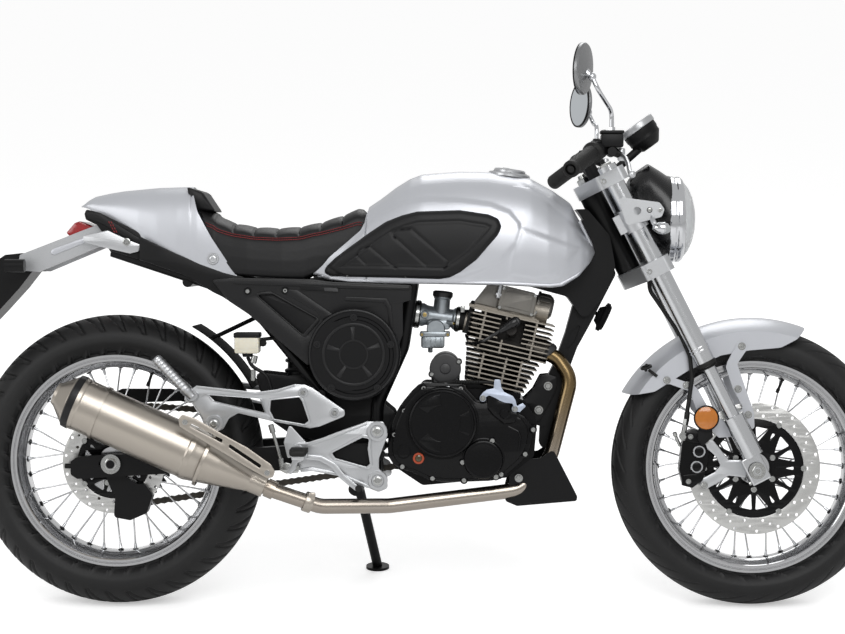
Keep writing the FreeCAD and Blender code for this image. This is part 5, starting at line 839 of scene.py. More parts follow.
def wheels():
    """Both tyres, rims, sets of nipples and discs, and the nuts on the axles."""
    rear_tread = tread(REAR_RADIUS, count=40, start=7.0, end=66.0, sweep=-0.95, width=6.6, depth=4.6,
                       grooves=((1, 0.0, 1.0), (0.55, 0.45, 0.55)), centre_line=0)
    tyre("rear_tyre", "rear_wheel", REAR_AXLE, REAR_RADIUS, REAR_TYRE_HALF, REAR_RIM_HALF, rear_tread)
    front_tread = tread(FRONT_RADIUS, count=34, start=18.0, end=53.0, sweep=1.3, width=5.4, depth=3.8,
                        grooves=((1, 0.0, 1.0),), centre_line=2.6)
    tyre("front_tyre", "front_wheel", FRONT_AXLE, FRONT_RADIUS, FRONT_TYRE_HALF, FRONT_RIM_HALF, front_tread)
    rim("rear_rim", "rear_wheel", REAR_AXLE, REAR_RIM_HALF)
    rim("front_rim", "front_wheel", FRONT_AXLE, FRONT_RIM_HALF)
    nipples("rear", "rear_wheel", REAR_AXLE, REAR_FLANGE)
    nipples("front", "front_wheel", FRONT_AXLE, FRONT_FLANGE)
    brake_disc("front_disc", "front_wheel", FRONT_AXLE, FRONT_DISC_PLANE, FRONT_DISC_RADIUS,
               ring_width=35.0, groups=18, rows=3, arms=6, bore=DISC_BORE)
    brake_disc("rear_disc", "rear_wheel", REAR_AXLE, REAR_DISC_PLANE, REAR_DISC_RADIUS,
               ring_width=32.0, groups=16, rows=3, arms=5, bore=DISC_BORE)
    axle_end("front_axle_nuts", "steering", FRONT_AXLE, y=126.0, radius=12.0)
    axle_end("rear_axle_nuts", "chassis", REAR_AXLE, y=137.0, radius=14.0)


wheels()


# Fork, bars and lamp
LAMP = HEAD + Vector((93.0, 0, 101.0))
LAMP_RADIUS = 91.0
BAR_END = HEAD + Vector((-138.7, 372.0, 198.2))
BAR_BEND = HEAD + Vector((-81.7, 245.5, 240.7))
INWARD = (BAR_BEND - BAR_END).normalized()
FORK_LEAD = 50.0
FORK_SPREAD = 100.0


def lofted(rings):
    """A closed skin through rings that have the same number of points each."""
    count = len(rings[0])
    verts = [tuple(Vector(point) * MM) for ring in rings for point in ring]
    faces = []
    for row in range(len(rings) - 1):
        for index in range(count):
            beside = (index + 1) % count
            faces.append((row * count + index, row * count + beside,
                          (row + 1) * count + beside, (row + 1) * count + index))
    faces.append(tuple(reversed(range(count))))
    faces.append(tuple((len(rings) - 1) * count + index for index in range(count)))
    return cleaned(mesh_object(verts, faces), 0.01)


def headlight():
    """The lamp: a black housing swept back between the fork tubes, stepped ring, bowl, bulb and glass."""
    stations = ((0.00, 0.00, 1.02, 1.03, 2.0), (0.10, 0.02, 1.01, 1.03, 2.1), (0.28, 0.12, 0.96, 1.05, 2.3),
                (0.55, 0.30, 0.80, 1.03, 2.8), (0.80, 0.34, 0.74, 0.82, 3.0), (0.98, 0.35, 0.68, 0.63, 3.0),
                (1.02, 0.35, 0.60, 0.56, 3.0))
    rings = []
    for back, lift, wide, tall, power in stations:
        ring = []
        for index in range(64):
            turn = 2 * math.pi * index / 64
            c, s = math.cos(turn), math.sin(turn)
            reach = (abs(c) ** power + abs(s) ** power) ** (-1 / power)
            ring.append(LAMP + Vector((-back * LAMP_RADIUS, wide * LAMP_RADIUS * reach * c,
                                       (lift + tall * reach * s) * LAMP_RADIUS)))
        rings.append(ring)
    shell = modified(lofted(rings), "BEVEL", width=3 * MM, segments=3, limit_method="ANGLE",
                     angle_limit=math.radians(50))
    lay_over(shell, "headlight_shell", "black_lamp_paint", "steering", ("headlight",), smooth=50)
    ring = turned([(-8, 84), (-8, 92.6), (-5, 93.6), (4, 93.6), (7, 91.6), (10, 91.6), (12, 93.0), (18, 92.6),
                   (24, 88.0), (26, 84.0), (25, 81.5), (20, 82.0), (20, 84)], LAMP, X, 96, 1.0, True)
    lay_over(ring, "headlight_ring", "chrome", "steering", smooth=30)
    glass = turned([(22, 82.5), (29, 79.5), (38, 68), (46, 50), (51.5, 28), (53, 0), (50.4, 0), (49, 27),
                    (43.6, 48), (36, 65.5), (27, 77), (20, 80.5)], LAMP, X, 64)
    lay_over(glass, "headlight_glass", "clear_glass", "steering", smooth=60)
    bowl = turned([(20, 81.5), (12, 74), (0, 62), (-14, 45), (-24, 26), (-28, 14), (-28, 9), (-30, 9),
                   (-30, 15), (-26, 28), (-15, 48), (-2, 65), (10, 77), (18, 83)], LAMP, X, 64)
    lay_over(bowl, "headlight_bowl", "reflector", "steering", smooth=60)
    bulb = [turned([(-30, 0), (-30, 9), (-18, 9), (-16, 6.5), (-6, 6.5), (-1, 4), (0, 0)], LAMP, X, 20),
            turned([(6, 0), (6, 14), (8, 15), (16, 13), (18, 9), (18, 0)], LAMP, X, 24)]
    lay_over(bulb, "headlight_bulb", "zinc_bolt", "steering")
    screws = [cap_bolt(LAMP + Vector((-24, side * 88.5, 22)), Y * side, 5.5, 3.5) for side in (1, -1)]
    lay_over(screws, "headlight_screws", "black_plastic", "steering")


def indicators():
    """Front indicators: bright bullet bodies with a lens on the front half."""
    reach, radius = 35.9, 12.9
    way = Vector((1, 0, -0.12)).normalized()
    for side, hand in ((1, "left"), (-1, "right")):
        at = LAMP + Vector((-50.0, side * 148.8, -18.2))
        body = turned([(-1, 0), (-1, 3), (1.5, 6.8), (reach * 0.3, radius * 0.9),
                       (reach * 0.56, radius * 1.02), (reach * 0.62, radius * 1.03), (reach * 0.62, 0)], at,
                      way, 32)
        rim = turned([(reach * 0.56, radius * 0.8), (reach * 0.56, radius * 1.07),
                      (reach * 0.64, radius * 1.07), (reach * 0.66, radius * 0.98),
                      (reach * 0.6, radius * 0.8)], at, way, 32, 0, True)
        stalk = rod(at + Vector((0, -side * 25, 14)), at + way * 8, 5.2)
        lay_over([body, rim, stalk], "front_indicator_" + hand, "chrome", "steering")
        glass = turned([(reach * 0.62, 0), (reach * 0.62, radius * 0.97), (reach * 0.8, radius * 0.86),
                        (reach * 0.98, radius * 0.52), (reach * 1.06, 0)], at, way, 32)
        lay_over(glass, "front_indicator_lens_" + hand, "smoke_lens", "steering")
        screws = [cap_bolt(LAMP + Vector((ahead, side * 126.4, above)), Y * side, 4.6, 2.6)
                  for ahead, above in ((-33, 18.5), (-55.5, 18.5))]
        lay_over(screws, "lamp_bracket_screws_" + hand, "zinc_bolt", "steering")


def gauge():
    """The clock: a waisted black can, a bright ring, a dial with plain marks, a needle and a glass."""
    tilt = math.radians(36)
    up = Vector((-math.sin(tilt), 0, math.cos(tilt)))
    face = HEAD + Vector((16.4, 0, 307.6))
    foot = fork(30, 0, 187)
    can = turned([(-2, 0), (-2, 37.5), (-12, 38.6), (-26, 38.4), (-30, 36.8), (-34, 36.8), (-38, 37.0),
                  (-46, 31), (-58, 22), (-60, 18), (-60, 0)], face, up, 64)
    arm = rod(foot, face - up * 46, 8.6)
    lay_over([can, arm], "gauge_can", "black_plastic", "steering", ("gauge",))
    ring = turned([(-14, 37), (-14, 40.6), (-12, 41.0), (-2, 41.0), (0, 40), (0.2, 37.6), (-1.4, 36.8),
                   (-4, 36.8)], face, up, 64, 0.5, True)
    lay_over(ring, "gauge_ring", "satin_alloy", "steering")
    dial = turned([(-4.4, 0), (-4.4, 36.9), (-3.4, 36.9), (-3.4, 0)], face, up, 48)
    lay_over(dial, "gauge_dial", "dial_face", "steering")
    right = Y.cross(up).normalized()

    def outward(degrees):
        turn = math.radians(degrees)
        return (right * math.cos(turn) + Y * math.sin(turn)) * -1

    first_mark, sweep, count = -130, 260, 24
    marks = []
    for index in range(count + 1):
        out = outward(first_mark + index * sweep / count)
        long_mark = index % 4 == 0
        marks.append(rod(face - up * 3.3 + out * (26 if long_mark else 29), face - up * 3.3 + out * 33,
                         0.75 if long_mark else 0.45, 0.1, 6))
    lay_over(marks, "gauge_marks", "white_print", "steering")
    out = outward(first_mark)
    needle = joined([rod(face - up * 2.3 - out * 6, face - up * 2.3 + out * 27, 0.8, 0.2, 8),
                     rod(face - up * 3.2, face - up * 1.6, 3.6, 0.5, 20)])
    lay_over(needle, "gauge_needle", "red_lens", "steering")
    glass = turned([(-1.6, 0), (-1.6, 37.2), (-0.4, 37.2), (0.2, 20), (0.4, 0)], face, up, 48)
    lay_over(glass, "gauge_glass", "clear_glass", "steering")


def hand_side(side, point):
    """The same place on the rider's left (1) or right (-1)."""
    return Vector((point[0], point[1] * side, point[2]))


def controls():
    """Grips, switch blocks, perches, levers and the brake fluid box."""
    for side, hand in ((1, "left"), (-1, "right")):
        end = hand_side(side, BAR_END)
        inward = hand_side(side, INWARD)
        ribs = [(-10, 0), (-10, 7), (-2, 7), (-2, 12), (-11, 12), (-11, 15.5), (-9, 17.4), (-4, 17.5)]
        for index in range(20):
            at = 2 + index * 5.2
            ribs += [(at, 17.4), (at + 0.5, 16.5), (at + 1.5, 16.5), (at + 2.0, 17.4)]
        ribs += [(112, 17.4), (114, 19.5), (118, 22.6), (123, 22.8), (127, 20), (128, 12), (128, 0)]
        lay_over(turned(ribs, end, inward, 40), "grip_" + hand, "soft_rubber", "steering", ("grips",),
                 smooth=30)
        start = end + inward * 128.3
        housing = turned([(0, 11.2), (0, 20.5), (1.5, 21.6), (13, 21.6), (13.6, 20.8), (14.6, 20.8),
                          (15.2, 21.6), (27, 21.6), (28.6, 19.5), (28.6, 11.2)], start, inward, 40, 0, True)
        perch = start + inward * 22
        knuckle = perch + Vector((48.4, 0, -11))
        clamp = pipe([perch + Vector((12, 0, 0)), perch + Vector((30, 0, -4)), knuckle], 9.5, 20, 20)
        rocker = block(start + inward * 9 + Vector((-6, -5, 19)), start + inward * 9 + Vector((6, 5, 25)), 2)
        parts = [housing, clamp, rocker]
        if side < 0:
            middle = perch + Vector((28.6, -4, 20))
            tank = block(middle - Vector((23, 19, 17)), middle + Vector((23, 19, 11)), 4)
            lid = block(middle + Vector((-24.5, -20.5, 11)), middle + Vector((24.5, 20.5, 18)), 2.5)
            barrel = rod(perch + Vector((28, 22, -6)), perch + Vector((28, -26, -6)), 10)
            parts += [tank, lid, barrel]
            screws = [cap_bolt(middle + Vector((x, y, 18)), Z, 3.2, 1.6) for x, y in ((17, 13), (-17, -13))]
            lay_over(screws, "fluid_box_screws", "zinc_bolt", "steering")
            glass = turned([(0, 0), (0, 7), (1, 7.4), (1.6, 6), (1.6, 0)], middle + Vector((-23, 0, -4)),
                           -X, 20)
            lay_over(glass, "fluid_box_window", "clear_glass", "steering")
        else:
            parts.append(rod(knuckle + Vector((-6, -6, 2)), knuckle + Vector((-10, -42, 4)), 5.5))
            parts.append(rod(perch + Vector((20, 0, 0)), perch + Vector((24, 0, 22)), 7.5))
        lay_over(parts, "switch_block_" + hand, "black_plastic", "steering", ("bar_controls",))
        tip = end + Vector((121, 0, -11)) - inward * 6.6
        across = (tip - knuckle).normalized()
        out = Vector((across.y * side, -across.x * side, 0)).normalized() * 5
        blade = pipe([knuckle, knuckle.lerp(tip, 0.2) + out, knuckle.lerp(tip, 0.55) + out * 0.6,
                      knuckle.lerp(tip, 0.9) - out * 0.4, tip], 5.0, 40, 16)
        ball = turned([(-8, 0), (-7.2, 3.5), (-4, 7), (0, 8), (4, 7), (7.2, 3.5), (8, 0)], tip, across, 24)
        pivot = turned([(-13, 0), (-13, 6.5), (-11, 8), (11, 8), (13, 6.5), (13, 0)], knuckle, Z, 24)
        lay_over([blade, ball, pivot], "lever_" + hand, "satin_alloy", "steering", smooth=45)


def mirrors():
    """Round mirrors on bent stems: a turned back, a dark rim and the silvered glass."""
    root = BAR_END + INWARD * 150 + Vector((28.6, 0, 35.5))
    for side, back, up, hand in ((-1, 119.0, 402.0, "right"), (1, 88.0, 372.0, "left")):
        foot = hand_side(side, root)
        middle = Vector((HEAD.x - back, side * 310.0, HEAD.z + up))
        way = Vector((-1, -side * 0.38, 0.06)).normalized()
        joint = middle - way * 24 - Z * 15.9
        stem = pipe([foot, foot + Z * 42.4, joint - Z * 26.5 - way * 13.2, joint], 4.7, 26.5, 16, 8)
        nut = turned([(0, 0), (0, 8), (9, 8), (10, 7), (10, 0)], foot, Z, 6)
        ball = turned([(-9, 0), (-7.5, 5), (-3, 8.4), (3, 8.4), (7.5, 5), (9, 0)], joint, Z, 24)
        neck = turned([(-1, 0), (-1, 6.5), (8, 6.5), (14, 9), (19, 9), (19, 0)], joint, middle - joint, 24)
        lay_over([stem, nut, ball, neck], "mirror_stem_" + hand, "chrome", "steering", ("mirrors",))
        shell = turned([(-0.5, 49.5), (0.4, 51.6), (-2, 52.8), (-8, 52.8), (-10.5, 50.5), (-12.5, 40),
                        (-14.5, 22), (-15.6, 9), (-15.8, 0), (-12, 0), (-9, 40), (-6, 49.5)], middle,
                       way, 72)
        lay_over(shell, "mirror_shell_" + hand, "satin_shell", "steering", smooth=35)
        rim = turned([(-3, 52.9), (0.6, 52.6), (1.0, 50.0), (0.4, 48.6), (-1, 48.6)], middle, way, 72,
                     0.4, True)
        lay_over(rim, "mirror_rim_" + hand, "black_plastic", "steering")
        glass = turned([(-1, 0), (-1, 49), (0, 49), (0, 0)], middle, way, 64)
        lay_over(glass, "mirror_glass_" + hand, "mirror_glass", "steering")


def fork_details():
    """Clamp bolts, the stem nut, dust seals with their clips, and the bolts of the axle clamps."""
    bolts, seals, rings = [], [], []
    for side in (1, -1):
        leg = side * FORK_SPREAD
        for along in (187.0, -27.0):
            bolts.append(cap_bolt(fork(28, side * 131, along), Y * side, 6.0, 3.0))
        bolts.append(turned([(0, 0), (0, 14), (5, 14), (6.5, 11), (6.5, 6), (3, 5), (3, 0)],
                            fork(FORK_LEAD, leg, 214), FORK_UP, 6))
        bolts.append(cap_bolt(fork(41.8 - 23, leg, -528), -FORK_AHEAD, 5.0, 4.0))
        seals.append(turned([(0, 14.6), (0, 21.0), (3, 21.6), (8, 21.6), (10, 20.6), (10, 14.6)],
                            fork(FORK_LEAD, leg, -263), FORK_UP, 40, 0, True))
        seals.append(turned([(0, 14.7), (0, 20.4), (3, 20.4), (4, 17), (4, 14.7)],
                            fork(FORK_LEAD, leg, -268), FORK_UP, 40, 0, True))
        for along in (-229.0, -222.0):
            rings.append(turned([(0, 20.3), (0, 21.6), (1, 22.0), (3, 22.0), (4, 21.6), (4, 20.3)],
                                fork(FORK_LEAD, leg, along), FORK_UP, 40, 0, True))
    bolts.append(turned([(0, 0), (0, 17), (10, 17), (12, 14), (12, 0)], fork(0, 0, 202), FORK_UP, 6))
    bolts.append(turned([(12, 0), (12, 10), (19, 9), (20, 6), (20, 0)], fork(0, 0, 202), FORK_UP, 24))
    lay_over(bolts, "clamp_bolts", "zinc_bolt", "steering", smooth=30)
    lay_over(seals, "fork_dust_seals", "soft_rubber", "steering", smooth=30)
    lay_over(rings, "fork_tube_beads", "fork_alloy", "steering", smooth=30)


def front_brake():
    """Caliper with its pistons' rings, its bright bracket, hoses, fittings and the side reflector."""
    x, z = FRONT_AXLE.x, FRONT_AXLE.z
    body = plate([(1219, 352), (1224, 378), (1243, 388), (1268, 381), (1277, 352), (1274, 318), (1262, 276),
                  (1240, 262), (1221, 268), (1213, 300)], -88, -45, 6, 2.0)
    gap = turned([(-3.6, 0), (-3.6, 145.5), (3.6, 145.5), (3.6, 0)], (x, FRONT_DISC_PLANE, z), Y, 96)
    body = carved(body, gap)
    bridge = plate([(1222, 366), (1228, 381), (1243, 386), (1262, 380), (1268, 352), (1254, 358),
                    (1236, 360)], -93, -88, 3, 1.2)
    lower = plate([(1217, 268), (1240, 262), (1262, 278), (1270, 300), (1244, 292), (1220, 290)], -93,
                  -88, 3, 1.2)
    lay_over([body, bridge, lower], "front_caliper", "black_engine_paint", "steering", ("front_brake",))
    rings, caps = [], []
    for px, pz in ((1255, 340), (1250, 307)):
        rings.append(turned([(0, 9.5), (0, 13.2), (3.4, 13.2), (4.2, 12.4), (4.2, 10.2), (3.4, 9.5)],
                            (px, -87.5, pz), -Y, 40, 0, True))
        caps.append(turned([(0, 0), (0, 9.6), (1.6, 9.4), (2.6, 7), (2.6, 0)], (px, -87.5, pz), -Y, 32))
        caps.append(turned([(-1, 12), (-1, 17), (2.6, 16.4), (2.6, 12)], (px, -87.5, pz), -Y, 32, 0, True))
    lay_over(rings, "front_caliper_rings", "chrome", "steering")
    lay_over(caps, "front_caliper_caps", "black_engine_paint", "steering")
    bracket = plate([(1262, 372), (1276, 374), (1290, 358), (1318, 322), (1352, 322), (1356, 284),
                     (1318, 288), (1294, 272), (1268, 258), (1256, 268), (1262, 282), (1288, 296),
                     (1300, 310), (1292, 328), (1272, 346)], -90, -78, 5, 2.2)
    lay_over(bracket, "front_caliper_bracket", "satin_alloy", "steering")
    bolts = [bolt(place, -Y, 6.5, 4) for place in ((1268, -90, 364), (1266, -90, 268))]
    bolts += [bolt((1236, -93, 372), -Y, 4.5, 4), bolt((1232, -93, 276), -Y, 4.5, 4)]
    banjo = turned([(-7, 0), (-7, 8.5), (7, 8.5), (7, 0)], (1221, -82, 372), Y, 24)
    banjo = joined([banjo, bolt((1221, -89, 372), -Y, 7, 5), rod((1221, -82, 372), (1226, -83, 398), 5.5),
                    rod((1226, -83, 396), (1228, -83, 410), 6.6, 1, 6)])
    bleed = joined([rod((1216, -70, 350), (1206, -76, 372), 3.4),
                    rod((1206, -76, 372), (1203, -78, 380), 4.6)])
    lay_over(bolts + [banjo, bleed], "front_caliper_fittings", "zinc_bolt", "steering", smooth=30)

    shares = ((-0.742, 0.62, 1.265), (-0.636, 0.70, 1.109), (-0.526, 0.84, 0.940), (-0.464, 0.85, 0.801),
              (-0.447, 0.85, 0.646), (-0.480, 0.83, 0.414), (-0.485, 0.83, 0.345))
    route = [Vector((x + ahead * FRONT_RADIUS, -aside * FORK_SPREAD, z + above * FRONT_RADIUS))
             for ahead, aside, above in shares]
    hose = pipe([fork(25, -60, -44)] + route, 4.6, 34, 20, 8)
    collar = rod(Vector((1228, -83, 404)), Vector((1230, -83, 424)), 6.0)
    lay_over([hose, collar], "front_brake_hose", "soft_rubber", "steering", ("front_brake",), smooth=50)
    at = Vector((1268.5, -97, 412.8))
    arm = plate([(1258, 424), (1276, 424), (1284, 372), (1262, 352), (1250, 368)], -97, -92, 4, 1.0)
    cup = turned([(-0.5, 0), (-0.5, 26.2), (7, 27.4), (8.4, 27.0), (8.4, 24.6), (5, 24.2), (5, 0)], at,
                 -Y, 48)
    lay_over([arm, cup], "side_reflector_frame", "black_plastic", "steering")
    glass = turned([(5, 0), (5, 24.4), (7.4, 24.2), (8.6, 22), (9.2, 0)], at, -Y, 48)
    lay_over(glass, "side_reflector_lens", "amber_lens", "steering")


def fender_details():
    """Bolts of the fender's stays, and the cable ring on its side."""
    bolts = []
    for px, pz in ((1347, 565), (1339, 473), (1361, 418), (1187, 492), (1229, 481)):
        for side in (1, -1):
            bolts.append(cap_bolt((px, side * 75.4, pz), Y * side, 6.2, 3.2))
            bolts.append(turned([(-0.2, 0), (-0.2, 8.4), (0.8, 8.4), (0.8, 0)], (px, side * 75.4, pz),
                                Y * side, 20))
    lay_over(bolts, "fender_bolts", "zinc_bolt", "steering", smooth=30)
    loops = [turned([(-2.5, 9), (-2.5, 12.5), (2.5, 12.5), (2.5, 9)], (1142, -82, 520),
                    Vector((0.3, 0.2, -1)), 32, 1.0, True),
             rod((1142, -72, 512), (1142, -92, 526), 3.2), rod((1148, -73, 514), (1166, -76, 500), 3.4)]
    lay_over(loops, "fender_cable_ring", "soft_rubber", "steering")


headlight()
indicators()
gauge()
controls()
mirrors()
fork_details()
front_brake()
fender_details()


# Engine
TILT = math.radians(13)
BORE = Vector((817, 0, 474))
BORE_UP = Vector((math.sin(TILT), 0, math.cos(TILT)))
BORE_AHEAD = Vector((math.cos(TILT), 0, -math.sin(TILT)))
COVER_FACE = -118.0
CLUTCH = (706.5, 403)
ROUND_CAP = (793, 326)
STARTER = (712, 517)
STARTER_EARS = ((741, 532), (683, 505))
GENERATOR = (739, 404)


def bore(ahead, y, along):
    """A point measured in the tilted cylinder's own directions from the barrel's foot."""
    return BORE + BORE_AHEAD * ahead + Y * y + BORE_UP * along


def tilted(outline):
    """Outline points given as ahead and along the cylinder, as (x, z) on the bike."""
    return [(bore(ahead, 0, along).x, bore(ahead, 0, along).z) for ahead, along in outline]


def scaled(outline, share, centre):
    """An outline drawn towards a centre."""
    return [(centre[0] + (x - centre[0]) * share, centre[1] + (z - centre[1]) * share) for x, z in outline]


def sector(centre, inner, outer, middle, half):
    """The outline of a ring's part between two angles in degrees."""
    angles = [math.radians(middle - half + half * step / 4) for step in range(9)]
    near = [(centre[0] + inner * math.cos(a), centre[1] + inner * math.sin(a)) for a in angles]
    far = [(centre[0] + outer * math.cos(a), centre[1] + outer * math.sin(a)) for a in reversed(angles)]
    return near + far


def clutch_side():
    """The right cover with its clutch drum, round cap, release housing, sight glass, screws and bracket."""
    outline = [(589, 353), (591, 375), (597, 397), (605, 418), (615, 438), (628, 455), (642, 472), (655, 484),
               (668, 489), (748, 486), (764, 470), (781, 451), (805, 452), (846, 442), (863, 427), (882, 416),
               (895, 399), (899, 383), (895, 358), (887, 337), (874, 320), (849, 298), (830, 283), (805, 279),
               (748, 277), (704, 278), (677, 281), (642, 297), (617, 305), (601, 315), (591, 331)]
    lugs = [(666, 477), (745, 476), (792, 456), (859, 434), (899, 389), (882, 337), (831, 294), (752, 281),
            (685, 285), (621, 310), (604, 378), (625, 429)]
    centre = (745, 382)
    pieces = [plate(outline, COVER_FACE, -92.6, 8, 2.4),
              plate(scaled(outline, 0.935, centre), -126, COVER_FACE + 1, 14, 4.0)]
    pieces += [rod((x, -93.5, z), (x, -121, z), 8.5, 1.6, 16) for x, z in lugs]
    drum_foot = (CLUTCH[0], COVER_FACE, CLUTCH[1])
    wall = turned([(0, 77), (0, 79), (7.5, 78), (8.5, 77), (8.5, 75), (6, 74)], drum_foot, -Y, 72)
    drum = turned([(0, 0), (0, 73.5), (19, 73), (21.5, 71), (22, 69), (21, 67), (19.5, 66), (19.5, 0)],
                  drum_foot, -Y, 72)
    panels = [plate(sector(CLUTCH, 38, 62, middle, 26), -139.2, -137, 4, 0.9) for middle in (0, 120, 240)]
    cap = turned([(0, 0), (0, 47), (8, 46), (9, 44.5), (9, 42.4), (17, 41.6), (20, 40), (21.4, 36.5),
                  (20.6, 33), (20.6, 0)], (ROUND_CAP[0], COVER_FACE, ROUND_CAP[1]), -Y, 56)
    boss_places = ((812, 366), (748.7, 320), (820, 289))
    bosses = [rod((x, COVER_FACE, z), (x, -127.5, z), 8, 1.5, 16) for x, z in boss_places]
    housing = plate([(800, 466), (818, 468), (824, 452), (848, 449), (852, 430), (868, 424), (860, 405),
                     (838, 402), (815, 420), (802, 436)], -135, -117, 6, 3.0)
    barrel = rod((838, -120, 424), (838, -140, 424), 11, 2, 24)
    ridge = pipe([(846, -124, 396), (868, -126, 385), (872, -126, 374), (868, -125, 345)], 2.6, 10, 12)
    small = turned([(0, 0), (0, 17), (6, 16.5), (7.5, 15), (7.5, 12.5), (6.2, 11.5), (6.2, 0)],
                   (624, COVER_FACE - 1, 342), -Y, 32)
    lay_over(pieces + [wall, drum, cap, housing, barrel, ridge, small] + panels + bosses,
             "clutch_cover_casting", "black_engine_paint", replaced=("clutch_cover",))
    screws = [cap_bolt((x, -121, z), -Y, 5.2, 4.6) for x, z in lugs]
    screws += [cap_bolt((x, -127.5, z), -Y, 5.4, 4.6) for x, z in boss_places]
    lay_over(screws, "engine_cover_screws", "zinc_bolt")
    edge = turned([(20.2, 71.6), (21.9, 70.6), (22.5, 69.1), (21.8, 67.8), (20.6, 67.2)], drum_foot, -Y, 72)
    lay_over(edge, "clutch_drum_edge", "black_engine_paint")
    sight = (655.5, -125.5, 328)
    seal = turned([(0, 7.5), (0, 12), (4, 12), (5, 11), (5, 8.5), (4, 7.5)], sight, -Y, 32)
    lay_over(seal, "sight_glass_seal", "orange_rubber")
    eye = turned([(0, 0), (0, 7.4), (3, 7.4), (3.6, 6.5), (3.6, 0)], sight, -Y, 24)
    lay_over(eye, "sight_glass", "oil_glass")
    filler = turned([(0, 0), (0, 9), (5, 9), (6.5, 7.5), (6.5, 0)], (713, -110, 479), -Y, 24)
    bar = block((704, -122, 475.5), (722, -114, 481.5), 1.5)
    lay_over([filler, bar], "oil_filler_plug", "satin_alloy")
    bracket = plate([(787, 452), (786, 461), (792, 469), (800, 475), (815, 478), (816, 495), (819, 497),
                     (829, 496), (831, 480), (837, 470), (856, 461), (861, 453), (864, 440), (876, 447),
                     (883, 440), (870, 427), (862, 430), (854, 446), (840, 447), (829, 451), (819, 457),
                     (805, 463), (796, 458), (792, 450)], -138, -134.5, 2.5, 0.6)
    feet = [rod((x, -120, z), (x, -137, z), 7.0, 1.0, 20) for x, z in ((792, 456), (860, 434))]
    lay_over([bracket] + feet, "cable_bracket", "zinc_plate")
    heads = [bolt((x, -138, z), -Y, 5.0, 4.2) for x, z in ((792, 457), (860, 434))]
    lay_over(heads, "cable_bracket_bolts", "zinc_bolt")


def starter():
    """The starter motor across the case, with its end cover and screws, and the ribbed hose before it."""
    x, z = STARTER
    body = rod((x, -84, z), (x, 62, z), 31.5, 3, 48)
    face = turned([(0, 0), (0, 34), (5, 34), (7, 32), (7.6, 29), (7, 12), (8.4, 11), (9.2, 9.5), (9.2, 0)],
                  (x, -82, z), -Y, 48)
    lugs = [rod((x, -80, z), (x, -90, z), 7.5, 1.2, 16) for x, z in STARTER_EARS]
    posts = [block((687, -88, 478), (697, -72, 502), 2), block((729, -88, 478), (739, -72, 500), 2)]
    lay_over([body, face] + lugs + posts, "starter_motor", "grey_casting")
    heads = [cap_bolt((x, -90, z), -Y, 4.4, 3.6) for x, z in STARTER_EARS]
    lay_over(heads, "starter_screws", "zinc_bolt")
    coil = [turned([(0, 3.4), (1.1, 5.2), (2.4, 5.2), (3.4, 3.4)], (727 + step * 3.5, -112, 489.5), X, 12)
            for step in range(17)]
    hose = pipe([(700, -104, 486), (727, -112, 489.5), (788, -112, 489.5), (812, -104, 488)], 3.4, 12, 12)
    lay_over(coil + [hose], "breather_hose", "soft_rubber")


def generator_side():
    """The left cover: the generator's ribbed dome, and the lugs and screws round the edge."""
    rotor = turned([(0, 0), (0, 60.5), (9, 60), (14, 56), (16.4, 48), (17, 44), (15.6, 42), (15.6, 0)],
                   (GENERATOR[0], 116, GENERATOR[1]), Y, 64)
    ribs = [plate(sector(GENERATOR, 14, 40, middle, 16), 130.6, 133.6, 3, 0.9)
            for middle in range(30, 390, 60)]
    lay_over([rotor] + ribs, "generator_dome", "black_engine_paint")
    places = [(666, 470), (745, 470), (800, 446), (862, 424), (884, 384), (868, 330), (812, 294),
              (750, 292), (690, 292)]
    lugs = [rod((x, 100, z), (x, 117, z), 8.0, 1.4, 16) for x, z in places]
    lay_over(lugs, "generator_cover_lugs", "black_engine_paint")
    screws = [cap_bolt((x, 117, z), Y, 5.0, 4.4) for x, z in places]
    lay_over(screws, "generator_cover_screws", "zinc_bolt")


def paint_shade_between_fins():
    """Painted shade on the fins: leaves their rims in the bare alloy and gives what lies between and behind
    them, and the recess round the spark plug, a near-black painted-shade finish.
    """
    axis = STANCE.to_3x3() @ BORE_UP
    fins_top, plug_ahead = 158, 9
    for label, half_width, reach in (("cylinder_barrel", 60.0, 62.0), ("cylinder_head", 66.0, 70.0)):
        half_width = min(half_width, max(abs(place.y) for place in built_places(label)))
        mesh = frame["nodes"][label].data
        # painted shade: a near-black finish for the faces between and behind the fins
        mesh.materials.append(MATERIALS["sooty_alloy"])
        for face in mesh.polygons:
            place = TO_BIKE @ face.center / MM - BORE
            ahead, along = place.dot(BORE_AHEAD), place.dot(BORE_UP)
            if along > fins_top:
                continue
            # painted shade masks: the fins' flat faces, the core between the fins, and the recess round the
            # plug
            level = abs(face.normal.dot(axis)) > 0.8
            deep = abs(place.y) < half_width * 0.88 and -reach < ahead < reach
            plug = (label == "cylinder_head" and place.y < -50 and abs(ahead - plug_ahead) < 15
                    and 96 < along < 140)
            if level or deep or plug:
                face.material_index = len(mesh.materials) - 1


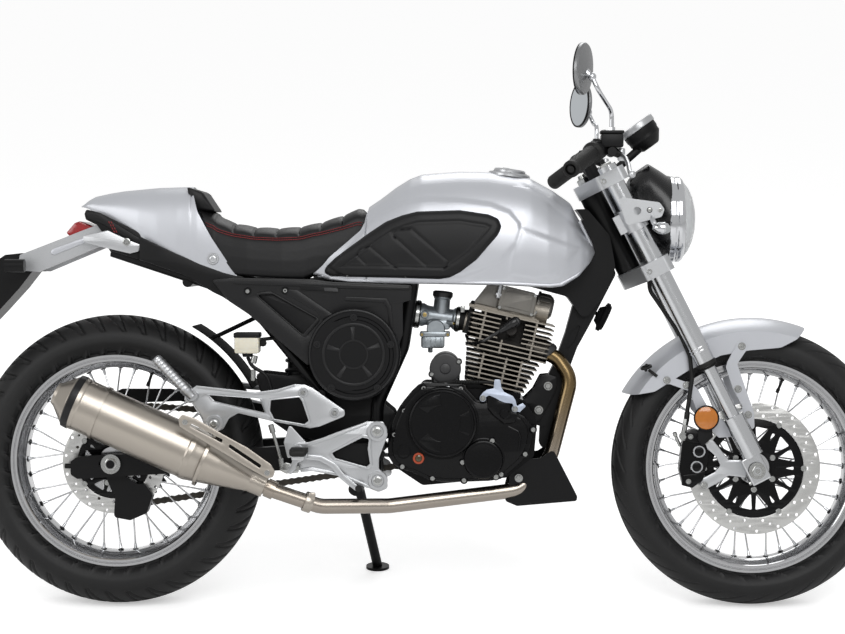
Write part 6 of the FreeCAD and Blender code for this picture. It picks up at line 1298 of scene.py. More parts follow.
def head_details():
    """The rocker cover's castings, the ribbed cap in front, the head nuts, plug cap, lead and sensor."""
    box = plate(tilted([(-32, 168), (-32, 214), (-24, 220), (38, 219), (46, 212), (46, 168)]), -67, -40,
                3, 2.2)
    inner = plate(tilted([(-24, 176), (-24, 206), (-18, 212), (30, 211), (38, 205), (38, 176)]), -68.6,
                  -66, 3, 0.9)
    flange = plate(tilted([(-58, 168), (-58, 176), (52, 176), (52, 168)]), -53, 53, 1.5, 1.0)
    slope = plate(tilted([(-84, 168), (-62, 212), (-46, 219), (-33, 219), (-33, 168)]), -56, -44, 3, 2.4)
    lay_over([box, inner, flange, slope], "rocker_cover_castings", "grey_alloy")
    start = bore(50, 0, 194)
    cap = turned([(0, 0), (0, 31), (5, 31), (6, 28), (26, 27), (33, 24), (37, 17), (38, 0)], start,
                 BORE_AHEAD, 40)
    ribs = []
    for index in range(14):
        angle = 2 * math.pi * index / 14
        out = Y * math.cos(angle) + BORE_UP * math.sin(angle)
        ribs.append(pipe([start + BORE_AHEAD * 5 + out * 27.5, start + BORE_AHEAD * 26 + out * 27.5,
                          start + BORE_AHEAD * 36 + out * 17], 1.9, 6, 8))
    lay_over([cap] + ribs, "cam_end_cap", "grey_alloy")
    nuts = [bolt(bore(ahead, y, 176), BORE_UP, 6, 6) for ahead in (-48, 48) for y in (-45, 45)]
    nuts += [cap_bolt(bore(ahead, -67, along), -Y, 3.8, 3)
             for ahead, along in ((-28, 214), (41, 213), (42, 172), (-28, 172))]
    lay_over(nuts, "head_nuts", "zinc_bolt")
    boot = turned([(0, 0), (0, 9), (3, 10), (14, 10), (17, 8.4), (34, 7), (44, 5), (46, 0)],
                  (864, -106, 620), Vector((-0.82, -0.16, -0.5)), 24)
    elbow = rod((855, -62, 612), (862, -112, 619), 10.5, 3.5, 24)
    lead = pipe([(832, -113, 601), (812, -114, 589), (794, -108, 577), (776, -92, 571), (762, -66, 574),
                 (757, -48, 588)], 3.6, 22, 12)
    lay_over([boot, elbow, lead], "plug_cap_and_lead", "black_lamp_paint")
    sensor = rod(bore(-36, -64, 190), bore(-36, -64, 222), 4.6, 1, 16)
    hexagon = turned([(0, 0), (0, 7), (5, 7), (5, 0)], bore(-36, -64, 196), BORE_UP, 6)
    lay_over([sensor, hexagon], "head_sensor", "satin_alloy")


def carburettor():
    """Slide carburettor: bell, body, slide tube and its cap, float bowl, screws, rubbers and clamps."""
    slope = Vector((0.991, 0, -0.13))
    body = [turned([(0, 0), (0, 25), (6, 25.5), (14, 22), (26, 21), (46, 20), (70, 20), (74, 24), (80, 24),
                    (80, 0)], (657, 0, 631), slope, 40)]
    top = Vector((0.10, 0, 0.995))
    foot = Vector((701, 0, 622))
    body.append(turned([(0, 0), (0, 18.5), (42, 17.5), (44, 19.5), (50, 19.5), (52, 18), (52, 0)], foot,
                       top, 36))
    body.append(block((672, -20, 598), (722, 20, 620), 5))
    body.append(block((656, -32, 583), (722, 32, 594), 3))
    body.append(turned([(0, 0), (0, 19), (4, 20), (7, 18), (7, 0)], (691, -22, 600), -Y, 32))
    body.append(block((659, -29, 558), (710, 29, 585), 5))
    body += [block((x, -30.6, 561), (x + 2.4, -28, 583), 0.6) for x in (668, 679, 690, 701)]
    body.append(turned([(0, 0), (0, 6), (9, 6), (11, 4), (11, 0)], (679, -12, 559), -Z, 6))
    body.append(turned([(0, 0), (0, 9), (10, 9), (12, 7), (12, 0)], (667, -20, 631), -Y, 24))
    body.append(rod((716, -18, 615), (729, -26, 612), 5, 1, 16))
    body += [rod((x, -30, 588), (x, -36, 588), 5.4, 1, 16) for x in (661, 717)]
    lay_over(body, "carburettor_casting", "zinc_casting", replaced=("carburettor",))
    lid = turned([(0, 0), (0, 21), (3, 22), (10, 22), (13, 18), (14, 0)], foot + top * 47, top, 24)
    lay_over(lid, "slide_tube_cap", "grey_casting")
    screws = [cap_bolt((661, -36, 588), -Y, 3.4, 2), cap_bolt((717, -36, 588), -Y, 3.4, 2),
              cap_bolt((667, -32, 631), -Y, 5, 2),
              cap_bolt((729, -26, 612), Vector((0.8, -0.6, -0.1)), 3.4, 4)]
    lay_over(screws, "carburettor_screws", "brass")
    rubbers = [turned([(0, 0), (0, 27), (4, 29), (8, 27), (12, 29), (16, 27), (28, 28), (34, 30), (42, 30),
                       (44, 27), (44, 0)], (614, 0, 636), slope, 36),
               turned([(0, 0), (0, 26), (5, 27), (16, 23), (26, 24), (32, 24), (32, 0)], (733, 0, 621),
                      slope, 36)]
    rubbers.append(plate(tilted([(-90, 100), (-78, 100), (-78, 172), (-90, 172)]), -32, 32, 5, 2))
    lay_over(rubbers, "carburettor_rubbers", "soft_rubber")
    bands = [turned([(0, 30.2), (0, 31), (7, 31), (7, 30.2)], (648, 0, 631.6), slope, 36, closed=True),
             turned([(0, 27.2), (0, 28), (6, 28), (6, 27.2)], (736, 0, 620.6), slope, 36, closed=True),
             block((745, -31, 636), (754, -24, 650), 1)]
    lay_over(bands, "carburettor_clamps", "zinc_bolt")


def exhaust_details():
    """The port's collar, the joint clamp, the silencer's end cap, its shield with slots, and its bolts."""
    port = Vector((930.7, -37.6, 548.6))
    way = (Vector((983, -45, 493)) - port).normalized()
    collar = turned([(-6, 0), (-6, 25), (2, 26), (8, 24), (10, 19), (10, 0)], port, way, 36)
    lay_over(collar, "exhaust_port_collar", "grey_casting")
    joint = Vector((449, -174, 231))
    along = (Vector((357, -190, 264)) - joint).normalized()
    clamp = turned([(0, 17), (0, 20.5), (2, 21.5), (16, 21.5), (18, 20.5), (18, 17)], joint + along * 18,
                   along, 36, closed=True)
    ear = block((426, -196, 246), (440, -188, 262), 2)
    lay_over([clamp, ear], "silencer_clamp", "brushed_steel")
    rear = Vector((-70, -190, 454))
    axis = Vector((0.9135, 0, -0.4067))
    end = turned([(-5, 24), (-5, 52), (-2, 57.4), (8, 58.4), (12, 58.4), (12, 57.2), (2, 46), (2, 27),
                  (30, 24)], rear, axis, 56)
    lay_over(end, "silencer_end_cap", "dark_steel")
    outlet = turned([(-14, 20.5), (-14, 23), (30, 23), (30, 20.5)], rear, axis, 40, closed=True)
    plug = turned([(22, 0), (22, 20.6), (24, 20.6), (24, 0)], rear, axis, 32)
    lay_over([outlet, plug], "silencer_outlet", "brushed_steel")
    bands = [turned([(at, 57.0), (at, 58.6), (at + 7, 58.6), (at + 7, 57.0)], rear, axis, 56, closed=True)
             for at in (60, 300)]
    lay_over(bands, "silencer_bands", "brushed_steel")
    slots = [[(184, 405), (186, 411), (252, 378), (250, 371)],
             [(264, 362), (266, 369), (332, 325), (329, 318)]]
    shield = plate([(160, 421), (168, 430), (196, 421), (264, 382), (303, 361), (352, 326), (360, 312),
                    (356, 300), (344, 297), (300, 322), (262, 345), (180, 394), (162, 405)], -251, -247.5,
                   6, 0.8, slots, 3)
    fixings = ((174, 414), (344, 309))
    feet = [rod((x, -238, z), (x, -248, z), 6, 0.8, 16) for x, z in fixings]
    lay_over([shield] + feet, "silencer_shield", "brushed_steel")
    heads = [cap_bolt((x, -251, z), -Y, 6, 3.4) for x, z in fixings]
    heads.append(bolt((869, -106, 284), -Y, 7, 5))
    lay_over(heads, "silencer_shield_bolts", "zinc_bolt")


clutch_side()
starter()
generator_side()
paint_shade_between_fins()
head_details()
carburettor()
exhaust_details()


# Bodywork
TANK_TOP = [(431, 800), (470, 824), (505, 842), (534, 856), (573, 882), (606, 907), (635, 925), (662, 935),
            (742, 941), (806, 940), (894, 927), (943, 900), (983, 872), (1001, 835), (1026, 789), (1031, 766)]
TANK_REAR = [(431, 720), (451, 738), (466, 756), (499, 784), (532, 813), (541, 832), (544, 856)]
TANK_FOOT = [(431, 719), (468, 709), (511, 704), (839, 698), (933, 693), (961, 696), (994, 716), (1019, 744),
             (1031, 765)]
TANK_WIDTH = [(431, 113), (504, 128), (579, 137), (654, 140.5), (729, 141.5), (804, 141.5), (879, 140),
              (930, 134), (970, 124), (1000, 110), (1018, 94), (1027, 76), (1031, 56)]
RAISED = [(470, 735), (520, 790), (562, 838), (623, 869), (676, 878), (750, 875), (807, 867), (848, 850),
          (868, 826), (870, 812), (860, 783), (831, 750), (782, 726), (750, 716), (600, 716), (500, 716)]
FACET = [(874, 816), (992, 774), (948, 716), (900, 706), (846, 716), (852, 760)]
SHOULDER = [(872, 914), (913, 886), (950, 853), (982, 828), (1008, 804)]
COWL_TOP = [(-74, 866), (-60, 879), (-47, 887), (-15, 894), (16, 899), (91, 906), (160, 908), (270, 908)]
COWL_LIMIT = [(-80, 960), (166, 960), (167, 905), (183, 852), (213, 798), (246, 748), (268, 714)]
COWL_FOOT = [(-74, 864), (-58, 860), (-30, 844), (54, 803), (127, 763), (189, 735), (238, 720), (268, 713.5)]
COWL_WIDTH = [(-74, 50), (-60, 59), (-31, 67), (11, 79), (54, 91), (96, 100), (139, 107), (182, 111),
              (268, 112)]


def dense(points, radius):
    """A polyline with its corners turned, as (x, z) pairs."""
    return [(point.x, point.y) for point in rounded([(x, z, 0) for x, z in points], radius, False, 8)]


def read_off(table, x):
    """The height of a line above one place along the bike."""
    if x <= table[0][0]:
        return table[0][1]
    for (x0, z0), (x1, z1) in zip(table, table[1:]):
        if x <= x1:
            return z0 if x1 == x0 else z0 + (z1 - z0) * (x - x0) / (x1 - x0)
    return table[-1][1]


def distance_to(points, x, z, closed=True):
    """Distance from a place to an outline, and whether the place is inside it."""
    nearest, inside = 1e9, False
    count = len(points)
    for index in range(count if closed else count - 1):
        x0, z0 = points[index]
        x1, z1 = points[(index + 1) % count]
        dx, dz = x1 - x0, z1 - z0
        share = clamped(((x - x0) * dx + (z - z0) * dz) / max(dx * dx + dz * dz, 1e-9))
        nearest = min(nearest, math.hypot(x - x0 - dx * share, z - z0 - dz * share))
        if closed and (z0 > z) != (z1 > z) and x < x0 + dx * (z - z0) / dz:
            inside = not inside
    return nearest, inside


def half_profile(foot, low, upper, power):
    """Width shares against height shares, from the middle of the underside to the crown."""
    path = list(foot)
    for step in range(41):
        turn = math.pi / 2 * step / 40
        path.append((low + (1 - low) * math.sin(turn) ** (2 / power), math.cos(turn) ** (2 / upper)))
    return path


def resampled(path, count):
    """A polyline cut into equal steps."""
    lengths = [0.0]
    for first, second in zip(path, path[1:]):
        lengths.append(lengths[-1] + math.dist(first, second))
    made, at = [], 0
    for step in range(count + 1):
        target = lengths[-1] * step / count
        while at < len(path) - 2 and lengths[at + 1] < target:
            at += 1
        span = max(lengths[at + 1] - lengths[at], 1e-9)
        share = min(1.0, (target - lengths[at]) / span)
        made.append(tuple(a + (b - a) * share for a, b in zip(path[at], path[at + 1])))
    return made


def grid_mesh(rows):
    """A sheet through rows of points in millimetres."""
    wide = len(rows[0])
    places = [Vector(point) * MM for row in rows for point in row]
    faces = [(i * wide + j, i * wide + j + 1, (i + 1) * wide + j + 1, (i + 1) * wide + j)
             for i in range(len(rows) - 1) for j in range(wide - 1)]
    return mesh_object(places, faces)


def shell(top, foot, width, limit, profile, start, end, columns, rows, relief):
    """A hollow body with a thin wall, from side-view lines, the width along it and one half section."""
    sheet = []
    turn = max(index for index, (v, w) in enumerate(profile) if v == 0.0)
    for step in range(columns + 1):
        share = step / columns
        bunched = 0.5 - 0.5 * math.cos(math.pi * share)
        x = start + (end - start) * (0.35 * bunched + 0.65 * share)
        low, high, wide = read_off(foot, x), read_off(top, x), read_off(width, x)
        reach = clamped((read_off(limit, x) - low) / max(high - low, 0.01), 0.02)
        path = []
        for index, (v, w) in enumerate(profile):
            if v > reach and index > turn:
                last = path[-1]
                before = (last[1] - low) / max(high - low, 0.01)
                cut = (reach - before) / max(v - before, 1e-6)
                path.append((last[0] + (wide * w - last[0]) * cut, low + (high - low) * reach))
                break
            path.append((wide * w, low + (high - low) * min(v, reach)))
        row = []
        for y, z in resampled(path, rows):
            row.append((x, y + (relief(x, z) if y > 20 else 0.0), z))
        sheet.append(row)
    whole = cleaned(both(grid_mesh(sheet)), 0.3)
    return modified(whole, "SOLIDIFY", thickness=2.5 * MM, offset=-1.0, use_even_offset=False)


TANK_PROFILE = half_profile([(0.06, 0.30), (0.05, 0.34), (0.0, 0.90), (0.0, 0.93), (0.015, 0.955),
                             (0.05, 0.972), (0.16, 0.99)], 0.30, 2.5, 2.15)
TANK_FLANK = [item for item in TANK_PROFILE if item[1] > 0.6]
TANK_TOP_LINE, TANK_FOOT_LINE = dense(TANK_TOP, 26), dense(TANK_FOOT, 18)
TANK_WIDTH_LINE = dense(TANK_WIDTH, 30)
COWL_PROFILE = half_profile([(0.0, 0.985), (0.1, 0.995)], 0.22, 2.9, 2.5)


def relief(x, z):
    """How far the tank's side stands out: the raised pad surround, the front facet and the shoulder line."""
    near, inside = distance_to(RAISED, x, z)
    rise = 4.0 * eased((near if inside else -near) / 7.0 + 0.5)
    near, inside = distance_to(FACET, x, z)
    rise += 4.0 * eased((near if inside else -near) / 14.0 + 0.45)
    near = distance_to(SHOULDER, x, z, False)[0]
    rise -= 2.2 * math.exp(-(near / 5.5) ** 2)
    return rise - 3.0


def tank_side(x, z):
    """Half the tank's width at a place in the side view."""
    low, high = read_off(TANK_FOOT, x), read_off(TANK_TOP_LINE, x)
    v = (z - low) / (high - low)
    wide = read_off(TANK_WIDTH, x)
    for (v0, w0), (v1, w1) in zip(TANK_FLANK, TANK_FLANK[1:]):
        if v0 <= v <= v1 and v1 > v0:
            return wide * (w0 + (w1 - w0) * (v - v0) / (v1 - v0)) + relief(x, z)
    return wide * 0.97 + relief(x, z)


def fuel_tank():
    """The tank's shell, its pressed seam round the foot and nose, and the filler cap."""
    tank = shell(TANK_TOP_LINE, TANK_FOOT_LINE, TANK_WIDTH_LINE, TANK_REAR + [(546, 1000), (1040, 1000)],
                 TANK_PROFILE, start=TANK_TOP[0][0], end=TANK_TOP[-1][0], columns=170, rows=96, relief=relief)
    lay_over(tank, "fuel_tank_shell", "silver_paint", replaced=("fuel_tank",), smooth=50)
    seam = []
    for x, z in TANK_FOOT_LINE + TANK_TOP_LINE[:-27:-1]:
        if x > 455:
            middle = 0.5 * (read_off(TANK_FOOT, x) + read_off(TANK_TOP, x))
            wide = read_off(TANK_WIDTH_LINE, x)
            tuck = 0.935 if z < middle else 0.90
            seam.append((x - (2.5 if x > 1000 else 0), -wide * tuck - 2.5, z + 2.6 if z < middle else z - 4))
    line = [seam[0]]
    for point in seam:
        if math.dist(point, line[-1]) > 9:
            line.append(point)
    # It stops short on the nose, where the fork clamps swing past
    line = [point for point in line if point[2] < 840 and not (point[2] > 800 and point[0] < 980)]
    lay_over(both(pipe(line, 3.4, 8, 12, 3)), "tank_seam", "silver_paint")
    way = Vector((0.13, 0, 0.99))
    foot = Vector((850, 0, 930))
    ring = turned([(0, 35), (0, 45.5), (5, 45.5), (8, 43), (8, 36)], foot, way, 64, closed=True)
    lid = turned([(0, 0), (0, 34.5), (13, 34.5), (16, 32), (17, 26), (17.2, 0)], foot, way, 64)
    flap = turned([(0, 0), (0, 9), (1.6, 8), (1.6, 0)], foot + way * 17 + Vector((-8, 0, 1)), way, 32)
    lay_over([ring, lid, flap], "filler_cap", "satin_alloy", replaced=("tank_cap",))
    screws = []
    for index in range(6):
        turn = math.radians(30 + 60 * index)
        out = Vector((math.cos(turn), math.sin(turn), -math.cos(turn) * 0.13)) * 39.5
        screws.append(cap_bolt(foot + way * 8 + out, way, 2.6, 1.6))
    lay_over(screws, "filler_cap_screws", "zinc_bolt")


PAD = [(456, 724), (462, 735), (480, 752), (556, 808), (588, 829), (621, 842), (653, 850), (742, 853),
       (802, 844), (823, 835), (829, 820), (822, 804), (777, 752), (742, 725), (719, 714), (700, 711),
       (600, 714), (469, 717)]
PAD_GROOVES = ([(544, 741), (525, 760), (531, 771), (551, 779), (608, 733)],
               [(606, 797), (600, 807), (608, 813), (640, 815), (720, 746), (716, 735), (708, 731)],
               [(606, 797), (671, 739)])


def knee_pads():
    """Foam pads under vinyl on the tank's flanks, with a border line and slanted grooves pressed in."""
    outline = [(point.x, point.y) for point in rounded([(x, z, 0) for x, z in PAD], 12, True, 6)]
    low_x, high_x = min(x for x, z in outline), max(x for x, z in outline)
    rows = []
    columns, border = 150, 21
    for step in range(columns + 1):
        x = low_x + 0.4 + (high_x - low_x - 0.8) * step / columns
        hits = []
        for index, (x0, z0) in enumerate(outline):
            x1, z1 = outline[(index + 1) % len(outline)]
            if (x0 > x) != (x1 > x):
                hits.append(z0 + (z1 - z0) * (x - x0) / (x1 - x0))
        low, high = min(hits), max(hits)
        row = []
        for place in range(61):
            share = 0.5 - 0.5 * math.cos(math.pi * place / 60)
            share = 0.5 * share + 0.5 * place / 60
            z = low + (high - low) * share
            edge = distance_to(outline, x, z)[0]
            rise = 8.5 * math.sqrt(max(0.0, 1 - (1 - min(edge / 9.0, 1.0)) ** 2))
            rise -= 2.2 * math.exp(-((edge - border) / 2.6) ** 2)
            rise -= 2.4 * eased((edge - border) / 6.0)
            if edge > 10:
                for groove in PAD_GROOVES:
                    near = distance_to(groove, x, z, False)[0]
                    rise -= 2.4 * math.exp(-(near / 2.6) ** 2)
            row.append((x, -(tank_side(x, z) - 1.5 + rise), z))
        rows.append(row)
    pad = modified(cleaned(grid_mesh(rows), 0.05), "SOLIDIFY", thickness=3 * MM, offset=1.0)
    pad = cleaned(pad, 0.02)
    right = lay_over(pad, "knee_pad_right", "pad_rubber", replaced=("knee_pads",), smooth=60)
    only(right)
    bpy.ops.object.duplicate()
    left = bpy.context.view_layer.objects.active
    left.data.transform(TO_BIKE)
    left.data.transform(Matrix.Diagonal((1, -1, 1, 1)))
    left.data.flip_normals()
    lay_over(left, "knee_pad_left", "pad_rubber", smooth=60)
    studs = [rod((x, -tank_side(x, z) + 1, z), (x, -tank_side(x, z) - 8, z), 2.2, 0.8, 12)
             for x, z in ((504, 716.5), (628, 714.5))]
    lay_over(both(studs), "knee_pad_studs", "zinc_bolt")


SEAT_TOP = [(216, 859), (218, 846), (230, 839), (258, 828), (303, 820), (352, 818), (396, 821), (444, 831),
            (493, 847), (524, 860), (533, 858)]
SEAT_FOOT = [(266, 717), (343, 711), (408, 708), (430, 719)]
SEAT_REAR = [(0.0, 266), (0.23, 246), (0.57, 213), (0.93, 188), (1.0, 184)]
SEAT_FRONT = [(0.0, 430), (0.12, 451), (0.26, 466), (0.46, 498), (0.66, 531), (0.82, 542), (0.93, 542),
              (1.0, 534)]
SEAT_WIDTH = [(184, 104), (229, 110), (290, 115), (364, 115), (409, 110), (454, 102), (499, 95), (545, 86)]
SEAT_SEAMS = (258, 303, 351, 399, 445, 491)
SEAT_TOP_LINE = [(184, 866)] + dense(SEAT_TOP, 20)[3:]
SEAT_FOOT_LINE = dense(SEAT_FOOT, 12)


def seat_point(u, v, section):
    """A place on the seat: u runs from the cowl to the tank, v up the side, section is the width share."""
    x_rear, x_front = read_off(SEAT_REAR, v), read_off(SEAT_FRONT, v)
    x = x_rear + (x_front - x_rear) * u
    low = read_off(SEAT_FOOT_LINE, x)
    high = read_off(SEAT_TOP_LINE, x)
    wide = read_off(SEAT_WIDTH, x)
    return x, wide * section, low + (high - low) * v


def seat():
    """The stitched seat: plain sides, a ribbed top in quilted rolls, and a double red seam between them."""
    section = [(0.0, 0.90), (0.0, 0.96), (0.03, 0.985), (0.12, 1.0), (0.35, 0.995), (0.55, 0.965),
               (0.70, 0.92), (0.79, 0.87), (0.855, 0.81), (0.905, 0.73), (0.945, 0.62), (0.97, 0.49),
               (0.985, 0.34), (0.995, 0.17), (1.0, 0.0)]
    smooth_section = [(point.x, point.y) for point in
                      rounded([(v * 150, w * 110, 0) for v, w in section], 30, False, 4)]
    path = [(v / 150, w / 110) for v, w in resampled(smooth_section, 54)]
    rows = []
    columns, quilt_from = 150, 0.80
    for step in range(columns + 1):
        u = step / columns
        row = []
        for v, w in path:
            x, y, z = seat_point(u, v, w)
            if v > quilt_from:
                nearest = min(abs(x - seam) for seam in SEAT_SEAMS)
                quilt = eased((v - quilt_from) / 0.06)
                swell = math.sqrt(min(1.0, nearest / 20))
                groove = math.exp(-(nearest / 2.2) ** 2)
                z += quilt * (2.2 * swell - 2.6 * groove - 1.0)
                y += quilt * (1.4 * swell - 2.0 * groove)
            y -= 1.8 * math.exp(-((v - 0.785) / 0.012) ** 2)
            row.append((x, y, z))
        rows.append(row)
    whole = modified(cleaned(both(grid_mesh(rows)), 0.4), "SOLIDIFY", thickness=3 * MM, offset=-1.0)
    cushion = lay_over(whole, "seat_cushion", "seat_vinyl", replaced=("seat",), smooth=60)
    stitches = []
    for level, lift in ((0.752, 0.7), (0.792, 0.2)):
        run = []
        for step in range(341):
            x, y, z = seat_point(0.005 + 0.99 * step / 340, level, read_off(section, level))
            run.append(Vector((x, -(y + lift), z + 0.3)))
        line = [run[0]]
        for point in run:
            if (point - line[-1]).length > 4.2:
                line.append(point)
        for index in range(0, len(line) - 1, 2):
            stitches.append([line[index], line[index].lerp(line[index + 1], 0.5) - Y * 0.5, line[index + 1]])
            if index + 2 < len(line):
                stitches.append([line[index + 1].lerp(line[index + 2], 0.18) + Y * 0.2,
                                 line[index + 1].lerp(line[index + 2], 0.82) + Y * 0.2])
    lay_over(both(wires(stitches, 0.62, 1)), "seat_stitches", "red_thread")


def hump_pad():
    """The wedge of foam that stands against the front of the cowl."""
    outline = [(157, 905), (163, 905), (186, 898), (193, 893), (216, 858), (217, 854), (196, 855),
               (172, 857), (165, 866)]
    ring = rounded([(x, z, 0) for x, z in outline], 6)
    centre = Vector((180, 880, 0))
    rows = []
    count, half = 46, 76
    for step in range(count + 1):
        y = -half + 2 * half * step / count
        end = half - abs(y)
        inset = 7.0 * (1 - math.sqrt(max(0.0, 1 - (1 - min(end / 9.0, 1.0)) ** 2)))
        row = []
        for point in ring:
            away = point - centre
            place = centre + away * (1 - inset / max(away.length, 10))
            row.append((place.x, y, place.y))
        row.append(row[0])
        rows.append(row)
    pad = cleaned(grid_mesh(rows), 0.05)
    only(pad)
    bpy.ops.object.mode_set(mode="EDIT")
    bpy.ops.mesh.select_all(action="SELECT")
    bpy.ops.mesh.fill_holes(sides=0)
    bpy.ops.mesh.normals_make_consistent(inside=False)
    bpy.ops.object.mode_set(mode="OBJECT")
    pad = lay_over(pad, "hump_cushion", "seat_vinyl", replaced=("hump_pad",), smooth=60)


def cowl():
    """The tail cowl, drawn in a little along its front edge and foot, and its fixing screws."""
    def drawn_in(x, z):
        near = distance_to([(150, 905), (150, 760), (262, 716)], x, z, False)[0]
        return -0.5 * math.exp(-(near / 26) ** 2)
    body = shell(dense(COWL_TOP, 20), dense(COWL_FOOT, 25), dense(COWL_WIDTH, 25), COWL_LIMIT, COWL_PROFILE,
                 start=COWL_FOOT[0][0], end=COWL_FOOT[-1][0], columns=130, rows=60, relief=drawn_in)
    lay_over(body, "tail_cowl_shell", "silver_paint", replaced=("tail_cowl",), smooth=50)
    place = (217, -110.6, 752)
    cup = turned([(0, 0), (0, 12), (1.5, 12.6), (2.4, 11.6), (2.4, 9.4), (0.8, 9), (0.8, 0)], place, -Y, 32)
    head = turned([(0, 0), (0, 8), (2.6, 7.6), (3.8, 6), (3.8, 3.2), (1.8, 3.2), (1.8, 0)], place, -Y, 24)
    lay_over(both([cup, head]), "cowl_screws", "satin_alloy")


def tail_underside():
    """The dark trim under the cowl, from the lamp to the side covers, and the stitched roll above it."""
    outline = [(-57, 858), (-61, 848), (-58, 836), (-34, 824), (-18, 802), (-8, 770), (35, 757), (81, 743),
               (81, 792), (54, 810), (-28, 851)]
    side = [(60, 749), (81, 743), (154, 718), (218, 680), (301, 640), (346, 601), (372, 624), (300, 706),
            (275, 716), (240, 724), (190, 741), (127, 768), (60, 800)]
    strip = [plate(outline, -91, -84, 5, 2.5), plate(side, -110, -101, 5, 2.5)]
    cover = plate([(-54, 854), (-58, 847), (-54, 838), (-26, 828), (2, 812), (34, 794), (66, 780),
                   (60, 796), (-26, 848)], -94.5, -80, 4, 3.5)
    lay_over(both(strip), "tail_trim", "black_plastic")
    roll = lay_over(both(cover), "tail_roll", "seat_vinyl")
    lines = [[Vector((-8 + shift + 14 * i / 12, -95.4, 832 - 26 * i / 12)) for i in range(13)]
             for shift in (0.0, 5.0)]
    stitches = [line[i:i + 3] for line in lines for i in range(0, 12, 3)]
    lay_over(both(wires(stitches, 0.9, 1)), "tail_stitches", "red_thread")


def tail_lights():
    """The tail lamp's ribbed lens, and the tail brackets' pressed lines and screws."""
    outline = [(-105, 808), (-87, 829), (-76, 833), (-44, 820), (-46, 812), (-96, 799)]
    lay_over(plate(outline, -64, 64, 3, 3.0), "tail_lamp_lens", "red_lens", replaced=("tail_lamp",))
    bars = [plate([(-100, 809), (-84, 828), (-80, 828), (-96, 807)], y, y + 2, 0.5, 0.5)
            for y in range(-54, 60, 12)]
    lay_over(bars, "tail_lamp_ribs", "red_lens")
    ridge = plate([(-138, 764), (-134, 772), (-42, 806), (-36, 801), (-44, 794), (-130, 760)], -72.4,
                  -66, 3, 1.2)
    step = plate([(-30, 812), (-24, 806), (-34, 792), (-28, 788), (-14, 803), (-16, 811)], -71.6, -66, 2, 1.0)
    lay_over(both([ridge, step]), "tail_bracket_ridges", "silver_paint")
    lay_over(both(cap_bolt((14, -69, 789), -Y, 6.5, 3.5)), "tail_bracket_screws", "zinc_bolt")


fuel_tank()
knee_pads()
seat()
hump_pad()
cowl()
tail_underside()
tail_lights()


# Chassis
def framed(window, wider, low, high, corner):
    """A raised border round a window."""
    middle = (sum(x for x, z in window) / len(window), sum(z for x, z in window) / len(window))
    grown = []
    for x, z in window:
        away = math.hypot(x - middle[0], z - middle[1])
        grown.append((x + (x - middle[0]) / away * wider, z + (z - middle[1]) / away * wider))
    return plate(grown, low, high, corner + wider * 0.5, 0.8, [window], corner)


def boss(x, z, y, radius, deep):
    """A round boss with a dished face and its screw, facing the rider's right."""
    ring = turned([(0, 0), (0, radius), (deep - 1, radius), (deep, radius - 1.2), (deep, radius * 0.66),
                   (deep - 1.6, radius * 0.58), (deep - 1.6, 0)], (x, y, z), -Y, 36)
    screw = turned([(deep - 2, 0), (deep - 2, radius * 0.46), (deep + 1.6, radius * 0.44),
                    (deep + 2.6, radius * 0.34), (deep + 2.6, radius * 0.2), (deep + 0.6, radius * 0.19),
                    (deep + 0.6, 0)], (x, y, z), -Y, 24)
    return ring, screw


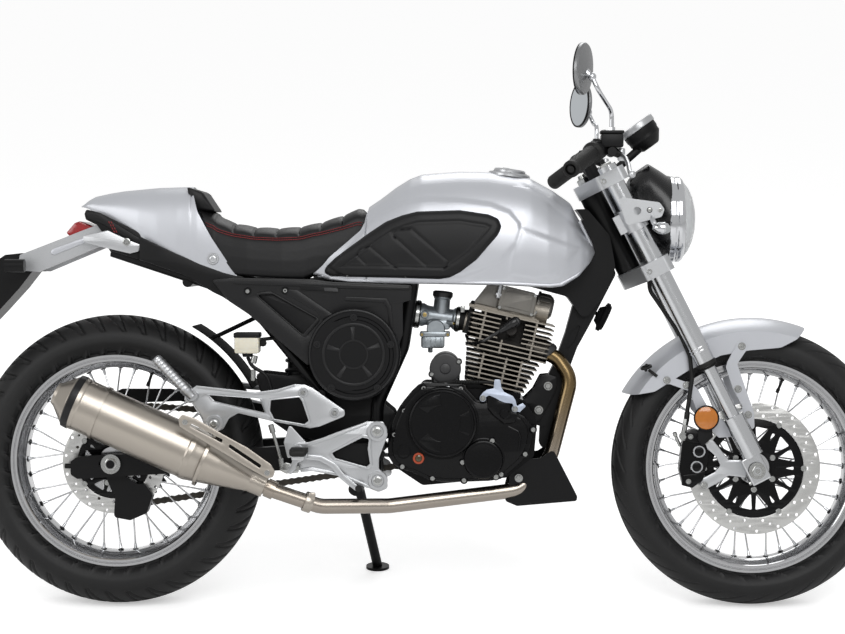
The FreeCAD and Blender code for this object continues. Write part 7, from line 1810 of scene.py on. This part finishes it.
def rider_brackets():
    """The cast brackets with window, bosses and heel guard, and the pegs, brake pedal and gear lever."""
    outline = [(546, 408), (582, 408), (591, 380), (582, 357), (572, 329), (572, 306), (588, 295),
               (591, 266), (571, 258), (551, 266), (492, 294), (429, 306), (404, 303), (388, 318),
               (384, 345), (398, 364), (424, 362), (480, 384)]
    window = [(472, 341), (537, 374), (551, 371), (548, 350), (553, 318), (545, 312), (480, 330)]
    body = plate(outline, -147, -139, 9, 1.6, [window], 4)
    border = framed(window, 7, -150, -146, 4)
    rib = plate([(400, 352), (424, 356), (470, 372), (548, 402), (544, 407), (478, 381), (422, 364),
                 (398, 362)], -150.5, -146, 2, 1.0)
    rib_low = plate([(406, 308), (430, 311), (490, 299), (552, 272), (549, 266), (490, 292), (430, 303),
                     (406, 300)], -150.5, -146, 2, 1.0)
    guard = plate([(370, 363), (381, 398), (386, 397), (424, 356), (416, 336), (378, 330)], -144, -141.5,
                  3, 0.5)
    top, top_screw = boss(568, 387, -140, 21.5, 14)
    low, low_screw = boss(569.5, 282.5, -140, 21, 14)
    mid = rod((398, -140, 344), (398, -156, 344), 15, 2, 28)
    lay_over(both([body, border, rib, rib_low, guard, top, low, mid]), "rider_bracket_castings",
             "satin_alloy", replaced=("rider_brackets",))
    lay_over(both([top_screw, low_screw]), "rider_bracket_screws", "zinc_bolt")
    core = block((392, -232, 333), (420, -154, 343), 3)
    neck = rod((406, -150, 342), (406, -172, 342), 9, 1.5, 20)
    rubber = block((389, -239, 341), (423, -168, 354), 5)
    ridges = [block((389 - 0.8, y, 345), (423 + 0.8, y + 3, 355.4), 0.8) for y in range(-232, -172, 8)]
    lay_over(both([core, neck]), "rider_peg_castings", "satin_alloy")
    lay_over(both([rubber] + ridges), "rider_peg_rubbers", "soft_rubber")
    lever = plate([(398, 318), (416, 328), (446, 325), (470, 312), (490, 288), (512, 270), (528, 258),
                   (537, 264), (520, 279), (500, 296), (480, 320), (450, 336), (414, 339), (396, 330)],
                  -158, -151, 4, 1.6)
    toe = rod((530, -158, 268), (530, -176, 268), 7.5, 1.5, 20)
    arm = plate([(404, 330), (396, 308), (386, 296), (378, 302), (388, 322), (396, 336)], -160, -154, 3, 1.2)
    lay_over([lever, arm], "brake_pedal", "satin_alloy")
    lay_over(toe, "brake_pedal_toe", "soft_rubber")
    link = rod((346, -152, 392), (366, -152, 322), 3.6, 0.8, 16)
    clevis = [rod((343, -152, 402), (348, -152, 384), 6, 1.2, 16),
              rod((364, -152, 330), (368, -152, 312), 6.4, 1.2, 16)]
    foot = plate([(360, 306), (374, 322), (404, 314), (402, 300), (376, 298)], -158, -152, 4, 1.2)
    lay_over([link, foot] + clevis, "brake_link", "zinc_bolt")
    gear = plate([(552, 300), (566, 306), (620, 302), (634, 316), (640, 330), (632, 332), (624, 318),
                  (612, 312), (566, 316), (552, 310)], 151, 157, 3, 1.2)
    lay_over(gear, "gear_lever", "satin_alloy")
    lay_over(rod((634, 152, 318), (634, 188, 318), 8, 2, 20), "gear_lever_rubber", "soft_rubber")


def passenger_face():
    """How far out the passenger brackets stand, read from their own solids."""
    return max(abs(place.y) for place in built_places("passenger_brackets") if 300 < place.x < 480)


def passenger_brackets():
    """The long brackets with two windows, silencer boss, folded pegs and screws."""
    outline = [(166, 470), (182, 482), (310, 468), (356, 474), (392, 486), (414, 485), (430, 478),
               (499, 430), (499, 418), (446, 396), (424, 392), (348, 406), (272, 424), (252, 412),
               (240, 390), (222, 382), (200, 388), (196, 414), (172, 452)]
    rear = [(208, 464), (318, 455), (330, 424), (222, 450)]
    front = [(342, 452), (402, 458), (408, 450), (422, 408), (413, 401), (349, 412), (340, 430)]
    y = -passenger_face()
    body = plate(outline, y, y + 7, 8, 1.6, [rear, front], 3)
    rims = [framed(rear, 5, y - 3, y + 1, 3), framed(front, 5, y - 3, y + 1, 3)]
    rib = plate([(184, 478), (310, 464), (356, 470), (392, 482), (392, 486), (355, 475), (310, 469),
                 (182, 483)], y - 3, y + 1, 1, 0.8)
    cups, heads = [], []
    for x, z, radius in ((410.4, 468.4, 10.5), (477.3, 425, 10.5), (221, 402, 18.5)):
        cup, head = boss(x, z, y + 1, radius, 5.5)
        cups.append(cup)
        heads.append(head)
    hinge = rod((174, y - 8, 461), (174, y + 10, 461), 13, 2, 28)
    arm = plate([(160, 470), (176, 476), (184, 456), (170, 444), (158, 452)], y - 5, y + 6, 4, 1.5)
    lay_over(both([body, rib, hinge, arm] + rims + cups), "passenger_bracket_castings", "satin_alloy",
             replaced=("passenger_brackets",))
    lay_over(both(heads), "passenger_bracket_screws", "zinc_bolt")
    foot = Vector((176, y - 8, 459))
    peg_way = Vector((-80, 0, 84)).normalized()
    core = turned([(0, 0), (0, 9), (12, 9.5), (16, 12), (18, 12), (18, 0)], foot, peg_way, 24)
    ribs = [(20 + 9 * index + along, radius) for index in range(10)
            for along, radius in ((0, 11), (1.5, 12), (6, 12), (7.5, 11))]
    grip = turned([(16, 0), (16, 11)] + ribs + [(112, 11.2), (115, 8), (115, 0)], foot, peg_way, 24)
    lay_over(both([core, grip]), "passenger_pegs", "satin_alloy")


def tail_foot():
    """The tail bracket's foot that clamps over the black trim, with its screw."""
    outline = [(-62, 801), (-10, 813), (6, 805), (40, 790), (61, 782), (57, 768), (38, 763), (-26, 778),
               (-62, 788)]
    foot = plate(outline, -99, -92, 4, 1.6)
    web = block((-58, -98, 788), (-34, -62, 800), 3)
    lay_over(both([foot, web]), "tail_bracket_feet", "satin_alloy")
    cup = turned([(0, 0), (0, 8.5), (2.4, 8.5), (3.2, 7.4), (3.2, 5.4), (1, 5), (1, 0)],
                 (31, -98.6, 788), -Y, 24)
    screw = cap_bolt((31, -99.4, 788), -Y, 4.6, 3.0)
    lay_over(both([cup, screw]), "tail_bracket_foot_screws", "zinc_bolt")


def seat_rail_filler():
    """The dark crosspiece between the seat's foot and the tank."""
    lay_over(block((430, -96, 699), (560, 96, 722), 4), "seat_rail_filler", "black_plastic")


def side_covers():
    """The side covers: a panel with a framed window, screws, a clip and the step beside the round cover."""
    outline = [(214, 708), (268, 712), (429, 709), (463, 704), (640, 697), (640, 664), (622, 660),
               (622, 592), (604, 540), (430, 540), (421, 524), (411, 532), (338, 596), (294, 634),
               (252, 662)]
    window = [(311, 676), (346, 677), (440, 625), (409, 591)]
    body = plate(outline, -124, -117, 6, 2.2, [window], 4)
    rim = framed(window, 8, -126.5, -123, 4)
    back = plate([(300, 684), (350, 684), (450, 625), (409, 580)], -119, -115.5, 2, 0.8)
    top_step = plate([(262, 708), (429, 705), (463, 700), (636, 693), (636, 686), (470, 690), (398, 694),
                      (262, 699)], -128, -123, 3, 1.6)
    step = plate([(500, 672), (588, 668), (598, 650), (602, 604), (594, 604), (590, 644), (582, 659),
                  (500, 663)], -127, -123, 3, 1.4)
    crease = plate([(356, 688), (398, 686), (474, 634), (452, 622), (440, 640)], -126.5, -123, 3, 1.4)
    lay_over(both([body, rim, top_step, step, crease]), "side_cover_panels", "satin_plastic",
             replaced=("side_covers",))
    lay_over(both(back), "side_cover_backs", "black_plastic")
    clip = plate([(404, 697), (484, 691), (488, 683), (406, 686)], -131, -126, 2, 1.0)
    tab = plate([(455, 691), (484, 689), (486, 682), (456, 684)], -132, -130.5, 1, 0.5)
    lay_over(both(clip), "side_cover_clips", "black_plastic")
    lay_over(both(tab), "side_cover_tabs", "grey_casting")
    cup = [(0, 0), (0, 8), (2.2, 8), (3.2, 7), (3.2, 5), (1.2, 4.6), (1.2, 0)]
    cups = [turned(cup, (x, -123.6, z), -Y, 24) for x, z in ((292, 683), (372, 684.5))]
    heads = [cap_bolt((x, -125, z), -Y, 4.2, 2.4) for x, z in ((292, 683), (372, 684.5), (415, 692))]
    lay_over(both(cups), "side_cover_cups", "black_frame")
    lay_over(both(heads), "side_cover_screws", "zinc_bolt")


def round_covers():
    """The round side covers' rims, grooves, faint spokes and screws."""
    centre = (518.5, 550)
    face = max(abs(place.y) for place in built_places("air_box"))
    middle = (centre[0], -face, centre[1])
    outer = [(-10, 97), (-2, 97), (1.5, 95), (2, 92.5), (1, 91), (-1, 90.5), (-10, 90)]
    inner = [(-1, 60), (1.2, 61), (2, 62.5), (2, 65.5), (1.2, 67), (-1, 68)]
    rings = [turned(section, middle, -Y, 96, closed=True) for section in (outer, inner)]
    spokes = [plate(sector(centre, 30, 58, angle, 5), -face - 0.9, -face + 1, 2, 0.5)
              for angle in (20, 92, 164, 236, 308)]
    spokes.append(turned([(-1, 27), (0.9, 28), (0.9, 31), (-1, 32)], middle, -Y, 64, closed=True))
    places = [(518.5, 628), (441, 571), (597, 571), (471, 479), (569, 479)]
    cups = [turned([(0, 0), (0, 8), (2, 8), (3, 7), (3, 5), (1, 4.6), (1, 0)], (x, -face + 0.2, z), -Y, 24)
            for x, z in places]
    lay_over(both(rings + spokes + cups), "round_cover_rings", "satin_plastic")
    heads = [cap_bolt((x, -face - 0.6, z), -Y, 3.8, 2.2) for x, z in places]
    lay_over(both(heads), "round_cover_screws", "dark_steel")


def inner_panels():
    """The dark inner guard's lower part behind the brackets, the fluid reservoir and its fittings."""
    panel = plate([(300, 508), (372, 500), (440, 508), (500, 480), (566, 452), (604, 420), (604, 372),
                   (560, 352), (470, 352), (380, 372), (340, 400), (318, 450)], -60, -54, 12, 2)
    lay_over(both(panel), "inner_guard_sides", "black_plastic")
    floor_plate = block((470, -58, 354), (500, 58, 500), 6)
    lay_over(floor_plate, "inner_guard_front", "black_plastic")
    tank = block((265, -143.5, 551), (317.5, -91, 588), 5)
    line = [plate([(270, 562), (312, 562), (312, 563.4), (270, 563.4)], -144.2, -143, 0.2, 0.2)]
    lay_over([tank] + line, "fluid_reservoir", "cream_plastic")
    lid = block((263.5, -145, 584.5), (319, -89.5, 595.5), 2.5)
    lay_over(lid, "fluid_reservoir_lid", "black_plastic")
    lug = [block((314, -124, 566), (330, -116, 580), 2.5),
           rod((325, -122, 573), (325, -128, 573), 7.5, 1.2, 20)]
    lay_over(lug, "fluid_reservoir_lug", "black_plastic")
    fitting = [rod((307, -119, 546), (303, -119, 530), 7, 1, 20),
               rod((303, -119, 516), (303, -119, 492), 5.5, 1, 20)]
    lay_over(fitting, "reservoir_fittings", "zinc_bolt")


def shock():
    """The shock's coil and the two perches that hold it."""
    places = built_places("shock_absorber")
    ends = []
    for height in (min(p.z for p in places), max(p.z for p in places)):
        near = [p for p in places if abs(p.z - height) < 12]
        ends.append(Vector((sum(p.x for p in near) / len(near), 0, sum(p.z for p in near) / len(near))))
    foot, top = ends
    lift = top - foot
    way = lift.normalized()
    across = way.cross(Y)
    coil = []
    turns, count = 8.5, 240
    for step in range(count + 1):
        share = step / count
        angle = 2 * math.pi * turns * share
        coil.append(foot + lift * (0.2 + 0.6 * share) + (Y * math.cos(angle) + across * math.sin(angle)) * 30)
    spring = wires([coil], 4.4, 2)
    lay_over(spring, "shock_spring", "spring_paint")
    perches = [turned([(0, 20), (0, 37), (6, 37), (8, 35), (8, 20)], foot + lift * share, way, 40,
                      closed=True) for share in (0.17, 0.80)]
    lay_over(perches, "shock_perches", "satin_alloy")


def front_bracket():
    """The plates and bolts that hold the engine's front to the down tube."""
    outline = [(866, 440), (884, 452), (902, 470), (918, 500), (936, 502), (954, 496), (952, 470), (936, 436),
               (916, 402), (898, 396), (890, 420)]
    mount = plate(outline, -34, -27, 5, 1.5)
    lay_over(both(mount), "engine_mount_plates", "black_frame")
    heads = []
    for x, z in ((886, 421), (914, 425), (934, 477)):
        heads.append(rod((x, -33, z), (x, -37, z), 10, 1, 28))
        heads.append(bolt((x, -37, z), -Y, 7.4, 5))
    lay_over(both(heads), "engine_mount_bolts", "zinc_bolt")


passenger_brackets()
tail_foot()
seat_rail_filler()
rider_brackets()
side_covers()
round_covers()
inner_panels()
shock()
front_bracket()


# Floor, light and camera
def studio():
    """A pale floor that holds a soft shadow, in even light."""
    clear_selection()
    bpy.ops.mesh.primitive_plane_add(size=60, location=(0, 0, 0))
    floor = bpy.context.view_layer.objects.active
    floor.name = "floor"
    material = bpy.data.materials.new("white_studio_floor")
    material.use_nodes = True
    tree = material.node_tree
    tree.nodes.clear()
    matt = node(tree, "ShaderNodeBsdfDiffuse", inputs={"Color": linear("#f2f2f2")})
    seen = node(tree, "ShaderNodeLightPath").outputs["Is Camera Ray"]
    lift = node(tree, "ShaderNodeMath", {"operation": "MULTIPLY"}, {0: seen, 1: 0.42}).outputs[0]
    glow = node(tree, "ShaderNodeEmission", inputs={"Color": linear("#ffffff"), "Strength": lift})
    bright = node(tree, "ShaderNodeAddShader")
    tree.links.new(matt.outputs[0], bright.inputs[0])
    tree.links.new(glow.outputs[0], bright.inputs[1])
    node(tree, "ShaderNodeOutputMaterial", inputs={"Surface": bright.outputs[0]})
    floor.data.materials.append(material)

    world = bpy.data.worlds.new("studio")
    bpy.context.scene.world = world
    world.use_nodes = True
    tree = world.node_tree
    tree.nodes.clear()
    seen = node(tree, "ShaderNodeLightPath")
    direct = node(tree, "ShaderNodeMath", {"operation": "MAXIMUM"},
                  {0: seen.outputs["Is Camera Ray"], 1: seen.outputs["Is Transmission Ray"]})
    strength = node(tree, "ShaderNodeMapRange",
                    inputs={"Value": direct.outputs[0], "To Min": 0.62, "To Max": 1.0})
    background = node(tree, "ShaderNodeBackground", inputs={
        "Color": linear("#ffffff"), "Strength": strength.outputs[0]})
    node(tree, "ShaderNodeOutputWorld", inputs={"Surface": background.outputs[0]})

    for name, place, size, power in (
            ("key_light", (0.6, -3.2, 3.4), 2.6, 90), ("fill_light", (-3.0, -2.4, 2.2), 2.0, 30),
            ("back_light", (0.4, 3.0, 3.2), 2.4, 45)):
        data = bpy.data.lights.new(name, "AREA")
        data.energy = power
        data.size = size
        light = bpy.data.objects.new(name, data)
        light.location = place
        light.rotation_euler = (Vector((0, 0, 0.5)) - Vector(place)).to_track_quat("-Z", "Y").to_euler()
        bpy.context.scene.collection.objects.link(light)


def camera():
    """The camera stands square to the leaning bike's right side, a little above its middle."""
    focal_px, frame_px, sensor = 2180.0, 845.0, 36.0
    left_px, down_px = 34.5, 61.0
    stand = Vector((737, -4750, 758)) * MM
    data = bpy.data.cameras.new("camera")
    data.sensor_width = sensor
    data.lens = sensor * focal_px / frame_px
    data.clip_end = 100.0
    made = bpy.data.objects.new("camera", data)
    bpy.context.scene.collection.objects.link(made)
    yaw, pitch = math.atan2(left_px, focal_px), math.atan2(down_px, focal_px)
    look = Matrix.Rotation(yaw, 4, "Z") @ Matrix.Rotation(math.pi / 2 - pitch, 4, "X")
    made.matrix_world = STANCE @ Matrix.Translation(stand) @ look
    bpy.context.scene.camera = made


studio()
camera()
bpy.context.scene.view_settings.view_transform = "Standard"
